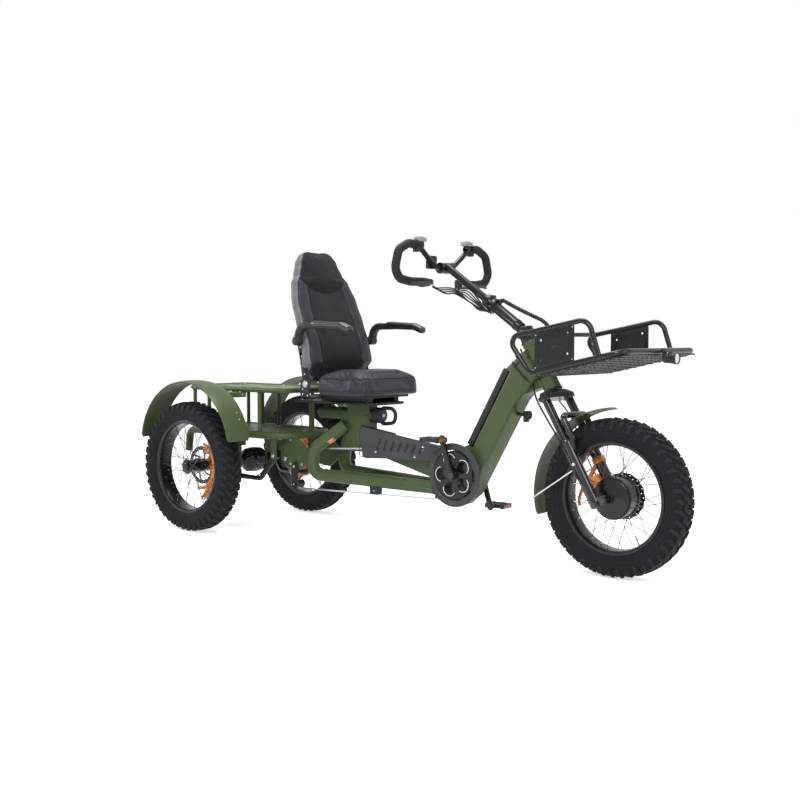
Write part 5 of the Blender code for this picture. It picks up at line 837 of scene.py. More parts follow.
def dress_down_tube():
    keep(OLIVE, "down_tube")
    keep(PLASTIC, "battery_pack")
    keep(OLIVE, "upper_beam")
    end = [(0.0, 0.03), (0.0, 0.0335), (0.003, 0.0352), (0.016, 0.0352), (0.018, 0.0343)]
    head = [(HEAD_BOTTOM + a, r) for a, r in end] + [(HEAD_TOP - a, r) for a, r in reversed(end)]
    origin = steer(0)
    add("head_tube_skin", lathe(head, origin, STEER_UP, 64, True), OLIVE)
    cups = [lathe([(HEAD_BOTTOM + 0.0002, 0.02), (HEAD_BOTTOM + 0.0002, 0.0365),
                   (HEAD_BOTTOM + 0.004, 0.0372), (HEAD_BOTTOM + 0.006, 0.0354),
                   (HEAD_BOTTOM + 0.006, 0.02)], origin, STEER_UP, 64, True),
            lathe([(HEAD_TOP - 0.006, 0.02), (HEAD_TOP - 0.006, 0.0354), (HEAD_TOP - 0.004, 0.0372),
                   (HEAD_TOP, 0.0365), (HEAD_TOP, 0.02)], origin, STEER_UP, 64, True)]
    add("head_cups", cups, BLACK)
    horn = [cylinder(vec(0.5515, 0, 0.592), vec(0.592, 0, 0.589), 0.007, 0.001, 20),
            block(vec(0.586, -0.012, 0.562), vec(0.603, 0.012, 0.606), 0.004, 3),
            lathe([(0, 0), (0, 0.015), (0.004, 0.0175), (0.008, 0.0175), (0.0095, 0.015),
                   (0.006, 0.01), (0.006, 0)], vec(0.6025, 0, 0.59), FORWARD, 36)]
    add("horn", horn, PLASTIC)
    wires = []
    for knots in (((0.56, -0.05, 0.8), (0.5765, -0.0585, 0.7843), (0.6, -0.059, 0.7613),
                   (0.628, -0.059, 0.736), (0.645, -0.05, 0.72)),
                  ((0.565, -0.05, 0.775), (0.585, -0.059, 0.79), (0.606, -0.059, 0.805),
                   (0.63, -0.04, 0.822))):
        wires.append(cable([Vector(knot) for knot in knots], 0.0027, 12))
    add("down_tube_wires", wires, GRIP)
    shells = [lathe(sided([(0.055, 0.0235), (0.058, 0.0235), (0.0585, 0.0215), (0.0585, 0.0115),
                           (0.055, 0.0115)], side), CRANK, LEFT, 48, True) for side in BOTH]
    add("bottom_bracket_cups", shells, DARK)


def hull_line(circles, samples=240):
    """Outline of a belt round the circles, as side-view points in order."""
    cloud = []
    for centre, radius in circles:
        cloud += [centre + polar(turn, radius) for turn in turns(samples)]
    cloud.sort(key=lambda p: (p.x, p.z))

    def half(points):
        chain = []
        for point in points:
            while len(chain) > 1:
                a, b = chain[-1] - chain[-2], point - chain[-2]
                if a.x * b.z - a.z * b.x > 0:
                    break
                chain.pop()
            chain.append(point)
        return chain[:-1]

    return half(cloud) + half(cloud[::-1])


def resample(points, count):
    """Closed path cut into equal steps."""
    ring = points + [points[0]]
    lengths = [(b - a).length for a, b in zip(ring, ring[1:])]
    total = sum(lengths)
    result, place, index = [], 0.0, 0
    for step in range(count):
        target = total * step / count
        while place + lengths[index] < target:
            place += lengths[index]
            index += 1
        share = (target - place) / lengths[index]
        result.append(ring[index].lerp(ring[index + 1], share))
    return result


def round_end(centre, way, across, radius, first, last, steps):
    """Arc of a flat piece's outline, from one angle to another in degrees."""
    angles = [math.radians(first + (last - first) * step / steps) for step in range(steps + 1)]
    return [centre + way * radius * math.cos(a) + across * radius * math.sin(a) for a in angles]


def link_plate(start, end, low_y, high_y):
    """Chain plate: two round ends with a waist between them."""
    way = (end - start).normalized()
    rise = way.cross(LEFT)
    middle = start + way * (end - start).length / 2
    waist = rise * LINK_RADIUS * 0.66
    outline = round_end(end, way, rise, LINK_RADIUS, -60, 60, 6) + [middle + waist]
    outline += round_end(start, way, rise, LINK_RADIUS, 120, 240, 6) + [middle - waist]
    return plate(outline, low_y, high_y - low_y)


def dress_chain():
    line = hull_line([(CRANK, 0.1068), (CASSETTE, 0.044), (PULLEY, 0.022)])
    length = sum((b - a).length for a, b in zip(line, line[1:] + line[:1]))
    count = 2 * round(length / LINK_PITCH / 2)
    pins = resample(line, count)
    plates, rollers = [], []
    for index, pin in enumerate(pins):
        after = pins[(index + 1) % count]
        offset = 0.003 if index % 2 else 0.002
        for side in BOTH:
            inner = CHAIN_Y + side * offset
            plates.append(link_plate(pin, after, *sorted((inner, inner + side * 0.0009))))
        for half, radius, steps in ((0.004, 0.0017, 8), (0.0018, 0.0037, 10)):
            rollers.append(disc(pin, radius, CHAIN_Y - half, CHAIN_Y + half, 0.0003, steps))
    add("chain_links", plates, STEEL, replaces=["chain"], angle=30)
    add("chain_rollers", rollers, DARK)


def dress_cassette():
    parts = [toothed(CASSETTE, 0.0425, 21, CHAIN_Y - 0.0012, CHAIN_Y + 0.0012, 0.0045),
             toothed(CASSETTE, 0.0525, 26, -0.0605, -0.0581, 0.0045),
             disc(CASSETTE, 0.036, -0.0645, -0.0615, 0.0004, 48),
             disc(CASSETTE, 0.033, -0.0575, -0.042, 0.0015, 48),
             disc(CASSETTE, 0.0235, -0.042, -0.04, 0.0008, 48),
             disc(CASSETTE, 0.01, -0.0975, 0.0975, 0.0008, 32),
             disc(CASSETTE, 0.017, -0.074, -0.069, 0.001, 32)]
    add("cassette_sprockets", parts, STEEL, replaces=["cassette"])
    for side in BOTH:
        side_bolt(CASSETTE, side, 0.1042, 0.0085, head="hex")


def dress_derailleur():
    keep(BLACK, "derailleur")
    keep(PLASTIC, "idler")
    parts = [toothed(PULLEY, 0.0205, 11, CHAIN_Y - 0.0013, CHAIN_Y + 0.0013, 0.0048),
             disc(PULLEY, 0.01, -0.078, CHAIN_Y + 0.004, 0.001, 24)]
    add("derailleur_pulley", parts, PLASTIC)
    bolt(side_at(PULLEY, -0.1135), -LEFT, 0.0038)
    bolt(at(0.398, -0.1135, 0.305), -LEFT, 0.0048, head="hex")
    for x in (0.846, 0.87):
        bolt(at(x, -0.0905, 0.232), -LEFT, 0.003)


def crank_arm(side):
    """Forged arm with round ends and a dust cap, and a ring round the pedal eye."""
    tip = CRANK - polar(CRANK_ANGLE, CRANK_LENGTH) * side
    way = (tip - CRANK).normalized()
    across = way.cross(LEFT)
    waist = ((0.16, 0.0128), (0.5, 0.0108), (0.84, 0.0106))
    outline = round_end(CRANK, way, across, 0.0182, 100, 260, 12)
    outline += [CRANK + (tip - CRANK) * share - across * half for share, half in waist]
    outline += round_end(tip, way, across, 0.0146, -80, 80, 12)
    outline += [CRANK + (tip - CRANK) * share + across * half for share, half in waist[::-1]]
    arm = plate(outline, side * 0.104 - 0.007, 0.014, 0.0022, 3)
    cap = lathe(sided([(0, 0), (0, 0.0125), (0.001, 0.0125), (0.0022, 0.0108), (0.0018, 0.006),
                       (0.0018, 0.0)], side), side_at(CRANK, side * 0.1108), LEFT, 32)
    eye = lathe(sided([(0, 0.0045), (0, 0.0085), (0.0012, 0.0085), (0.0014, 0.0045)], side),
                side_at(tip, side * 0.1108), LEFT, 28, True)
    return arm, [cap, eye]


def dress_crank():
    body = "crank_body"
    ring = toothed(CRANK, 0.1015, 52, CHAIN_Y - 0.0014, CHAIN_Y + 0.0014, 0.0046)
    between = [CRANK_ANGLE + turn for turn in turns(5, 0.5)]
    ring = cut_by(ring, [disc(CRANK + polar(angle, 0.063), 0.021, -0.08, -0.05, 0, 32)
                         for angle in between])
    cover = disc(CRANK, 0.098, -0.0915, -0.0875, 0.0008, 128)
    petals, trims = [], []
    for angle in [CRANK_ANGLE + turn for turn in turns(5)]:
        middle = CRANK + polar(angle, 0.0588)
        outline = []
        for turn in turns(48):
            reach = 0.0262 * (1 + 0.1 * math.cos(2 * (turn - angle)))
            outline.append(side_at(middle + polar(turn, reach), -0.095))
        petals.append(prism(outline, LEFT * 0.012))
        arc = [middle + polar(angle + math.radians(-80 + 160 * step / 24), 0.0305)
               for step in range(25)]
        trims.append(sweep([side_at(p, -0.0916) for p in arc], 0.0014, 8))
    cover = cut_by(cover, petals)
    lip = lathe([(-0.0915, 0.095), (-0.0925, 0.0958), (-0.0925, 0.0978), (-0.0912, 0.0986),
                 (-0.088, 0.0986), (-0.088, 0.095)], CRANK, LEFT, 128, True)
    hub = [disc(CRANK, 0.018, -0.097, -0.064, 0.001, 48),
           disc(CRANK, 0.0098, -0.105, 0.105, 0.001, 32),
           disc(CRANK, 0.0165, 0.06, 0.097, 0.001, 48)]
    arms, caps = [], []
    for side in BOTH:
        arm, covers = crank_arm(side)
        arms.append(arm)
        caps += covers
    add("chainring", ring, DARK, body, replaces=["crank_set"], angle=30)
    add("crank_arms", arms + [cover, lip] + hub, BLACK, body)
    add("crank_caps", caps, DARK, body)
    add("guard_disc_trim", trims, WHITE, body)
    for angle in between:
        bolt(side_at(CRANK + polar(angle, 0.036), -0.0915), -LEFT, 0.0042, body)


def dress_pedal(label, side):
    body = "pedal_body_" + label
    low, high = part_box("pedal_" + label)
    middle = (low + high) / 2
    inner, outer = (low.y + 0.014, high.y) if side > 0 else (low.y, high.y - 0.014)
    half_x = (high.x - low.x) / 2
    rails, teeth = [], []
    for end in BOTH:
        x = middle.x + end * (half_x - 0.0055)
        rails.append(block(vec(x - 0.0052, inner, middle.z - 0.0095),
                           vec(x + 0.0052, outer, middle.z + 0.0095), 0.0022, 3))
        for index in range(7):
            y = inner + (outer - inner) * (index + 0.5) / 7
            for rise in BOTH:
                base = vec(x, y, middle.z + rise * 0.0092)
                teeth.append(lathe([(0, 0), (0, 0.0026), (rise * 0.0014, 0.0019),
                                    (rise * 0.0014, 0)], base, UP, 8))
    for y in (inner + 0.006, outer - 0.006):
        long = half_x - 0.004
        corners = ((-long, -0.0075), (long, -0.0075), (long, 0.0075), (0.014, 0.01), (-0.014, 0.01),
                   (-long, 0.0075))
        outline = [middle + vec(x, 0, z) for x, z in corners]
        rails.append(plate(outline, y - 0.0058, 0.0116, 0.002, 2))
    core = cylinder(vec(middle.x, inner + 0.002, middle.z), vec(middle.x, outer - 0.002, middle.z),
                    0.01, 0.0015, 28)
    webs = []
    for index in range(1, 4):
        y = inner + (outer - inner) * index / 4
        webs.append(block(vec(middle.x - half_x + 0.006, y - 0.0014, middle.z - 0.007),
                          vec(middle.x + half_x - 0.006, y + 0.0014, middle.z + 0.007), 0.0006, 2))
    add("pedal_cage_" + label, rails + [core] + webs + teeth, PLASTIC, body,
        replaces=["pedal_" + label])
    start = vec(middle.x, inner + 0.004 if side > 0 else outer - 0.004, middle.z)
    add("pedal_axle_" + label, [cylinder(start - LEFT * side * 0.0176, start, 0.0068, 0.0006, 24),
                                cylinder(start - LEFT * side * 0.014, start - LEFT * side * 0.01,
                                         0.0085, 0.0005, 6)], STEEL, body)
    lenses = []
    for end in BOTH:
        x = middle.x + end * (half_x - 0.0006)
        y = (inner + outer) / 2
        lenses.append(block(vec(x - 0.001, y - 0.022, middle.z - 0.0062),
                            vec(x + 0.001, y + 0.022, middle.z + 0.0062), 0.0006, 2))
    add("pedal_reflectors_" + label, lenses, AMBER, body)


def guard_edge(share, top):
    """Place on the upper or lower edge of the chain guard, from its rear to its front."""
    rear, front = (0.508, 0.452) if top else (0.368, 0.392)
    return at(0.78 + (1.215 - 0.78) * share, 0, rear + (front - rear) * share)


def dress_chain_guard():
    keep(GUARD, "chain_guard")
    round_line = [side_at(CRANK + polar(turn, 0.1048), -0.0868) for turn in turns(160)]
    outer = [side_at(CRANK + polar(turn, 0.1292), -0.0868) for turn in turns(160)]
    outer = [p for p in outer if (side_at(p, 0) - CRANK).angle(-FORWARD) > math.radians(38)
             or p.x > CRANK.x]
    start = next(i for i, p in enumerate(outer) if (outer[i - 1] - p).length > 0.02)
    parts = [sweep(round_line, 0.0016, 10, True), sweep(outer[start:] + outer[:start], 0.002, 8)]
    top = [side_at(guard_edge(share, True), GUARD_Y) for share in (1.0, 0.5)]
    corner = side_at(guard_edge(0.0, True), GUARD_Y) + vec(0.001, 0, -0.001)
    nose = at(0.7803, GUARD_Y, 0.376)
    low = [side_at(guard_edge(share, False), GUARD_Y) for share in (0.5, 1.0)]
    parts.append(sweep(round_path(top + [corner, nose] + low, 0.01, 6), 0.0018, 10))
    add("chain_guard_lip", parts, GUARD)
    # The black sheet just inside the guard's face is painted shade: it darkens the slots in place
    # of the shade within the guard. The black lid strip along the top goes with it.
    sheet = [guard_edge(share, True) - UP * 0.012 for share in (0.12, 0.8)]
    sheet += [guard_edge(share, False) + UP * 0.012 for share in (0.8, 0.12)]
    slot_shade_sheet = plate(sheet, -0.0832, 0.0012)
    lid = smooth_path([side_at(guard_edge(share, True), -0.078) for share in (0.02, 0.2, 0.46)], 8)
    add("chain_guard_slot_shade_and_lid", [slot_shade_sheet, sweep(lid, 0.0062, 14)], BLACK)
    for share in (0.22, 0.72):
        edge = guard_edge(share, False)
        beam_low = 0.39 + (0.296 - 0.39) * (edge.x - at(0.785, 0, 0).x) / (1.17 - 0.785)
        z = edge.z + (beam_low + 0.1 - edge.z) * 0.3
        bolt(vec(edge.x, GUARD_Y, z), -LEFT, 0.0052)


def dress_mast():
    keep(OLIVE, "seat_mast")
    centre = at(0.468, 0, MAST_Z)
    barrel = lathe([(-0.0115, 0), (-0.0112, 0.008), (-0.0095, 0.015), (-0.0062, 0.0215),
                    (-0.001, 0.0262), (0.004, 0.0274), (0.326, 0.0274), (0.331, 0.0268),
                    (0.3318, 0.02), (0.3318, 0)], centre, FORWARD, 64)
    add("mast_barrel", barrel, OLIVE)
    beads = [weld_bead(at(x, 0, MAST_Z), FORWARD, 0.0278, 0.0018) for x in (0.606, 0.782)]
    add("mast_welds", beads, OLIVE)
    start = at(0.8003, 0, MAST_Z)
    profile = [(0.0, 0.028), (0.0, 0.0325), (0.0015, 0.034), (0.037, 0.034), (0.0395, 0.032),
               (0.04, 0.026), (0.04, 0.012), (0.043, 0.011), (0.043, 0)]
    clamp = [lathe(profile, start, FORWARD, 64)]
    for angle in turns(28):
        way = vec(0, math.cos(angle), math.sin(angle))
        clamp.append(sweep([start + FORWARD * 0.004 + way * 0.0338,
                            start + FORWARD * 0.036 + way * 0.0338], 0.0014, 6))
    bar = 0.0082
    rear_x, front_x = 0.8403 - bar, 0.8403 + 0.074
    low, high = MAST_Z - 0.038, 0.6 - 0.014
    corners = line_at(((rear_x, low), (front_x, low + bar), (front_x, high), (rear_x, high)))
    loop = closed_round_path(corners, 0.03, 10)
    clamp.append(sweep(loop, bar, 24, True))
    add("slide_handle_loop", clamp, PLASTIC, replaces=["seat_slide_handle"])
    bolt(at(0.8435, 0, MAST_Z), FORWARD, 0.006, head="hex")


# Rear frame
def deck_line():
    left = line_at((DECK_FOOT, (-0.262, DECK_Z), (0.395, DECK_Z)), DECK_Y)
    right = [side_at(point, -DECK_Y) for point in reversed(left)]
    bends = round_path(left[:2] + [(left[1] + left[2]) / 2], 0.04, 10)
    front = round_path([(left[1] + left[2]) / 2, left[2], right[0], (right[0] + right[1]) / 2],
                       0.13, 18)
    tail = [side_at(point, -point.y) for point in reversed(bends)]
    return bends[:-1] + front + tail[1:]


def dress_deck():
    keep(OLIVE, "deck_frame")
    add("deck_ring", sweep(deck_line(), 0.0173, 36), OLIVE)
    plug = [(0.0, 0), (0.0, 0.0165), (-0.001, 0.0174), (-0.003, 0.0174), (-0.005, 0.015),
            (-0.005, 0)]
    foot, bend = line_at((DECK_FOOT, (-0.262, DECK_Z)))
    way = (bend - foot).normalized()
    add("deck_plugs", [lathe(plug, side_at(foot, side * DECK_Y), way, 32) for side in BOTH],
        PLASTIC)
    for side in BOTH:
        for x in (-0.021, 0.021):
            for z in (0.425, 0.352):
                side_bolt(at(x, 0, z), side, 0.1182, 0.0052, head="hex")
        for x, z in ((0.368, 0.315), (0.368, 0.425), (0.3, 0.425), (0.44, 0.315)):
            side_bolt(at(x, 0, z), side, 0.1042, 0.0048, head="hex")
        side_bolt(at(0.322, 0, 0.352), side, 0.1725, 0.006, head="hex")
        for x in (-0.2, 0.06, 0.3):
            bolt(at(x, side * 0.12, 0.4572), UP, 0.0042)
    seams = [weld_bead(at(0.395, 0, DECK_Z) + UP * 0.0175, UP, 0.01, 0.0016)]
    for x in POST_X:
        for side in BOTH:
            for z, radius, bead in ((0.4622, 0.01, 0.0016), (RACK_Z - RACK_RADIUS, 0.0098, 0.0015)):
                seams.append(weld_bead(at(x, side * POST_Y, z), UP, radius, bead))
    add("post_welds", seams, OLIVE)


def dress_rack():
    keep(OLIVE, "rear_rack")
    corners = line_at(((-0.27, RACK_Z), (0.392, RACK_Z)), DECK_Y)
    corners += [side_at(point, -DECK_Y) for point in reversed(corners)]
    parts = [sweep(closed_round_path(corners, 0.05, 12), RACK_RADIUS + SKIN, 32, True)]
    for x in POST_X:
        for side in BOTH:
            y = side * POST_Y
            parts.append(sweep([at(x, y, 0.459), at(x, y, RACK_Z - 0.005)], 0.0091, 28))
    add("rack_tubes", parts, OLIVE)
    for x in (-0.225, 0.062, 0.345):
        for side in BOTH:
            bolt(at(x, side * 0.148, RACK_Z + RACK_RADIUS / 2), UP, 0.0042)
    lamp = box_on(at(-0.2815, 0, RACK_Z), (-0.0042, -0.04, -0.0105), (0.0004, 0.04, 0.0105), 0.0018,
                  3)
    add("rear_reflector", lamp, RED)


def dress_axle():
    half = [(0.2985, 0.0), (0.2985, 0.016), (0.296, 0.017), (0.2705, 0.017), (0.27, 0.0255),
            (0.266, 0.029), (0.25, 0.029), (0.246, 0.0262), (0.076, 0.0262), (0.07, 0.029),
            (0.056, 0.042), (0.043, 0.054), (0.04, 0.0562), (0.018, 0.0562), (0.0165, 0.059),
            (0.002, 0.059), (0.001, 0.058), (0.0, 0.058)]
    parts = [lathe(mirrored(half), REAR_HUB, LEFT, 96)]
    for angle in turns(12, 0.5):
        start = side_at(REAR_HUB + polar(angle, 0.0555), -0.0165)
        parts.append(cylinder(start, start + LEFT * 0.033, 0.0042, 0.0008, 14))
        for side in BOTH:
            side_bolt(REAR_HUB + polar(angle, 0.0555), side, 0.0165, 0.003, head="hex")
    for angle in turns(8):
        for side in BOTH:
            parts.append(sweep([side_at(REAR_HUB + polar(angle, 0.033), side * 0.066),
                                side_at(REAR_HUB + polar(angle, 0.054), side * 0.0415)], 0.0022, 8))
    for y in (-0.15, 0.15):
        knots = line_at(((0.0, AXLE_Z), (0.04, 0.238), (0.215, 0.238), (0.322, 0.352)), y)
        parts.append(sweep(round_path(knots, 0.03, 10), 0.0113, 28))
        parts.append(disc(knots[-1], 0.0156, y - 0.013, y + 0.013, 0.0012, 40))
        parts.append(disc(REAR_HUB, 0.0315, y - 0.017, y + 0.017, 0.0015, 56))
    add("axle_case", parts, BLACK, replaces=["axle_housing"])
    for label, side in SIDES.items():
        keep(ORANGE, "rear_caliper_" + label)
        for angle, radius in ((66, 0.09), (44, 0.09), (-25, 0.054)):
            y = side * (0.3385 if angle > 0 else 0.3085)
            bolt(side_at(REAR_HUB + polar(math.radians(angle), radius), y), LEFT * side, 0.0034)
        band = [side_at(REAR_HUB + polar(math.radians(72 - 168 * step / 28), 0.106), side * 0.337)
                for step in range(29)]
        radii = [0.007 + 0.003 * math.sin(math.pi * step / 28) for step in range(29)]
        add("rear_brake_arm_" + label, sweep(band, radii, 14), ORANGE)
        end = REAR_HUB + polar(math.radians(-98), 0.155)
        path = [side_at(end, side * 0.296), side_at(end + vec(0.02, 0, 0.03), side * 0.27),
                at(0.06, side * 0.215, 0.262), at(0.12, side * 0.166, 0.252),
                at(0.215, side * 0.163, 0.255), at(0.3, side * 0.163, 0.345),
                at(0.33, side * 0.166, 0.42)]
        add("rear_brake_cable_" + label, cable(path, BRAKE_CABLE, 12), GRIP)
        way = vec(0.004, 0, 0.006)
        stop = cylinder(path[0] - way, path[0] + way * 2, 0.0042, 0.0006, 16)
        add("rear_cable_stop_" + label, stop, STEEL)


# Fork and tiller
def dress_fork():
    body = "steering_body"
    keep(BLACK, "fork_crown")
    keep(GLOSS, "fork_lowers")
    crown_low = HEAD_BOTTOM - 0.002 - 0.034
    skins, seals, legs, nuts = [], [], [], []
    for side in BOTH:
        y = side * LEG_Y
        foot = steer(0, 0, y)
        skins.append(lathe([(-0.013, 0), (-0.0128, 0.012), (-0.0105, 0.018), (-0.005, 0.021),
                            (0.02, 0.0213), (0.21, 0.0213), (0.213, 0.0222), (0.25, 0.0222),
                            (0.254, 0.024), (0.268, 0.024), (LOWER_TOP, 0.0225), (LOWER_TOP, 0.0)],
                           foot, STEER_UP, 56))
        seals.append(lathe([(LOWER_TOP, 0.0166), (LOWER_TOP, 0.0205), (0.2712, 0.0212),
                            (0.274, 0.0206), (0.2752, 0.0175), (0.2752, 0.0166)], foot, STEER_UP,
                           48, True))
        legs.append(lathe([(0.2722, 0), (0.2722, 0.0163), (crown_low + 0.004, 0.0163),
                           (crown_low + 0.004, 0)], foot, STEER_UP, 56))
        skins.append(lathe([(crown_low - 0.002, 0.0168), (crown_low - 0.002, 0.0196),
                            (crown_low + 0.001, 0.0206), (crown_low + 0.01, 0.0206),
                            (crown_low + 0.012, 0.0168)], foot, STEER_UP, 48, True))
        top = steer(crown_low + 0.0285, 0, y)
        seals.append(lathe([(-0.006, 0), (-0.006, 0.0148), (0.0, 0.0148), (0.0024, 0.0134),
                            (0.0028, 0.007), (0.0012, 0.0066), (0.0012, 0)], top, STEER_UP, 36))
        nut = steer(0, FORK_OFFSET, y + side * 0.0135)
        seals.append(cylinder(nut, nut + LEFT * side * 0.0012, 0.013, 0.0004, 32))
        nuts.append(lathe(sided([(0, 0), (0, 0.0105), (0.007, 0.0105), (0.0082, 0.009),
                                 (0.0082, 0)], side), nut + LEFT * side * 0.0012, LEFT, 6))
        nuts.append(lathe(sided([(0.008, 0), (0.008, 0.0058), (0.011, 0.005), (0.011, 0)], side),
                          nut + LEFT * side * 0.0012, LEFT, 24))
        bolt(steer(crown_low + 0.014, 0.019, side * 0.066), STEER_AHEAD, 0.0042, body)
        bolt(steer(0.06, 0.0205, y), STEER_AHEAD, 0.003, body)
    low = LOWER_TOP - 0.021
    bend = [steer(low - 0.024, 0.012, -LEG_Y), steer(low + 0.012, ARCH_AHEAD, -LEG_Y),
            steer(0.356, ARCH_AHEAD, -LEG_Y)]
    path = round_path(bend + [side_at(p, -p.y) for p in reversed(bend)], 0.021, 10)
    skins.append(sweep(path, 0.0123, 32))
    rib = [p + STEER_AHEAD * 0.0112 for p in path[12:-12]]
    skins.append(sweep(rib, 0.0042, 12))
    add("fork_leg_skins", skins, GLOSS, body)
    add("fork_stanchions", legs, GLOSS, body)
    add("fork_nuts", nuts, DARK, body)
    add("fork_seals", seals, PLASTIC, body)
    race = cylinder(steer(HEAD_BOTTOM - 0.004), steer(HEAD_BOTTOM + 0.004), 0.029, 0.001, 48)
    add("crown_race", race, DARK, body)
    lens = []
    for side in BOTH:
        place, half = steer(0.17, 0, side * (LEG_Y + 0.0213)), LEFT * side * 0.003
        lens.append(cylinder(place - half, place + half, 0.006, 0.001, 28))
    add("leg_reflectors", lens, LENS, body)


def dress_front_caliper():
    keep(ORANGE, "front_caliper")
    body = "steering_body"
    low, high = 0.0495, 0.1195
    for along in (low + 0.012, high - 0.012):
        bolt(steer(along, -0.036, 0.0942), LEFT, 0.004, body)
    bolt(steer(low + 0.01, -0.05, 0.0735), LEFT, 0.004, body, "hex")
    knots = [(0.176, 0.006, 0.08), (0.15, -0.03, 0.079), (0.125, -0.072, 0.078),
             (0.103, -0.115, 0.077), (0.078, -0.145, 0.076), (0.052, -0.16, 0.075)]
    reach = smooth_path(steer_line(*knots), 6)
    widths = [0.0095 - 0.0035 * step / (len(reach) - 1) for step in range(len(reach))]
    collar = lathe([(0.158, 0.0225), (0.158, 0.0246), (0.16, 0.0255), (0.179, 0.0255),
                    (0.181, 0.0246), (0.181, 0.0225)], steer(0, 0, LEG_Y), STEER_UP, 48, True)
    add("front_caliper_arm", [sweep(reach, widths, 14), collar], ORANGE, body)
    path = steer_line((high - 0.002, -0.04, 0.086), (high + 0.05, -0.046, 0.088),
                      (0.27, -0.04, 0.092), (0.38, -0.034, 0.09), (0.47, -0.044, 0.07),
                      (0.56, -0.052, 0.03), (0.64, -0.046, 0.016), (0.69, -0.044, 0.014))
    add("front_brake_cable", cable(path, BRAKE_CABLE, 12), GRIP, body)
    tie = ring_bar(steer(0.245, 0, LEG_Y), STEER_UP, 0.0247, 0.0012)
    motor = steer_line((-0.004, FORK_OFFSET - 0.004, -0.07), (0.06, 0.01, -0.096),
                       (0.15, -0.01, -0.1075), (0.28, -0.01, -0.1065), (0.38, -0.026, -0.094),
                       (0.47, -0.046, -0.066), (0.56, -0.052, -0.026), (0.69, -0.046, -0.014))
    add("motor_cable", [cable(motor, 0.0034, 12), tie], GRIP, body)


def dress_tiller():
    body = "steering_body"
    foot = TILLER_FOOT
    along = (TILLER_TOP - foot).normalized()
    length = (TILLER_TOP - foot).length
    block_low = HEAD_TOP + 0.002
    post = [lathe([(0, 0), (0, 0.032), (0.0018, 0.0334), (0.012, 0.0334), (0.0135, 0.0318),
                   (0.0165, 0.0318), (0.018, 0.0334), (0.048, 0.0334), (0.0502, 0.0312),
                   (0.0502, 0)], steer(block_low), STEER_UP, 64),
            disc(foot, 0.0222, -0.03, 0.03, 0.0018, 56),
            disc(foot, 0.0245, -0.012, 0.012, 0.0012, 56)]
    add("tiller_knuckle", post, BLACK, body, replaces=["tiller_joint"])
    for side in BOTH:
        side_bolt(foot, side, 0.0302, 0.0085, body, "hex")
        bolt(steer(block_low + 0.03, -0.0332, side * 0.011), -STEER_AHEAD, 0.0044, body)
    start = 0.024
    first, last = 0.36 * length, 0.48 * length
    profile = [(start, 0), (start, 0.021), (start + 0.001, 0.0222), (0.04, 0.0222), (0.042, 0.0236),
               (0.056, 0.0236), (0.058, 0.0222), (first - 0.001, 0.0222), (first, 0.027),
               (first + 0.002, 0.029), (first + 0.016, 0.029), (first + 0.018, 0.0276),
               (first + 0.022, 0.0276), (first + 0.024, 0.029), (last - 0.01, 0.029),
               (last - 0.004, 0.025), (last, 0.0235), (last, 0.0157), (length - 0.02, 0.0157),
               (length, 0.0157), (length, 0)]
    tube = lathe(profile, foot, along, 64)
    centre = at(BAR_X, 0, BAR_Z - 0.08 * BAR_TALL)
    clamp = lathe([(-0.03, 0.0117), (-0.03, 0.0215), (-0.0288, 0.023), (-0.006, 0.023),
                   (-0.005, 0.0222), (0.005, 0.0222), (0.006, 0.023), (0.0288, 0.023),
                   (0.03, 0.0215), (0.03, 0.0117)], centre, LEFT, 64, True)
    across = along.cross(LEFT).normalized()
    collar_bolts = []
    for offset in (first + 0.008, last - 0.022):
        seat = foot + along * offset - across * 0.027
        collar_bolts.append(cylinder(seat + LEFT * -0.014, seat + LEFT * 0.014, 0.0064, 0.001, 24))
        bolt(seat - LEFT * 0.0142, -LEFT, 0.0042, body, "hex")
        bolt(seat + LEFT * 0.0142, LEFT, 0.0042, body, "hex")
    lever_foot = foot + along * ((first + last) / 2) - LEFT * 0.03
    collar_bolts.append(cylinder(lever_foot, lever_foot - LEFT * 0.012, 0.008, 0.0012, 28))
    quick = [lever_foot - LEFT * 0.009, lever_foot - LEFT * 0.012 + along * 0.02 - across * 0.004,
             lever_foot - LEFT * 0.009 + along * 0.058 - across * 0.01]
    collar_bolts.append(cable(quick, [0.0045] * 4 + [0.004] * 8 + [0.0034] * 5, 16))
    add("tiller_tube", [tube, clamp] + collar_bolts, BLACK, body, replaces=["tiller"])
    for y in (-0.021, 0.021):
        for rise in BOTH:
            seat = centre + vec(-0.0222, y, rise * 0.012)
            bolt(seat + vec(0.004, 0, 0), -FORWARD, 0.0036, body)


# Handlebar
def bar_points(shares, side=1):
    return [at(BAR_X, side * BAR_HALF * y, BAR_Z + BAR_TALL * z) for y, z in shares]


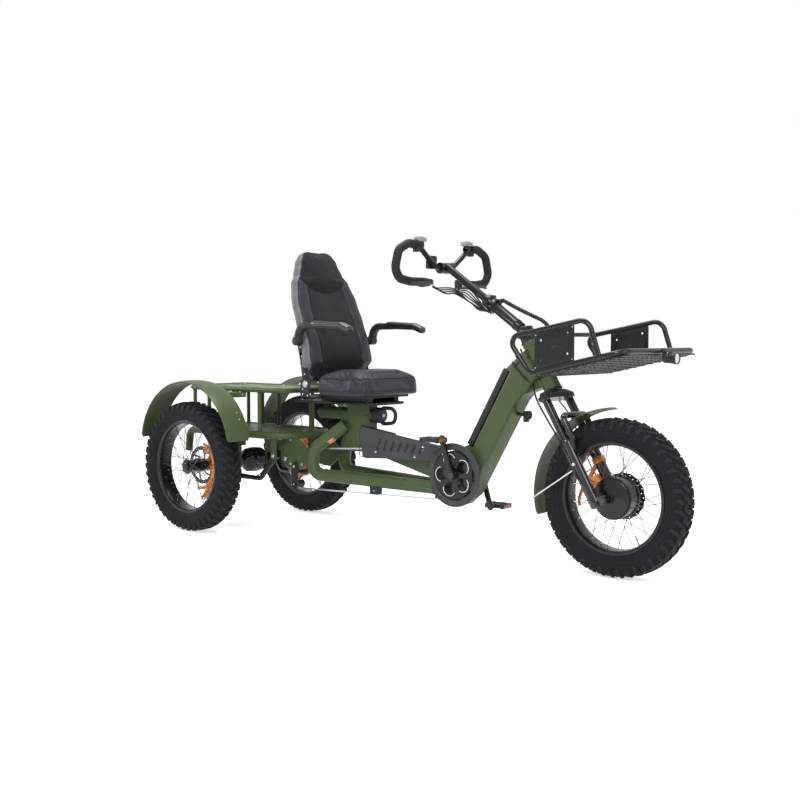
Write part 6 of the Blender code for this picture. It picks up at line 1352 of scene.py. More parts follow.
def dress_handlebar():
    body = "steering_body"
    half = bar_points(((0.0, -0.08), (0.16, -0.08), (0.36, 0.2), (0.54, 0.48), (0.6, 0.486)))
    line = round_path([side_at(p, -p.y) for p in reversed(half)] + half[1:], 0.04, 10)
    add("handlebar_tube", sweep(line, 0.0112, 28), BLACK, body, replaces=["handlebar"])
    boxes, feet, keys = [], [], []
    lift = BAR_Z + BAR_TALL * 0.48 + 0.0112
    for side in BOTH:
        y = side * (BAR_HALF * 0.54 - 0.013)
        low = at(BAR_X - 0.015, y - 0.026, lift + 0.002)
        boxes.append(box_on(low, (0, 0, 0), (0.03, 0.052, 0.018), 0.004, 3))
        boxes.append(box_on(low, (0.003, 0.004, 0.0176), (0.027, 0.036, 0.02), 0.0012, 2))
        feet.append(lathe([(-0.009, 0.0113), (-0.009, 0.0145), (-0.008, 0.0155), (0.008, 0.0155),
                           (0.009, 0.0145), (0.009, 0.0113)], at(BAR_X, y, BAR_Z + BAR_TALL * 0.48),
                          LEFT, 36, True))
        feet.append(block(at(BAR_X - 0.01, y - 0.012, lift - 0.004),
                          at(BAR_X + 0.01, y + 0.012, lift + 0.003), 0.0015, 2))
        for index in range(3):
            key = low + vec(-0.0012, 0.01 + index * 0.0145, 0.005)
            keys.append(box_on(key, (0, 0, 0), (0.003, 0.01, 0.008), 0.001, 2))
        end = at(BAR_X, side * (BAR_HALF * 0.58), BAR_Z + BAR_TALL * 0.486)
        feet.append(disc(end, 0.0205, end.y, end.y + side * 0.007, 0.002, 40))
        feet.append(box_on(end, (-0.012, -0.01, -0.03), (0.014, 0.01, -0.006), 0.004, 3))
    add("control_boxes", boxes, GREY, body)
    add("control_clamps", feet + keys, PLASTIC, body)
    for label, side in SIDES.items():
        dress_grip(label, side)


def dress_grip(label, side):
    body = "steering_body"
    shares = ((0.6, 0.486), (0.74, 0.5), (0.93, 0.32), (1.0, -0.16), (0.92, -0.42), (0.7, -0.48),
              (0.46, -0.48))
    path = round_path(bar_points(shares, side), 0.04, 12)
    path[0] = path[0] + (path[1] - path[0]).normalized() * 0.0022
    line = stepped(path, 0.004)
    radii = []
    total = len(line)
    for index in range(total):
        edge = min(index, total - 1 - index)
        ring = 0.0176 + (0.0009 if edge < 4 else 0) - (0.0006 if index % 4 == 0 and edge > 6 else 0)
        radii.append(ring - (0.003 if edge == 0 else 0))
    add("grip_sleeve_" + label, sweep(line, radii, 32), GRIP, body, replaces=["grip_" + label],
        angle=60)
    start = path[-1] - LEFT * side * 0.0022
    inner = start - LEFT * side * 0.04
    middle = (start + inner) / 2
    housing = [lathe([(0, 0), (0, 0.015), (0.0015, 0.0165), (0.013, 0.0165), (0.014, 0.015),
                      (0.026, 0.015), (0.027, 0.0165), (0.0385, 0.0165), (0.04, 0.015), (0.04, 0)],
                     inner if side > 0 else start, LEFT, 40),
               box_on(middle, (0.004, -0.012, -0.01), (0.034, 0.012, 0.01), 0.004, 3),
               box_on(middle, (-0.03, -0.014, -0.019), (-0.002, 0.014, 0.019), 0.005, 3),
               box_on(middle, (-0.034, -0.008, -0.006), (-0.026, 0.008, 0.012), 0.002, 3)]
    bend = middle + FORWARD * 0.034
    tip = bend + LEFT * side * 0.13 - UP * 0.012
    rings = []
    for step in range(25):
        share = step / 24
        point = bend.lerp(tip, share) - LEFT * side * 0.006 * (1 - share)
        point = point + FORWARD * 0.006 * math.sin(math.pi * share)
        knob = share > 0.93
        tall = 0.0066 - 0.0018 * math.sin(math.pi * min(share * 1.3, 1)) + 0.0015 * knob
        thick = 0.003 + 0.0014 * knob
        if step in (0, 24):
            tall, thick = tall * 0.6, thick * 0.6
        rings.append([point + FORWARD * thick * math.cos(turn) + UP * tall * math.sin(turn)
                      for turn in turns(20)])
    add("lever_housing_" + label, housing, PLASTIC, body)
    add("brake_lever_" + label, [loft(rings),
                                 disc(bend - FORWARD * 0.004, 0.0078, bend.y - 0.006,
                                      bend.y + 0.006, 0.001, 28)], DARK, body,
        replaces=["lever_" + label])
    bolt(bend + vec(-0.004, 0, 0.01), UP, 0.004, body)
    cable_start = middle + vec(0.02, -side * 0.01, -0.006)
    stop = cylinder(cable_start, cable_start - LEFT * side * 0.014 - UP * 0.004, 0.0042, 0.0008, 18)
    add("lever_cable_stop_" + label, stop, STEEL, body)
    collar = tiller_at(0.36, side * 0.012, 0.03)
    begin = cable_start - LEFT * side * 0.014 - UP * 0.004
    cables = []
    for index in range(4):
        shift = index - 1.5
        knots = [begin + vec(-0.009 * index, 0, 0.004 * index),
                 begin + vec(0.008 + 0.01 * shift, -side * (0.02 + 0.008 * index),
                             -0.012 - 0.007 * index)]
        held = ((0.74, 0.052 - 0.008 * index, 0.034 + 0.008 * index),
                (0.58, 0.04 - 0.008 * index, 0.04 + 0.003 * index),
                (0.46, 0.018 + 0.004 * shift, 0.04 + 0.002 * index))
        knots += [tiller_at(along, side * y, below) for along, y, below in held]
        knots.append(collar + vec(0, side * 0.003 * shift, 0.003 * index))
        cables.append(sweep(smooth_path(knots, 10), 0.0029, 10))
    add("control_cables_" + label, cables, GRIP, body)


def tiller_at(share, y, below):
    """Point along the tiller, to its side and under it."""
    down = (TILLER_TOP - TILLER_FOOT).normalized().cross(LEFT).normalized()
    if down.z > 0:
        down = -down
    return TILLER_FOOT.lerp(TILLER_TOP, share) + LEFT * y + down * below


def dress_display():
    body = "steering_body"
    keep(PLASTIC, "display")
    low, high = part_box("display")
    face = block(vec(low.x - 0.0006, low.y + 0.004, low.z + 0.01),
                 vec(low.x + 0.001, high.y - 0.004, high.z - 0.005), 0.0006, 2)
    add("display_glass", face, GLASS, body)
    keys = []
    for index in range(3):
        y = low.y + 0.014 + index * (high.y - low.y - 0.028) / 2
        keys.append(block(vec(low.x - 0.001, y - 0.006, low.z + 0.0028),
                          vec(low.x + 0.001, y + 0.006, low.z + 0.0078), 0.001, 2))
    add("display_keys", keys, GREY, body)
    middle = (low + high) / 2
    arm = block(vec(high.x - 0.001, middle.y - 0.01, middle.z - 0.02),
                vec(high.x + 0.01, middle.y + 0.01, middle.z - 0.004), 0.002, 2)
    add("display_arm", arm, PLASTIC, body)
    bell = at(BAR_X, 0.052, BAR_Z - 0.08 * BAR_TALL)
    parts = [lathe([(-0.006, 0.0113), (-0.006, 0.015), (0.006, 0.015), (0.006, 0.0113)], bell, LEFT,
                   32, True), lathe([(0.01, 0), (0.012, 0.016), (0.018, 0.0155), (0.024, 0.011),
                                     (0.0265, 0.0)], bell, UP, 36),
             cylinder(bell + UP * 0.012, bell + UP * 0.016, 0.006, 0.0006, 16)]
    add("bell", parts, DARK, body)


def dress_cable_bundle():
    body = "steering_body"
    knots = [(1.4651, 1.0303), (1.475, 1.0445), (1.502, 1.033), (1.547, 1.012), (1.608, 0.986),
             (1.672, 0.958), (1.704, 0.922), (1.706, 0.888), (1.6915, 0.8705), (1.6655, 0.8555)]
    line = smooth_path([at(x, 0, z) for x, z in knots], 10)
    core = sweep(line, 0.0068, 16)
    coil = []
    travelled = 0.0
    for a, b in zip(line, line[1:]):
        way = (b - a).normalized()
        up = way.cross(LEFT)
        steps = max(1, round((b - a).length / 0.0011))
        for step in range(steps):
            place = a.lerp(b, step / steps)
            turn = (travelled + (b - a).length * step / steps) / 0.0105 * TURN
            coil.append(place + (LEFT * math.cos(turn) + up * math.sin(turn)) * 0.007)
        travelled += (b - a).length
    wrap = sweep(coil, 0.0019, 8)
    add("cable_loom", core, GRIP, body, replaces=["cable_bundle"], angle=60)
    add("cable_spiral", wrap, PLASTIC, body, angle=60)


# Front rack
def height_on(line, x):
    """Height of a straight bar given by its rear and front end."""
    (rear_x, rear_z), (front_x, front_z) = line
    return rear_z + (front_z - rear_z) * (x - rear_x) / (front_x - rear_x)


def rail_z(x):
    return height_on(RAIL, x)


def hoop_z(x):
    return height_on(HOOP, x)


def rack_panel(side):
    """Side sheet of the rack with four holes round a raised boss, and its rolled rims."""
    y = side * HOOP_Y
    outline = [at(x, 0, rail_z(x) + 0.0095) for x in PANEL]
    outline += [at(x, 0, hoop_z(x) - 0.0085) for x in PANEL[::-1]]
    centre = sum(outline, Vector()) / 4
    holes = []
    for along, up in PANEL_HOLES:
        middle = centre + FORWARD * along + UP * up
        middle.z += 0.21 * (middle.x - centre.x)
        holes.append(disc(middle, 0.0042, y - 0.01, y + 0.01, 0, 20))
    boss = [(-0.003, 0.0), (-0.003, 0.005), (-0.0016, 0.0075), (0.0016, 0.0075), (0.003, 0.005),
            (0.003, 0.0)]
    inner = [centre + (p - centre) * 0.88 for p in outline]
    rims = [lathe(boss, side_at(centre, y), LEFT, 28)]
    for line, shift, corner, steps, thick, sides in ((outline, 0, 0.006, 4, 0.0032, 10),
                                                     (inner, 0.0018, 0.01, 5, 0.001, 8)):
        loop = closed_round_path([side_at(p, y + side * shift) for p in line], corner, steps)
        rims.append(sweep(loop, thick, sides, True))
    for x in (1.8185, 1.9715):
        for z in (rail_z(x) + 0.016, hoop_z(x) - 0.016):
            side_bolt(at(x, 0, z), side, HOOP_Y + 0.003, 0.0034)
    return cut_by(plate(outline, y - 0.0016, 0.0032, 0.0008, 2), holes), rims


def dress_front_rack():
    rear, front = line_at(RAIL, HOOP_Y)
    top, bend = line_at(HOOP, HOOP_Y)
    way = (top - rear).normalized()
    corners = [rear + (top - rear) / 2, rear, front]
    corners += [side_at(p, -p.y) for p in reversed(corners)]
    tubes = [sweep(round_path(corners, 0.05, 12), 0.0107, 28)]
    sleeve = [(-0.01, 0.0105), (-0.01, 0.0122), (0.008, 0.0122), (0.01, 0.0105)]
    plates, rims = [], []
    for side in BOTH:
        y = side * HOOP_Y
        foot = at(HOOP[1][0] + 0.045, y, rail_z(HOOP[1][0] + 0.045))
        start = side_at(rear + (top - rear) * 0.42, y)
        hoop = [start, side_at(top, y), side_at(bend, y), foot]
        tubes.append(sweep(round_path(hoop, 0.045, 12), 0.0097, 28))
        tubes.append(ring_bar(foot + UP * 0.009, UP, 0.01, 0.0013))
        tubes.append(lathe(sleeve, side_at(rear + (top - rear) * 0.47, y), way, 32, True))
        sheet, edges = rack_panel(side)
        plates.append(sheet)
        rims += edges
    cross = at(1.746, 0, hoop_z(1.746))
    middle_x = sum(PANEL) / 2
    middle = at(middle_x, 0, rail_z(middle_x))
    for point in (cross, middle):
        tubes.append(sweep([side_at(point, side * HOOP_Y) for side in BOTH], 0.0087, 24))
    for point in (cross, middle):
        for side in BOTH:
            tubes.append(ring_bar(side_at(point, side * 0.264), LEFT, 0.0092, 0.0015))
    head = steer(SEAT_ALONG, HEAD_RADIUS + 0.0006)
    corner = side_at(rear, 0)
    outline = [head - UP * 0.015, corner - UP * 0.01, middle - UP * 0.0075, middle + UP * 0.0075,
               corner + UP * 0.015, head + UP * 0.015]
    arms = [plate(outline, y, 0.006, 0.001, 2) for y in (-0.026, 0.02)]
    tip = head + FORWARD * 0.004
    floor = [tip + UP * 0.002, corner - UP * 0.002, middle + UP * 0.001, middle + UP * 0.005,
             corner + UP * 0.003, tip + UP * 0.007]
    arms.append(plate(floor, -0.0205, 0.041, 0.0008, 2))
    seat = lathe([(-0.016, HEAD_RADIUS + 0.0003), (-0.016, HEAD_RADIUS + 0.0034),
                  (0.016, HEAD_RADIUS + 0.0034), (0.016, HEAD_RADIUS + 0.0003)],
                 steer(SEAT_ALONG - 0.003), STEER_UP, 64, True)
    for side in BOTH:
        for share in (0.3, 0.72):
            place = head.lerp(corner, share)
            side_bolt(place, side, 0.0262, 0.0046, head="hex")
    add("front_rack_tubes", tubes + arms + [seat], BLACK, replaces=["front_rack"])
    add("front_rack_panels", plates, BLACK)
    add("front_rack_rims", rims, BLACK)
    wires = []
    drop = 0.0105 + 0.0022
    ends = (RAIL[0][0] + 0.025, RAIL[1][0])
    rear_x, front_x = ends
    for index in range(17):
        y = -0.272 + 0.544 * index / 16
        wires.append(sweep([at(x, y, rail_z(x) - drop) for x in ends], 0.0017, 8))
    for index in range(11):
        x = rear_x + 0.002 + (front_x - rear_x - 0.004) * index / 10
        wires.append(sweep([at(x, y, rail_z(x) - drop - 0.003) for y in (-0.278, 0.278)], 0.0019,
                           8))
    corners = [at(x, -0.277, rail_z(x) - drop) for x in ends]
    corners += [at(x, 0.277, rail_z(x) - drop) for x in ends[::-1]]
    wires.append(sweep(closed_round_path(corners, 0.03, 8), 0.0024, 10, True))
    add("rack_floor_wires", wires, BLACK, replaces=["rack_floor"])


def dress_headlight():
    start = at(RAIL[1][0] + 0.0105 + 0.0003, 0, RAIL[1][1] - 0.026)
    shell = lathe([(0, 0), (0.0, 0.0125), (0.003, 0.016), (0.015, 0.0178), (0.017, 0.0172),
                   (0.019, 0.0178), (0.023, 0.018), (0.025, 0.0174), (0.027, 0.0182),
                   (0.044, 0.0205), (0.046, 0.0214), (0.055, 0.0214), (0.056, 0.0206),
                   (0.0545, 0.0188), (0.05, 0.0182), (0.048, 0.0)], start, FORWARD, 64)
    bracket = [box_on(start, (0.0004, -0.0105, 0.006), (0.004, 0.0105, 0.035), 0.001, 2),
               box_on(start, (0.0004, -0.0105, 0.01), (0.03, -0.008, 0.024), 0.0008, 2),
               box_on(start, (0.0004, 0.008, 0.01), (0.03, 0.0105, 0.024), 0.0008, 2),
               box_on(start, (0.012, -0.0085, 0.014), (0.028, 0.0085, 0.0215), 0.002, 2)]
    add("headlight_shell", [shell] + bracket, PLASTIC, replaces=["headlight"])
    lens = lathe([(0.05, 0), (0.05, 0.0176), (0.053, 0.0176), (0.0542, 0.012), (0.0546, 0.0)],
                 start, FORWARD, 56)
    add("headlight_lens", lens, LENS)
    for side in BOTH:
        bolt(start + vec(0.021, side * 0.0105, 0.018), LEFT * side, 0.003)


# Seat
BACK_UP = vec(-math.sin(BACK_LEAN), 0, math.cos(BACK_LEAN))
BACK_AHEAD = vec(math.cos(BACK_LEAN), 0, math.sin(BACK_LEAN))
BACK_FOOT = at(0.5555, 0, 0.7)
BACK_LENGTH, BACK_THICK, BACK_HALF = 0.6, 0.085, 0.215
BACK_SECTIONS = ((0.00, 0.84, 0.7, 0.00), (0.05, 0.92, 0.86, 0.06), (0.13, 1.03, 1.1, 0.42),
                 (0.26, 1.00, 1.12, 0.46), (0.42, 1.00, 0.98, 0.34), (0.6, 0.97, 0.92, 0.18),
                 (0.74, 0.86, 0.96, 0.06), (0.82, 0.7, 1.00, 0.00), (0.9, 0.62, 0.98, 0.00),
                 (0.97, 0.5, 0.86, 0.00), (1.00, 0.34, 0.6, 0.00))
SHELL_EDGE = 0.28
BACK_RAY = 0.3 + 0.3


def stuffed(mesh, voxel, pressure, cap, held):
    """Voxel-remeshed copy swollen by a short cloth run; held() gives how firmly a point stays."""
    thing = placed("pad", mesh)
    remesh = thing.modifiers.new("remesh", "REMESH")
    remesh.mode = "VOXEL"
    remesh.voxel_size = voxel
    dense = evaluated(thing)
    thing = placed("pad", dense)
    start = [v.co.copy() for v in dense.vertices]
    group = thing.vertex_groups.new(name="held")
    for vertex in dense.vertices:
        group.add([vertex.index], held(vertex.co), "REPLACE")
    cloth = thing.modifiers.new("cloth", "CLOTH").settings
    cloth.use_pressure = True
    cloth.uniform_pressure_force = pressure
    cloth.effector_weights.gravity = 0
    cloth.vertex_group_mass = "held"
    cloth.quality = 5
    for number in range(1, 21):
        bpy.context.scene.frame_set(number)
    graph = bpy.context.evaluated_depsgraph_get()
    swollen = bpy.data.meshes.new_from_object(thing.evaluated_get(graph))
    bpy.data.objects.remove(thing)
    bpy.context.scene.frame_set(1)
    for vertex, before in zip(swollen.vertices, start):
        move = vertex.co - before
        limit = cap * (1 - held(before) * 0.7)
        if move.length > limit:
            vertex.co = before + move * (limit / move.length)
    return swollen


def refined(mesh):
    """Copy smoothed and subdivided once."""
    thing = placed("pad", mesh)
    smooth = thing.modifiers.new("smooth", "SMOOTH")
    smooth.factor = 0.5
    smooth.iterations = 2
    thing.modifiers.new("fine", "SUBSURF").levels = 1
    return evaluated(thing)


def tree_of(mesh):
    return bvhtree.BVHTree.FromPolygons([v.co.copy() for v in mesh.vertices],
                                        [tuple(p.vertices) for p in mesh.polygons])


def hits(tree, origins, way):
    """Points where rays along a direction meet the pad."""
    found = [tree.ray_cast(origin, way)[0] for origin in origins]
    return [point for point in found if point is not None]


def channelled(mesh, lines, depth, width):
    """Presses sewn channels into the pad along the lines."""
    points = [p for line in lines for p in line]
    tree = kdtree.KDTree(len(points))
    for index, point in enumerate(points):
        tree.insert(point, index)
    tree.balance()
    normals = [v.normal.copy() for v in mesh.vertices]
    for vertex, normal in zip(mesh.vertices, normals):
        distance = tree.find(vertex.co)[2]
        if distance < width:
            vertex.co -= normal * depth * (1 - distance / width) ** 2
    return mesh


def stitches(line, radius=0.0007, length=0.005, gap=0.0035):
    """Row of thread stitches along a line."""
    rows, walked, current = [], 0.0, []
    for a, b in zip(line, line[1:]):
        steps = max(1, round((b - a).length / 0.001))
        for step in range(steps):
            place = walked % (length + gap)
            if place < length:
                current.append(a.lerp(b, step / steps))
            elif current:
                if len(current) > 1:
                    rows.append(sweep(current, radius, 6))
                current = []
            walked += (b - a).length / steps
    return rows


def ring_at(centre, half_x, half_y, corner, steps=8):
    ring = []
    for sign_x, sign_y, start in ((1, 1, 0), (-1, 1, 90), (-1, -1, 180), (1, -1, 270)):
        pivot = centre + vec(sign_x * (half_x - corner), sign_y * (half_y - corner), 0)
        for step in range(steps + 1):
            angle = math.radians(start + 90 * step / steps)
            ring.append(pivot + vec(math.cos(angle), math.sin(angle), 0) * corner)
    return ring


def dress_cushion():
    middle = at((0.6 + 0.915) / 2, 0, 0)
    half_x, half_y, corner = 0.1575, 0.215, 0.0795
    bottom, top = 0.6443, 0.744
    rings = []
    for z, inset in ((bottom, 0.016), (bottom + 0.008, 0.009), (bottom + 0.03, 0.007),
                     (top - 0.034, 0.008), (top - 0.022, 0.013), (top - 0.014, 0.024),
                     (top - 0.012, 0.06), (top - 0.01, 0.1)):
        rings.append(ring_at(middle + UP * z, half_x - inset, half_y - inset,
                             max(corner - inset / 2, 0.02)))
    rear = middle.x - half_x

    def held(point):
        if point.z < bottom + 0.006:
            return 1.0
        if point.x < rear + 0.03:
            return 0.55
        return 0.0

    pad = refined(stuffed(loft(rings), 0.0055, 4.0, 0.02, held))
    tree = tree_of(pad)
    seams = []
    for z in (top - 0.026, bottom + 0.016):
        centre = middle + UP * z
        seam = []
        for point in ring_at(centre, half_x + 0.1, half_y + 0.1, corner + 0.1, 16):
            way = centre - point
            way.z = 0
            seam += hits(tree, [point], way.normalized())
        seams.append(resample(seam, 220))
    inner = ring_at(middle + UP * 0.9, half_x * 0.6, half_y * 0.66, 0.05, 12)
    inner = hits(tree, resample(inner, 160), -UP)
    pad = channelled(pad, seams, 0.0032, 0.0085)
    pad = channelled(pad, [inner], 0.0026, 0.009)
    piece = add("cushion_cover", pad, VINYL, replaces=["seat_cushion"], angle=80)
    edges = [sweep(seam, radius, 10, True) for seam, radius in zip(seams, (0.0023, 0.0018))]
    add("cushion_piping", edges, VINYL, angle=80)
    thread = stitches([p + UP * 0.0004 for p in inner])
    thread += stitches([p + (middle - side_at(p, 0)).normalized() * 0.0055 + UP * 0.0034
                        for p in seams[0]])
    add("cushion_stitches", thread, PLASTIC)


def back_at(along, ahead=0.0, y=0.0):
    """Point at a share of the back's height, ahead of its foot and beside it."""
    return BACK_FOOT + BACK_UP * BACK_LENGTH * along + BACK_AHEAD * ahead + LEFT * y


def back_place(point):
    """Shares of a point in the backrest: along, across in metres, ahead in metres."""
    arm = point - BACK_FOOT
    return arm.dot(BACK_UP) / BACK_LENGTH, point.y, arm.dot(BACK_AHEAD)


def back_section(along):
    """Width share, depth share and forward share at a place up the back."""
    along = min(max(along, 0.0), 1.0)
    for low, high in zip(BACK_SECTIONS, BACK_SECTIONS[1:]):
        if along <= high[0]:
            mix = (along - low[0]) / (high[0] - low[0])
            mix = mix * mix * (3 - 2 * mix) if 0.05 < along < 0.97 else mix
            return [a + (b - a) * mix for a, b in zip(low[1:], high[1:])]
    return list(BACK_SECTIONS[-1][1:])


def head_arc(y):
    """Height share of the seam under the headrest."""
    return 0.665 + 0.1 * min(abs(y) / 0.145, 1.2) ** 2


def bolster_line(along):
    """Distance from the middle of the seam beside the centre panel."""
    return 0.108 + 0.02 * math.sin(math.pi * min(along / 0.76, 1)) + 0.018 * (1 - along / 0.76) ** 2


def dress_backrest():
    rings = []
    levels = [0.0, 0.012] + [0.04 * step for step in range(1, 25)] + [0.975, 0.992, 1.0]
    for along in levels:
        width, depth, forward = back_section(along)
        half_width = BACK_HALF * width - 0.008
        half_depth = BACK_THICK * depth / 2 - 0.007
        if along in (0.0, 1.0):
            half_width, half_depth = half_width - 0.006, half_depth - 0.008
        centre = back_at(along, BACK_THICK * forward)
        ring = []
        for turn in turns(56):
            x = power(math.cos(turn), 0.62) * half_depth
            y = power(math.sin(turn), 0.42) * half_width
            if x > 0 and along < 0.76:
                dip = 0.013 * max(0.0, 1 - (abs(y) / (bolster_line(along) + 0.02)) ** 4)
                x -= dip * max(min(1.0, along / 0.1, (0.78 - along) / 0.08), 0)
            ring.append(centre + BACK_AHEAD * x + LEFT * y)
        rings.append(ring)

    def held(point):
        along, y, ahead = back_place(point)
        depth = back_section(along)
        offset = ahead - BACK_THICK * depth[2]
        if offset < -BACK_THICK * depth[1] / 2 + 0.012:
            return 0.7
        if along < 0.06:
            return 0.8
        if along < 0.74 and abs(abs(y) - bolster_line(along)) < 0.006 and offset > 0:
            return 0.9
        if abs(along - head_arc(y)) < 0.012 and offset > 0:
            return 0.9
        return 0.0

    pad = refined(stuffed(loft(rings), 0.006, 4.0, 0.016, held))
    tree = tree_of(pad)
    across = [-0.15 + 0.3 * step / 90 for step in range(91)]
    arc = hits(tree, [back_at(head_arc(y), BACK_RAY, y) for y in across], -BACK_AHEAD)
    heights = [0.02 + (0.755 - 0.02) * step / 110 for step in range(111)]
    heights = [a for a in heights if a < head_arc(bolster_line(a)) + 0.005]
    sides = [hits(tree, [back_at(a, BACK_RAY, side * bolster_line(a)) for a in heights],
                  -BACK_AHEAD) for side in BOTH]
    outline = []
    for side in BOTH:
        origins = []
        for step in range(141):
            along = 0.03 + (0.985 - 0.03) * step / 140
            width, depth, forward = back_section(along)
            origins.append(back_at(along, BACK_THICK * (forward + depth * SHELL_EDGE), side * 0.4))
        outline.append(hits(tree, origins, -LEFT * side))
    crown_y = [outline[0][-1].y * (1 - 2 * step / 40) for step in range(1, 40)]
    crown = hits(tree, [back_at(1.2, BACK_THICK * 0.18, y) for y in crown_y], -BACK_UP)
    seam = outline[0] + crown + outline[1][::-1]
    pad = channelled(pad, [arc] + sides, 0.0045, 0.011)
    pad = channelled(pad, [seam], 0.0028, 0.0075)
    piece = add("backrest_cover", pad, VINYL, "backrest_body", replaces=["backrest"], angle=80)
    piece.data.materials.append(CLOTH)
    # Third slot: the rear shell, whose lighter grey is a painted sheen.
    piece.data.materials.append(SHELL_PAINTED_SHEEN)
    for polygon in piece.data.polygons:
        along, y, ahead = back_place(polygon.center)
        width, depth, forward = back_section(along)
        facing = polygon.normal.dot(BACK_AHEAD) > 0.5 and abs(y) < BACK_HALF * width * 0.86
        if ahead < BACK_THICK * (forward + depth * SHELL_EDGE) and not facing:
            polygon.material_index = 2
        elif along > head_arc(y) or abs(y) < bolster_line(along) and along < 0.76:
            polygon.material_index = 1
    pressed = tree_of(piece.data)

    def settle(line, lift):
        found = [pressed.find_nearest(point) for point in line]
        return [hit[0] + hit[1] * lift for hit in found]

    piping = sweep(settle(seam, 0.0012), 0.0024, 10)
    add("backrest_piping", piping, PLASTIC, "backrest_body", angle=80)
    seams = [sweep(settle(line, 0.0002), 0.0012, 8) for line in [arc] + sides]
    add("backrest_seams", seams, PLASTIC, "backrest_body", angle=80)
    thread = []
    for push in (BACK_UP * 0.006, -BACK_UP * 0.006):
        thread += stitches(settle([p + push for p in arc], 0.0004))
    for line, side in zip(sides, BOTH):
        thread += stitches(settle([p + LEFT * side * 0.006 for p in line], 0.0004))
    for line in outline:
        thread += stitches(settle([p - BACK_AHEAD * 0.007 for p in line], 0.0004), 0.0009, 0.007,
                           0.004)
    add("backrest_stitches", thread, DARK, "backrest_body")
    dress_back_hinges()


def dress_back_hinges():
    hinges, washers = [], []
    pivot = at(0.572, 0, 0.69)
    y = 0.205 - 0.006 - 0.002
    top = pivot + BACK_UP * 0.13
    for side in BOTH:
        low, high = sorted((side * y, side * (y + 0.006)))
        for belt in (((pivot, 0.02), (pivot + BACK_UP * 0.06, 0.017), (top, 0.015)),
                     ((top, 0.015), (pivot + BACK_UP * 0.2 - BACK_AHEAD * 0.004, 0.013))):
            hinges.append(prism([side_at(p, low) for p in hull_line(belt, 72)], LEFT * (high - low),
                                0.001, 2))
        for share in (0.045, 0.085, 0.125, 0.165):
            side_bolt(pivot + BACK_UP * share, side, y + 0.0062, 0.0044, "backrest_body")
        outer = side * 0.2112
        washers.append(disc(pivot, 0.015, outer, outer + side * 0.0014, 0.0004, 36))
        bolt(side_at(pivot, outer + side * 0.0014), LEFT * side, 0.0085, head="hex")
        for x, z in ((0.586, 0.64), (0.556, 0.646), (0.556, 0.668)):
            bolt(at(x, outer, z), LEFT * side, 0.004)
    add("back_hinge_plates", hinges, BLACK, "backrest_body")
    add("hinge_washers", washers, STEEL)


def dress_armrest(label, side):
    body = "armrest_body_" + label
    pivot = at(0.56, side * 0.243, 0.88)
    half = 0.013
    flat = line_at(((0.605 - 0.025, 0.959 - half), (0.605 + 0.1, 0.959 - half),
                    (0.872 - 0.05, 0.959 - half * 1.4), (0.872, 0.922)))
    line = stepped(round_path([side_at(pivot, 0)] + flat, 0.05, 10), 0.006)
    arm, pad = [], []
    count = len(line)
    for index, point in enumerate(line):
        before, after = line[max(index - 1, 0)], line[min(index + 1, count - 1)]
        way = (after - before).normalized()
        rise = way.cross(LEFT)
        if rise.z < 0:
            rise = -rise
        centre = side_at(point, pivot.y)
        share = index / (count - 1)
        wide = 0.0172 + 0.0018 * math.sin(math.pi * share)
        tall = half * (1.3 - 0.4 * share)
        if index in (0, count - 1):
            wide, tall = wide - 0.004, tall - 0.005
        arm.append([centre + LEFT * wide * power(math.cos(turn), 0.55) + rise * tall
                    * power(math.sin(turn), 0.6) for turn in turns(28)])
        if share > 0.3:
            wide_pad = wide + 0.003
            ends = min((share - 0.3) / 0.03, (1.001 - share) / 0.02, 1.0)
            swell = 0.0075 * math.sqrt(max(ends, 0.02))
            ring = []
            for turn in turns(24):
                lift = -tall * 0.45 + (tall * 1.4 + swell) * (0.5 + 0.5 * math.sin(turn))
                ring.append(centre + LEFT * wide_pad * power(math.cos(turn), 0.6)
                            * (0.9 + 0.1 * ends) + rise * lift)
            pad.append(ring)
    boss = [disc(pivot, 0.02, pivot.y - 0.0175, pivot.y + 0.0175, 0.002, 48),
            disc(pivot, 0.012, side * (0.243 - 0.019 - 0.006), pivot.y, 0.001, 32)]
    add("armrest_beam_" + label, [loft(arm)] + boss, PLASTIC, body, replaces=["armrest_" + label])
    add("armrest_pad_" + label, loft(pad), ARMPAD, body, angle=70)
    bolt(side_at(pivot, pivot.y + side * 0.0177), LEFT * side, 0.007, body, "hex")


def dress_seat_base():
    keep(PLASTIC, "seat_base")
    for side in BOTH:
        for x in (0.44, 0.52, 0.84):
            bolt(at(x, side * 0.096, 0.6122), UP, 0.0042)
    knob = at(0.7, -0.1135, 0.606)
    arm = cable([knob + vec(0, 0.012, 0), knob - LEFT * 0.02, knob + vec(0.03, -0.034, 0.004),
                 knob + vec(0.085, -0.036, 0.004)], 0.0036, 14)
    add("seat_swivel_lever", arm, BLACK)


def dress_fasteners():
    for body, parts in FASTENERS.items():
        bright = body in ("frame", "backrest_body")
        add("fasteners_" + body, parts, STEEL if bright else DARK, body, angle=40)


# Setting
LIGHTS = (("key", (1.8, -3.2, 3.0), (0.0, 0.0, 0.5), 1.6, 92),
          ("fill", (3.8, -0.8, 1.8), (0.3, 0.0, 0.6), 1.5, 30),
          ("top", (-0.4, 0.2, 3.6), (-0.2, 0.0, 0.5), 1.8, 84),
          ("rim", (-2.8, -1.6, 1.6), (0.2, 0.0, 0.6), 1.0, 26))
LENS_LENGTH, SENSOR = 50.04, 36
CAMERA_PLACE = (3.0473, -3.6685, 0.9032)
CAMERA_TILT, CAMERA_TURN = -3.315, 40.267
SKY_STRENGTH, SKY_LOW, SKY_HIGH = 0.48, 0.22, 1.15
PAPER, PAPER_GLOW = 0.93, 0.62
IMAGE_SIZE = 800


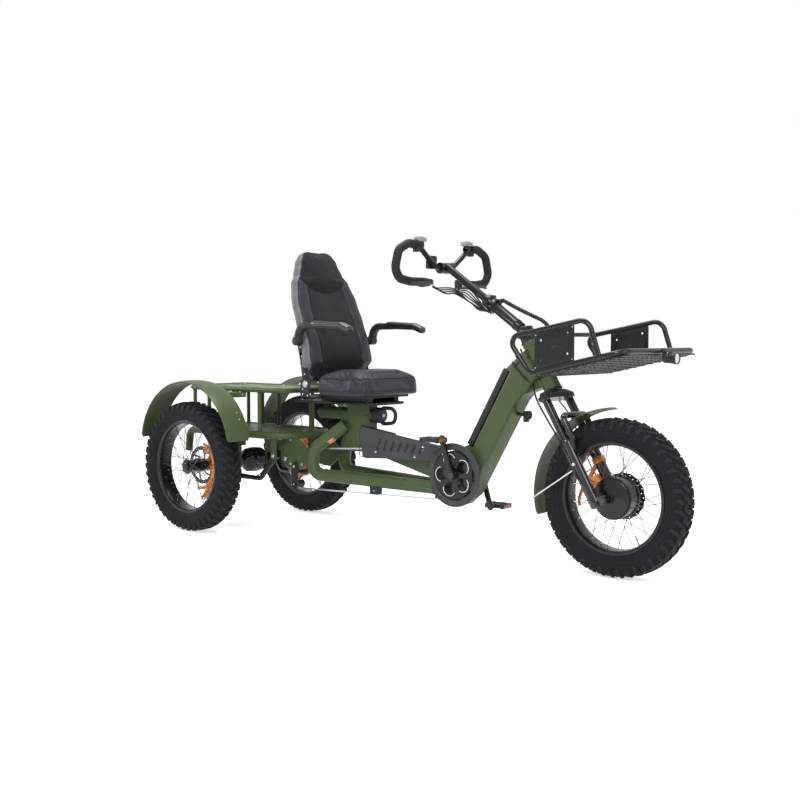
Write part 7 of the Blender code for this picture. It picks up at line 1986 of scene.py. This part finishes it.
def area_light(name, place, target, size, energy):
    data = bpy.data.lights.new(name, "AREA")
    data.shape = "DISK"
    data.size = size
    data.energy = energy
    lamp = placed(name, data)
    lamp.location = place
    lamp.rotation_euler = (Vector(target) - Vector(place)).to_track_quat("-Z", "Y").to_euler()


def seen_plain(tree):
    """1 for rays that show the background itself: to the camera, in gloss or through glass."""
    path = node(tree, "ShaderNodeLightPath")
    result = path.outputs["Is Camera Ray"]
    for name in ("Is Glossy Ray", "Is Transmission Ray"):
        most = node(tree, "ShaderNodeMath", operation="MAXIMUM")
        tree.links.new(result, most.inputs[0])
        tree.links.new(path.outputs[name], most.inputs[1])
        result = most.outputs["Value"]
    return result


def make_world():
    world = bpy.data.worlds.new("studio")
    bpy.context.scene.world = world
    world.use_nodes = True
    tree = world.node_tree
    tree.nodes.clear()
    link = tree.links.new
    out = node(tree, "ShaderNodeOutputWorld")
    white = node(tree, "ShaderNodeBackground", Color=(1, 1, 1, 1), Strength=1.0)
    sky = node(tree, "ShaderNodeBackground", Strength=SKY_STRENGTH)
    axes = node(tree, "ShaderNodeSeparateXYZ")
    link(node(tree, "ShaderNodeTexCoord").outputs["Generated"], axes.inputs[0])
    ramp = node(tree, "ShaderNodeMapRange", From_Min=-0.4, From_Max=0.9, To_Min=SKY_LOW,
                To_Max=SKY_HIGH)
    link(axes.outputs["Z"], ramp.inputs["Value"])
    shade = node(tree, "ShaderNodeCombineColor")
    for index in range(3):
        link(ramp.outputs["Result"], shade.inputs[index])
    link(shade.outputs["Color"], sky.inputs["Color"])
    mix = node(tree, "ShaderNodeMixShader")
    for index, source in enumerate((seen_plain(tree), sky.outputs[0], white.outputs[0])):
        link(source, mix.inputs[index])
    link(mix.outputs[0], out.inputs["Surface"])


def make_floor():
    bm = bmesh.new()
    bmesh.ops.create_grid(bm, x_segments=1, y_segments=1, size=12)
    mesh = bpy.data.meshes.new("floor")
    bm.to_mesh(mesh)
    bm.free()
    floor = placed("floor", mesh)
    floor.location.z = -0.0005
    paper = bpy.data.materials.new("white paper")
    paper.use_nodes = True
    tree = paper.node_tree
    shader = tree.nodes["Principled BSDF"]
    for key, value in (("Base Color", (PAPER, PAPER, PAPER, 1)), ("Roughness", 0.9),
                       ("Specular IOR Level", 0.1), ("Emission Color", (1, 1, 1, 1))):
        shader.inputs[key].default_value = value
    glow = node(tree, "ShaderNodeMath", operation="MULTIPLY")
    glow.inputs[1].default_value = PAPER_GLOW
    tree.links.new(seen_plain(tree), glow.inputs[0])
    tree.links.new(glow.outputs["Value"], shader.inputs["Emission Strength"])
    mesh.materials.append(paper)


def make_stage():
    make_world()
    make_floor()
    for light in LIGHTS:
        area_light(*light)
    data = bpy.data.cameras.new("camera")
    data.lens = LENS_LENGTH
    data.sensor_width = SENSOR
    camera = placed("camera", data)
    camera.location = CAMERA_PLACE
    camera.rotation_euler = (math.radians(90 + CAMERA_TILT), 0, math.radians(CAMERA_TURN))
    scene = bpy.context.scene
    scene.camera = camera
    scene.render.engine = "CYCLES"
    scene.render.resolution_x = scene.render.resolution_y = IMAGE_SIZE
    scene.view_settings.view_transform = "Standard"
    scene.cycles.seed = 3


def main():
    for label, side in SIDES.items():
        for dress in (dress_rear_wheel, dress_rear_fender, dress_lower_tube, dress_pedal,
                      dress_armrest):
            dress(label, side)
    for dress in (dress_front_wheel, dress_front_fender, dress_down_tube, dress_mast, dress_chain,
                  dress_cassette, dress_derailleur, dress_crank, dress_chain_guard, dress_deck,
                  dress_rack, dress_axle, dress_fork, dress_front_caliper, dress_tiller,
                  dress_handlebar, dress_display, dress_cable_bundle, dress_front_rack,
                  dress_headlight, dress_seat_base, dress_cushion, dress_backrest, dress_fasteners):
        dress()
    make_stage()


main()
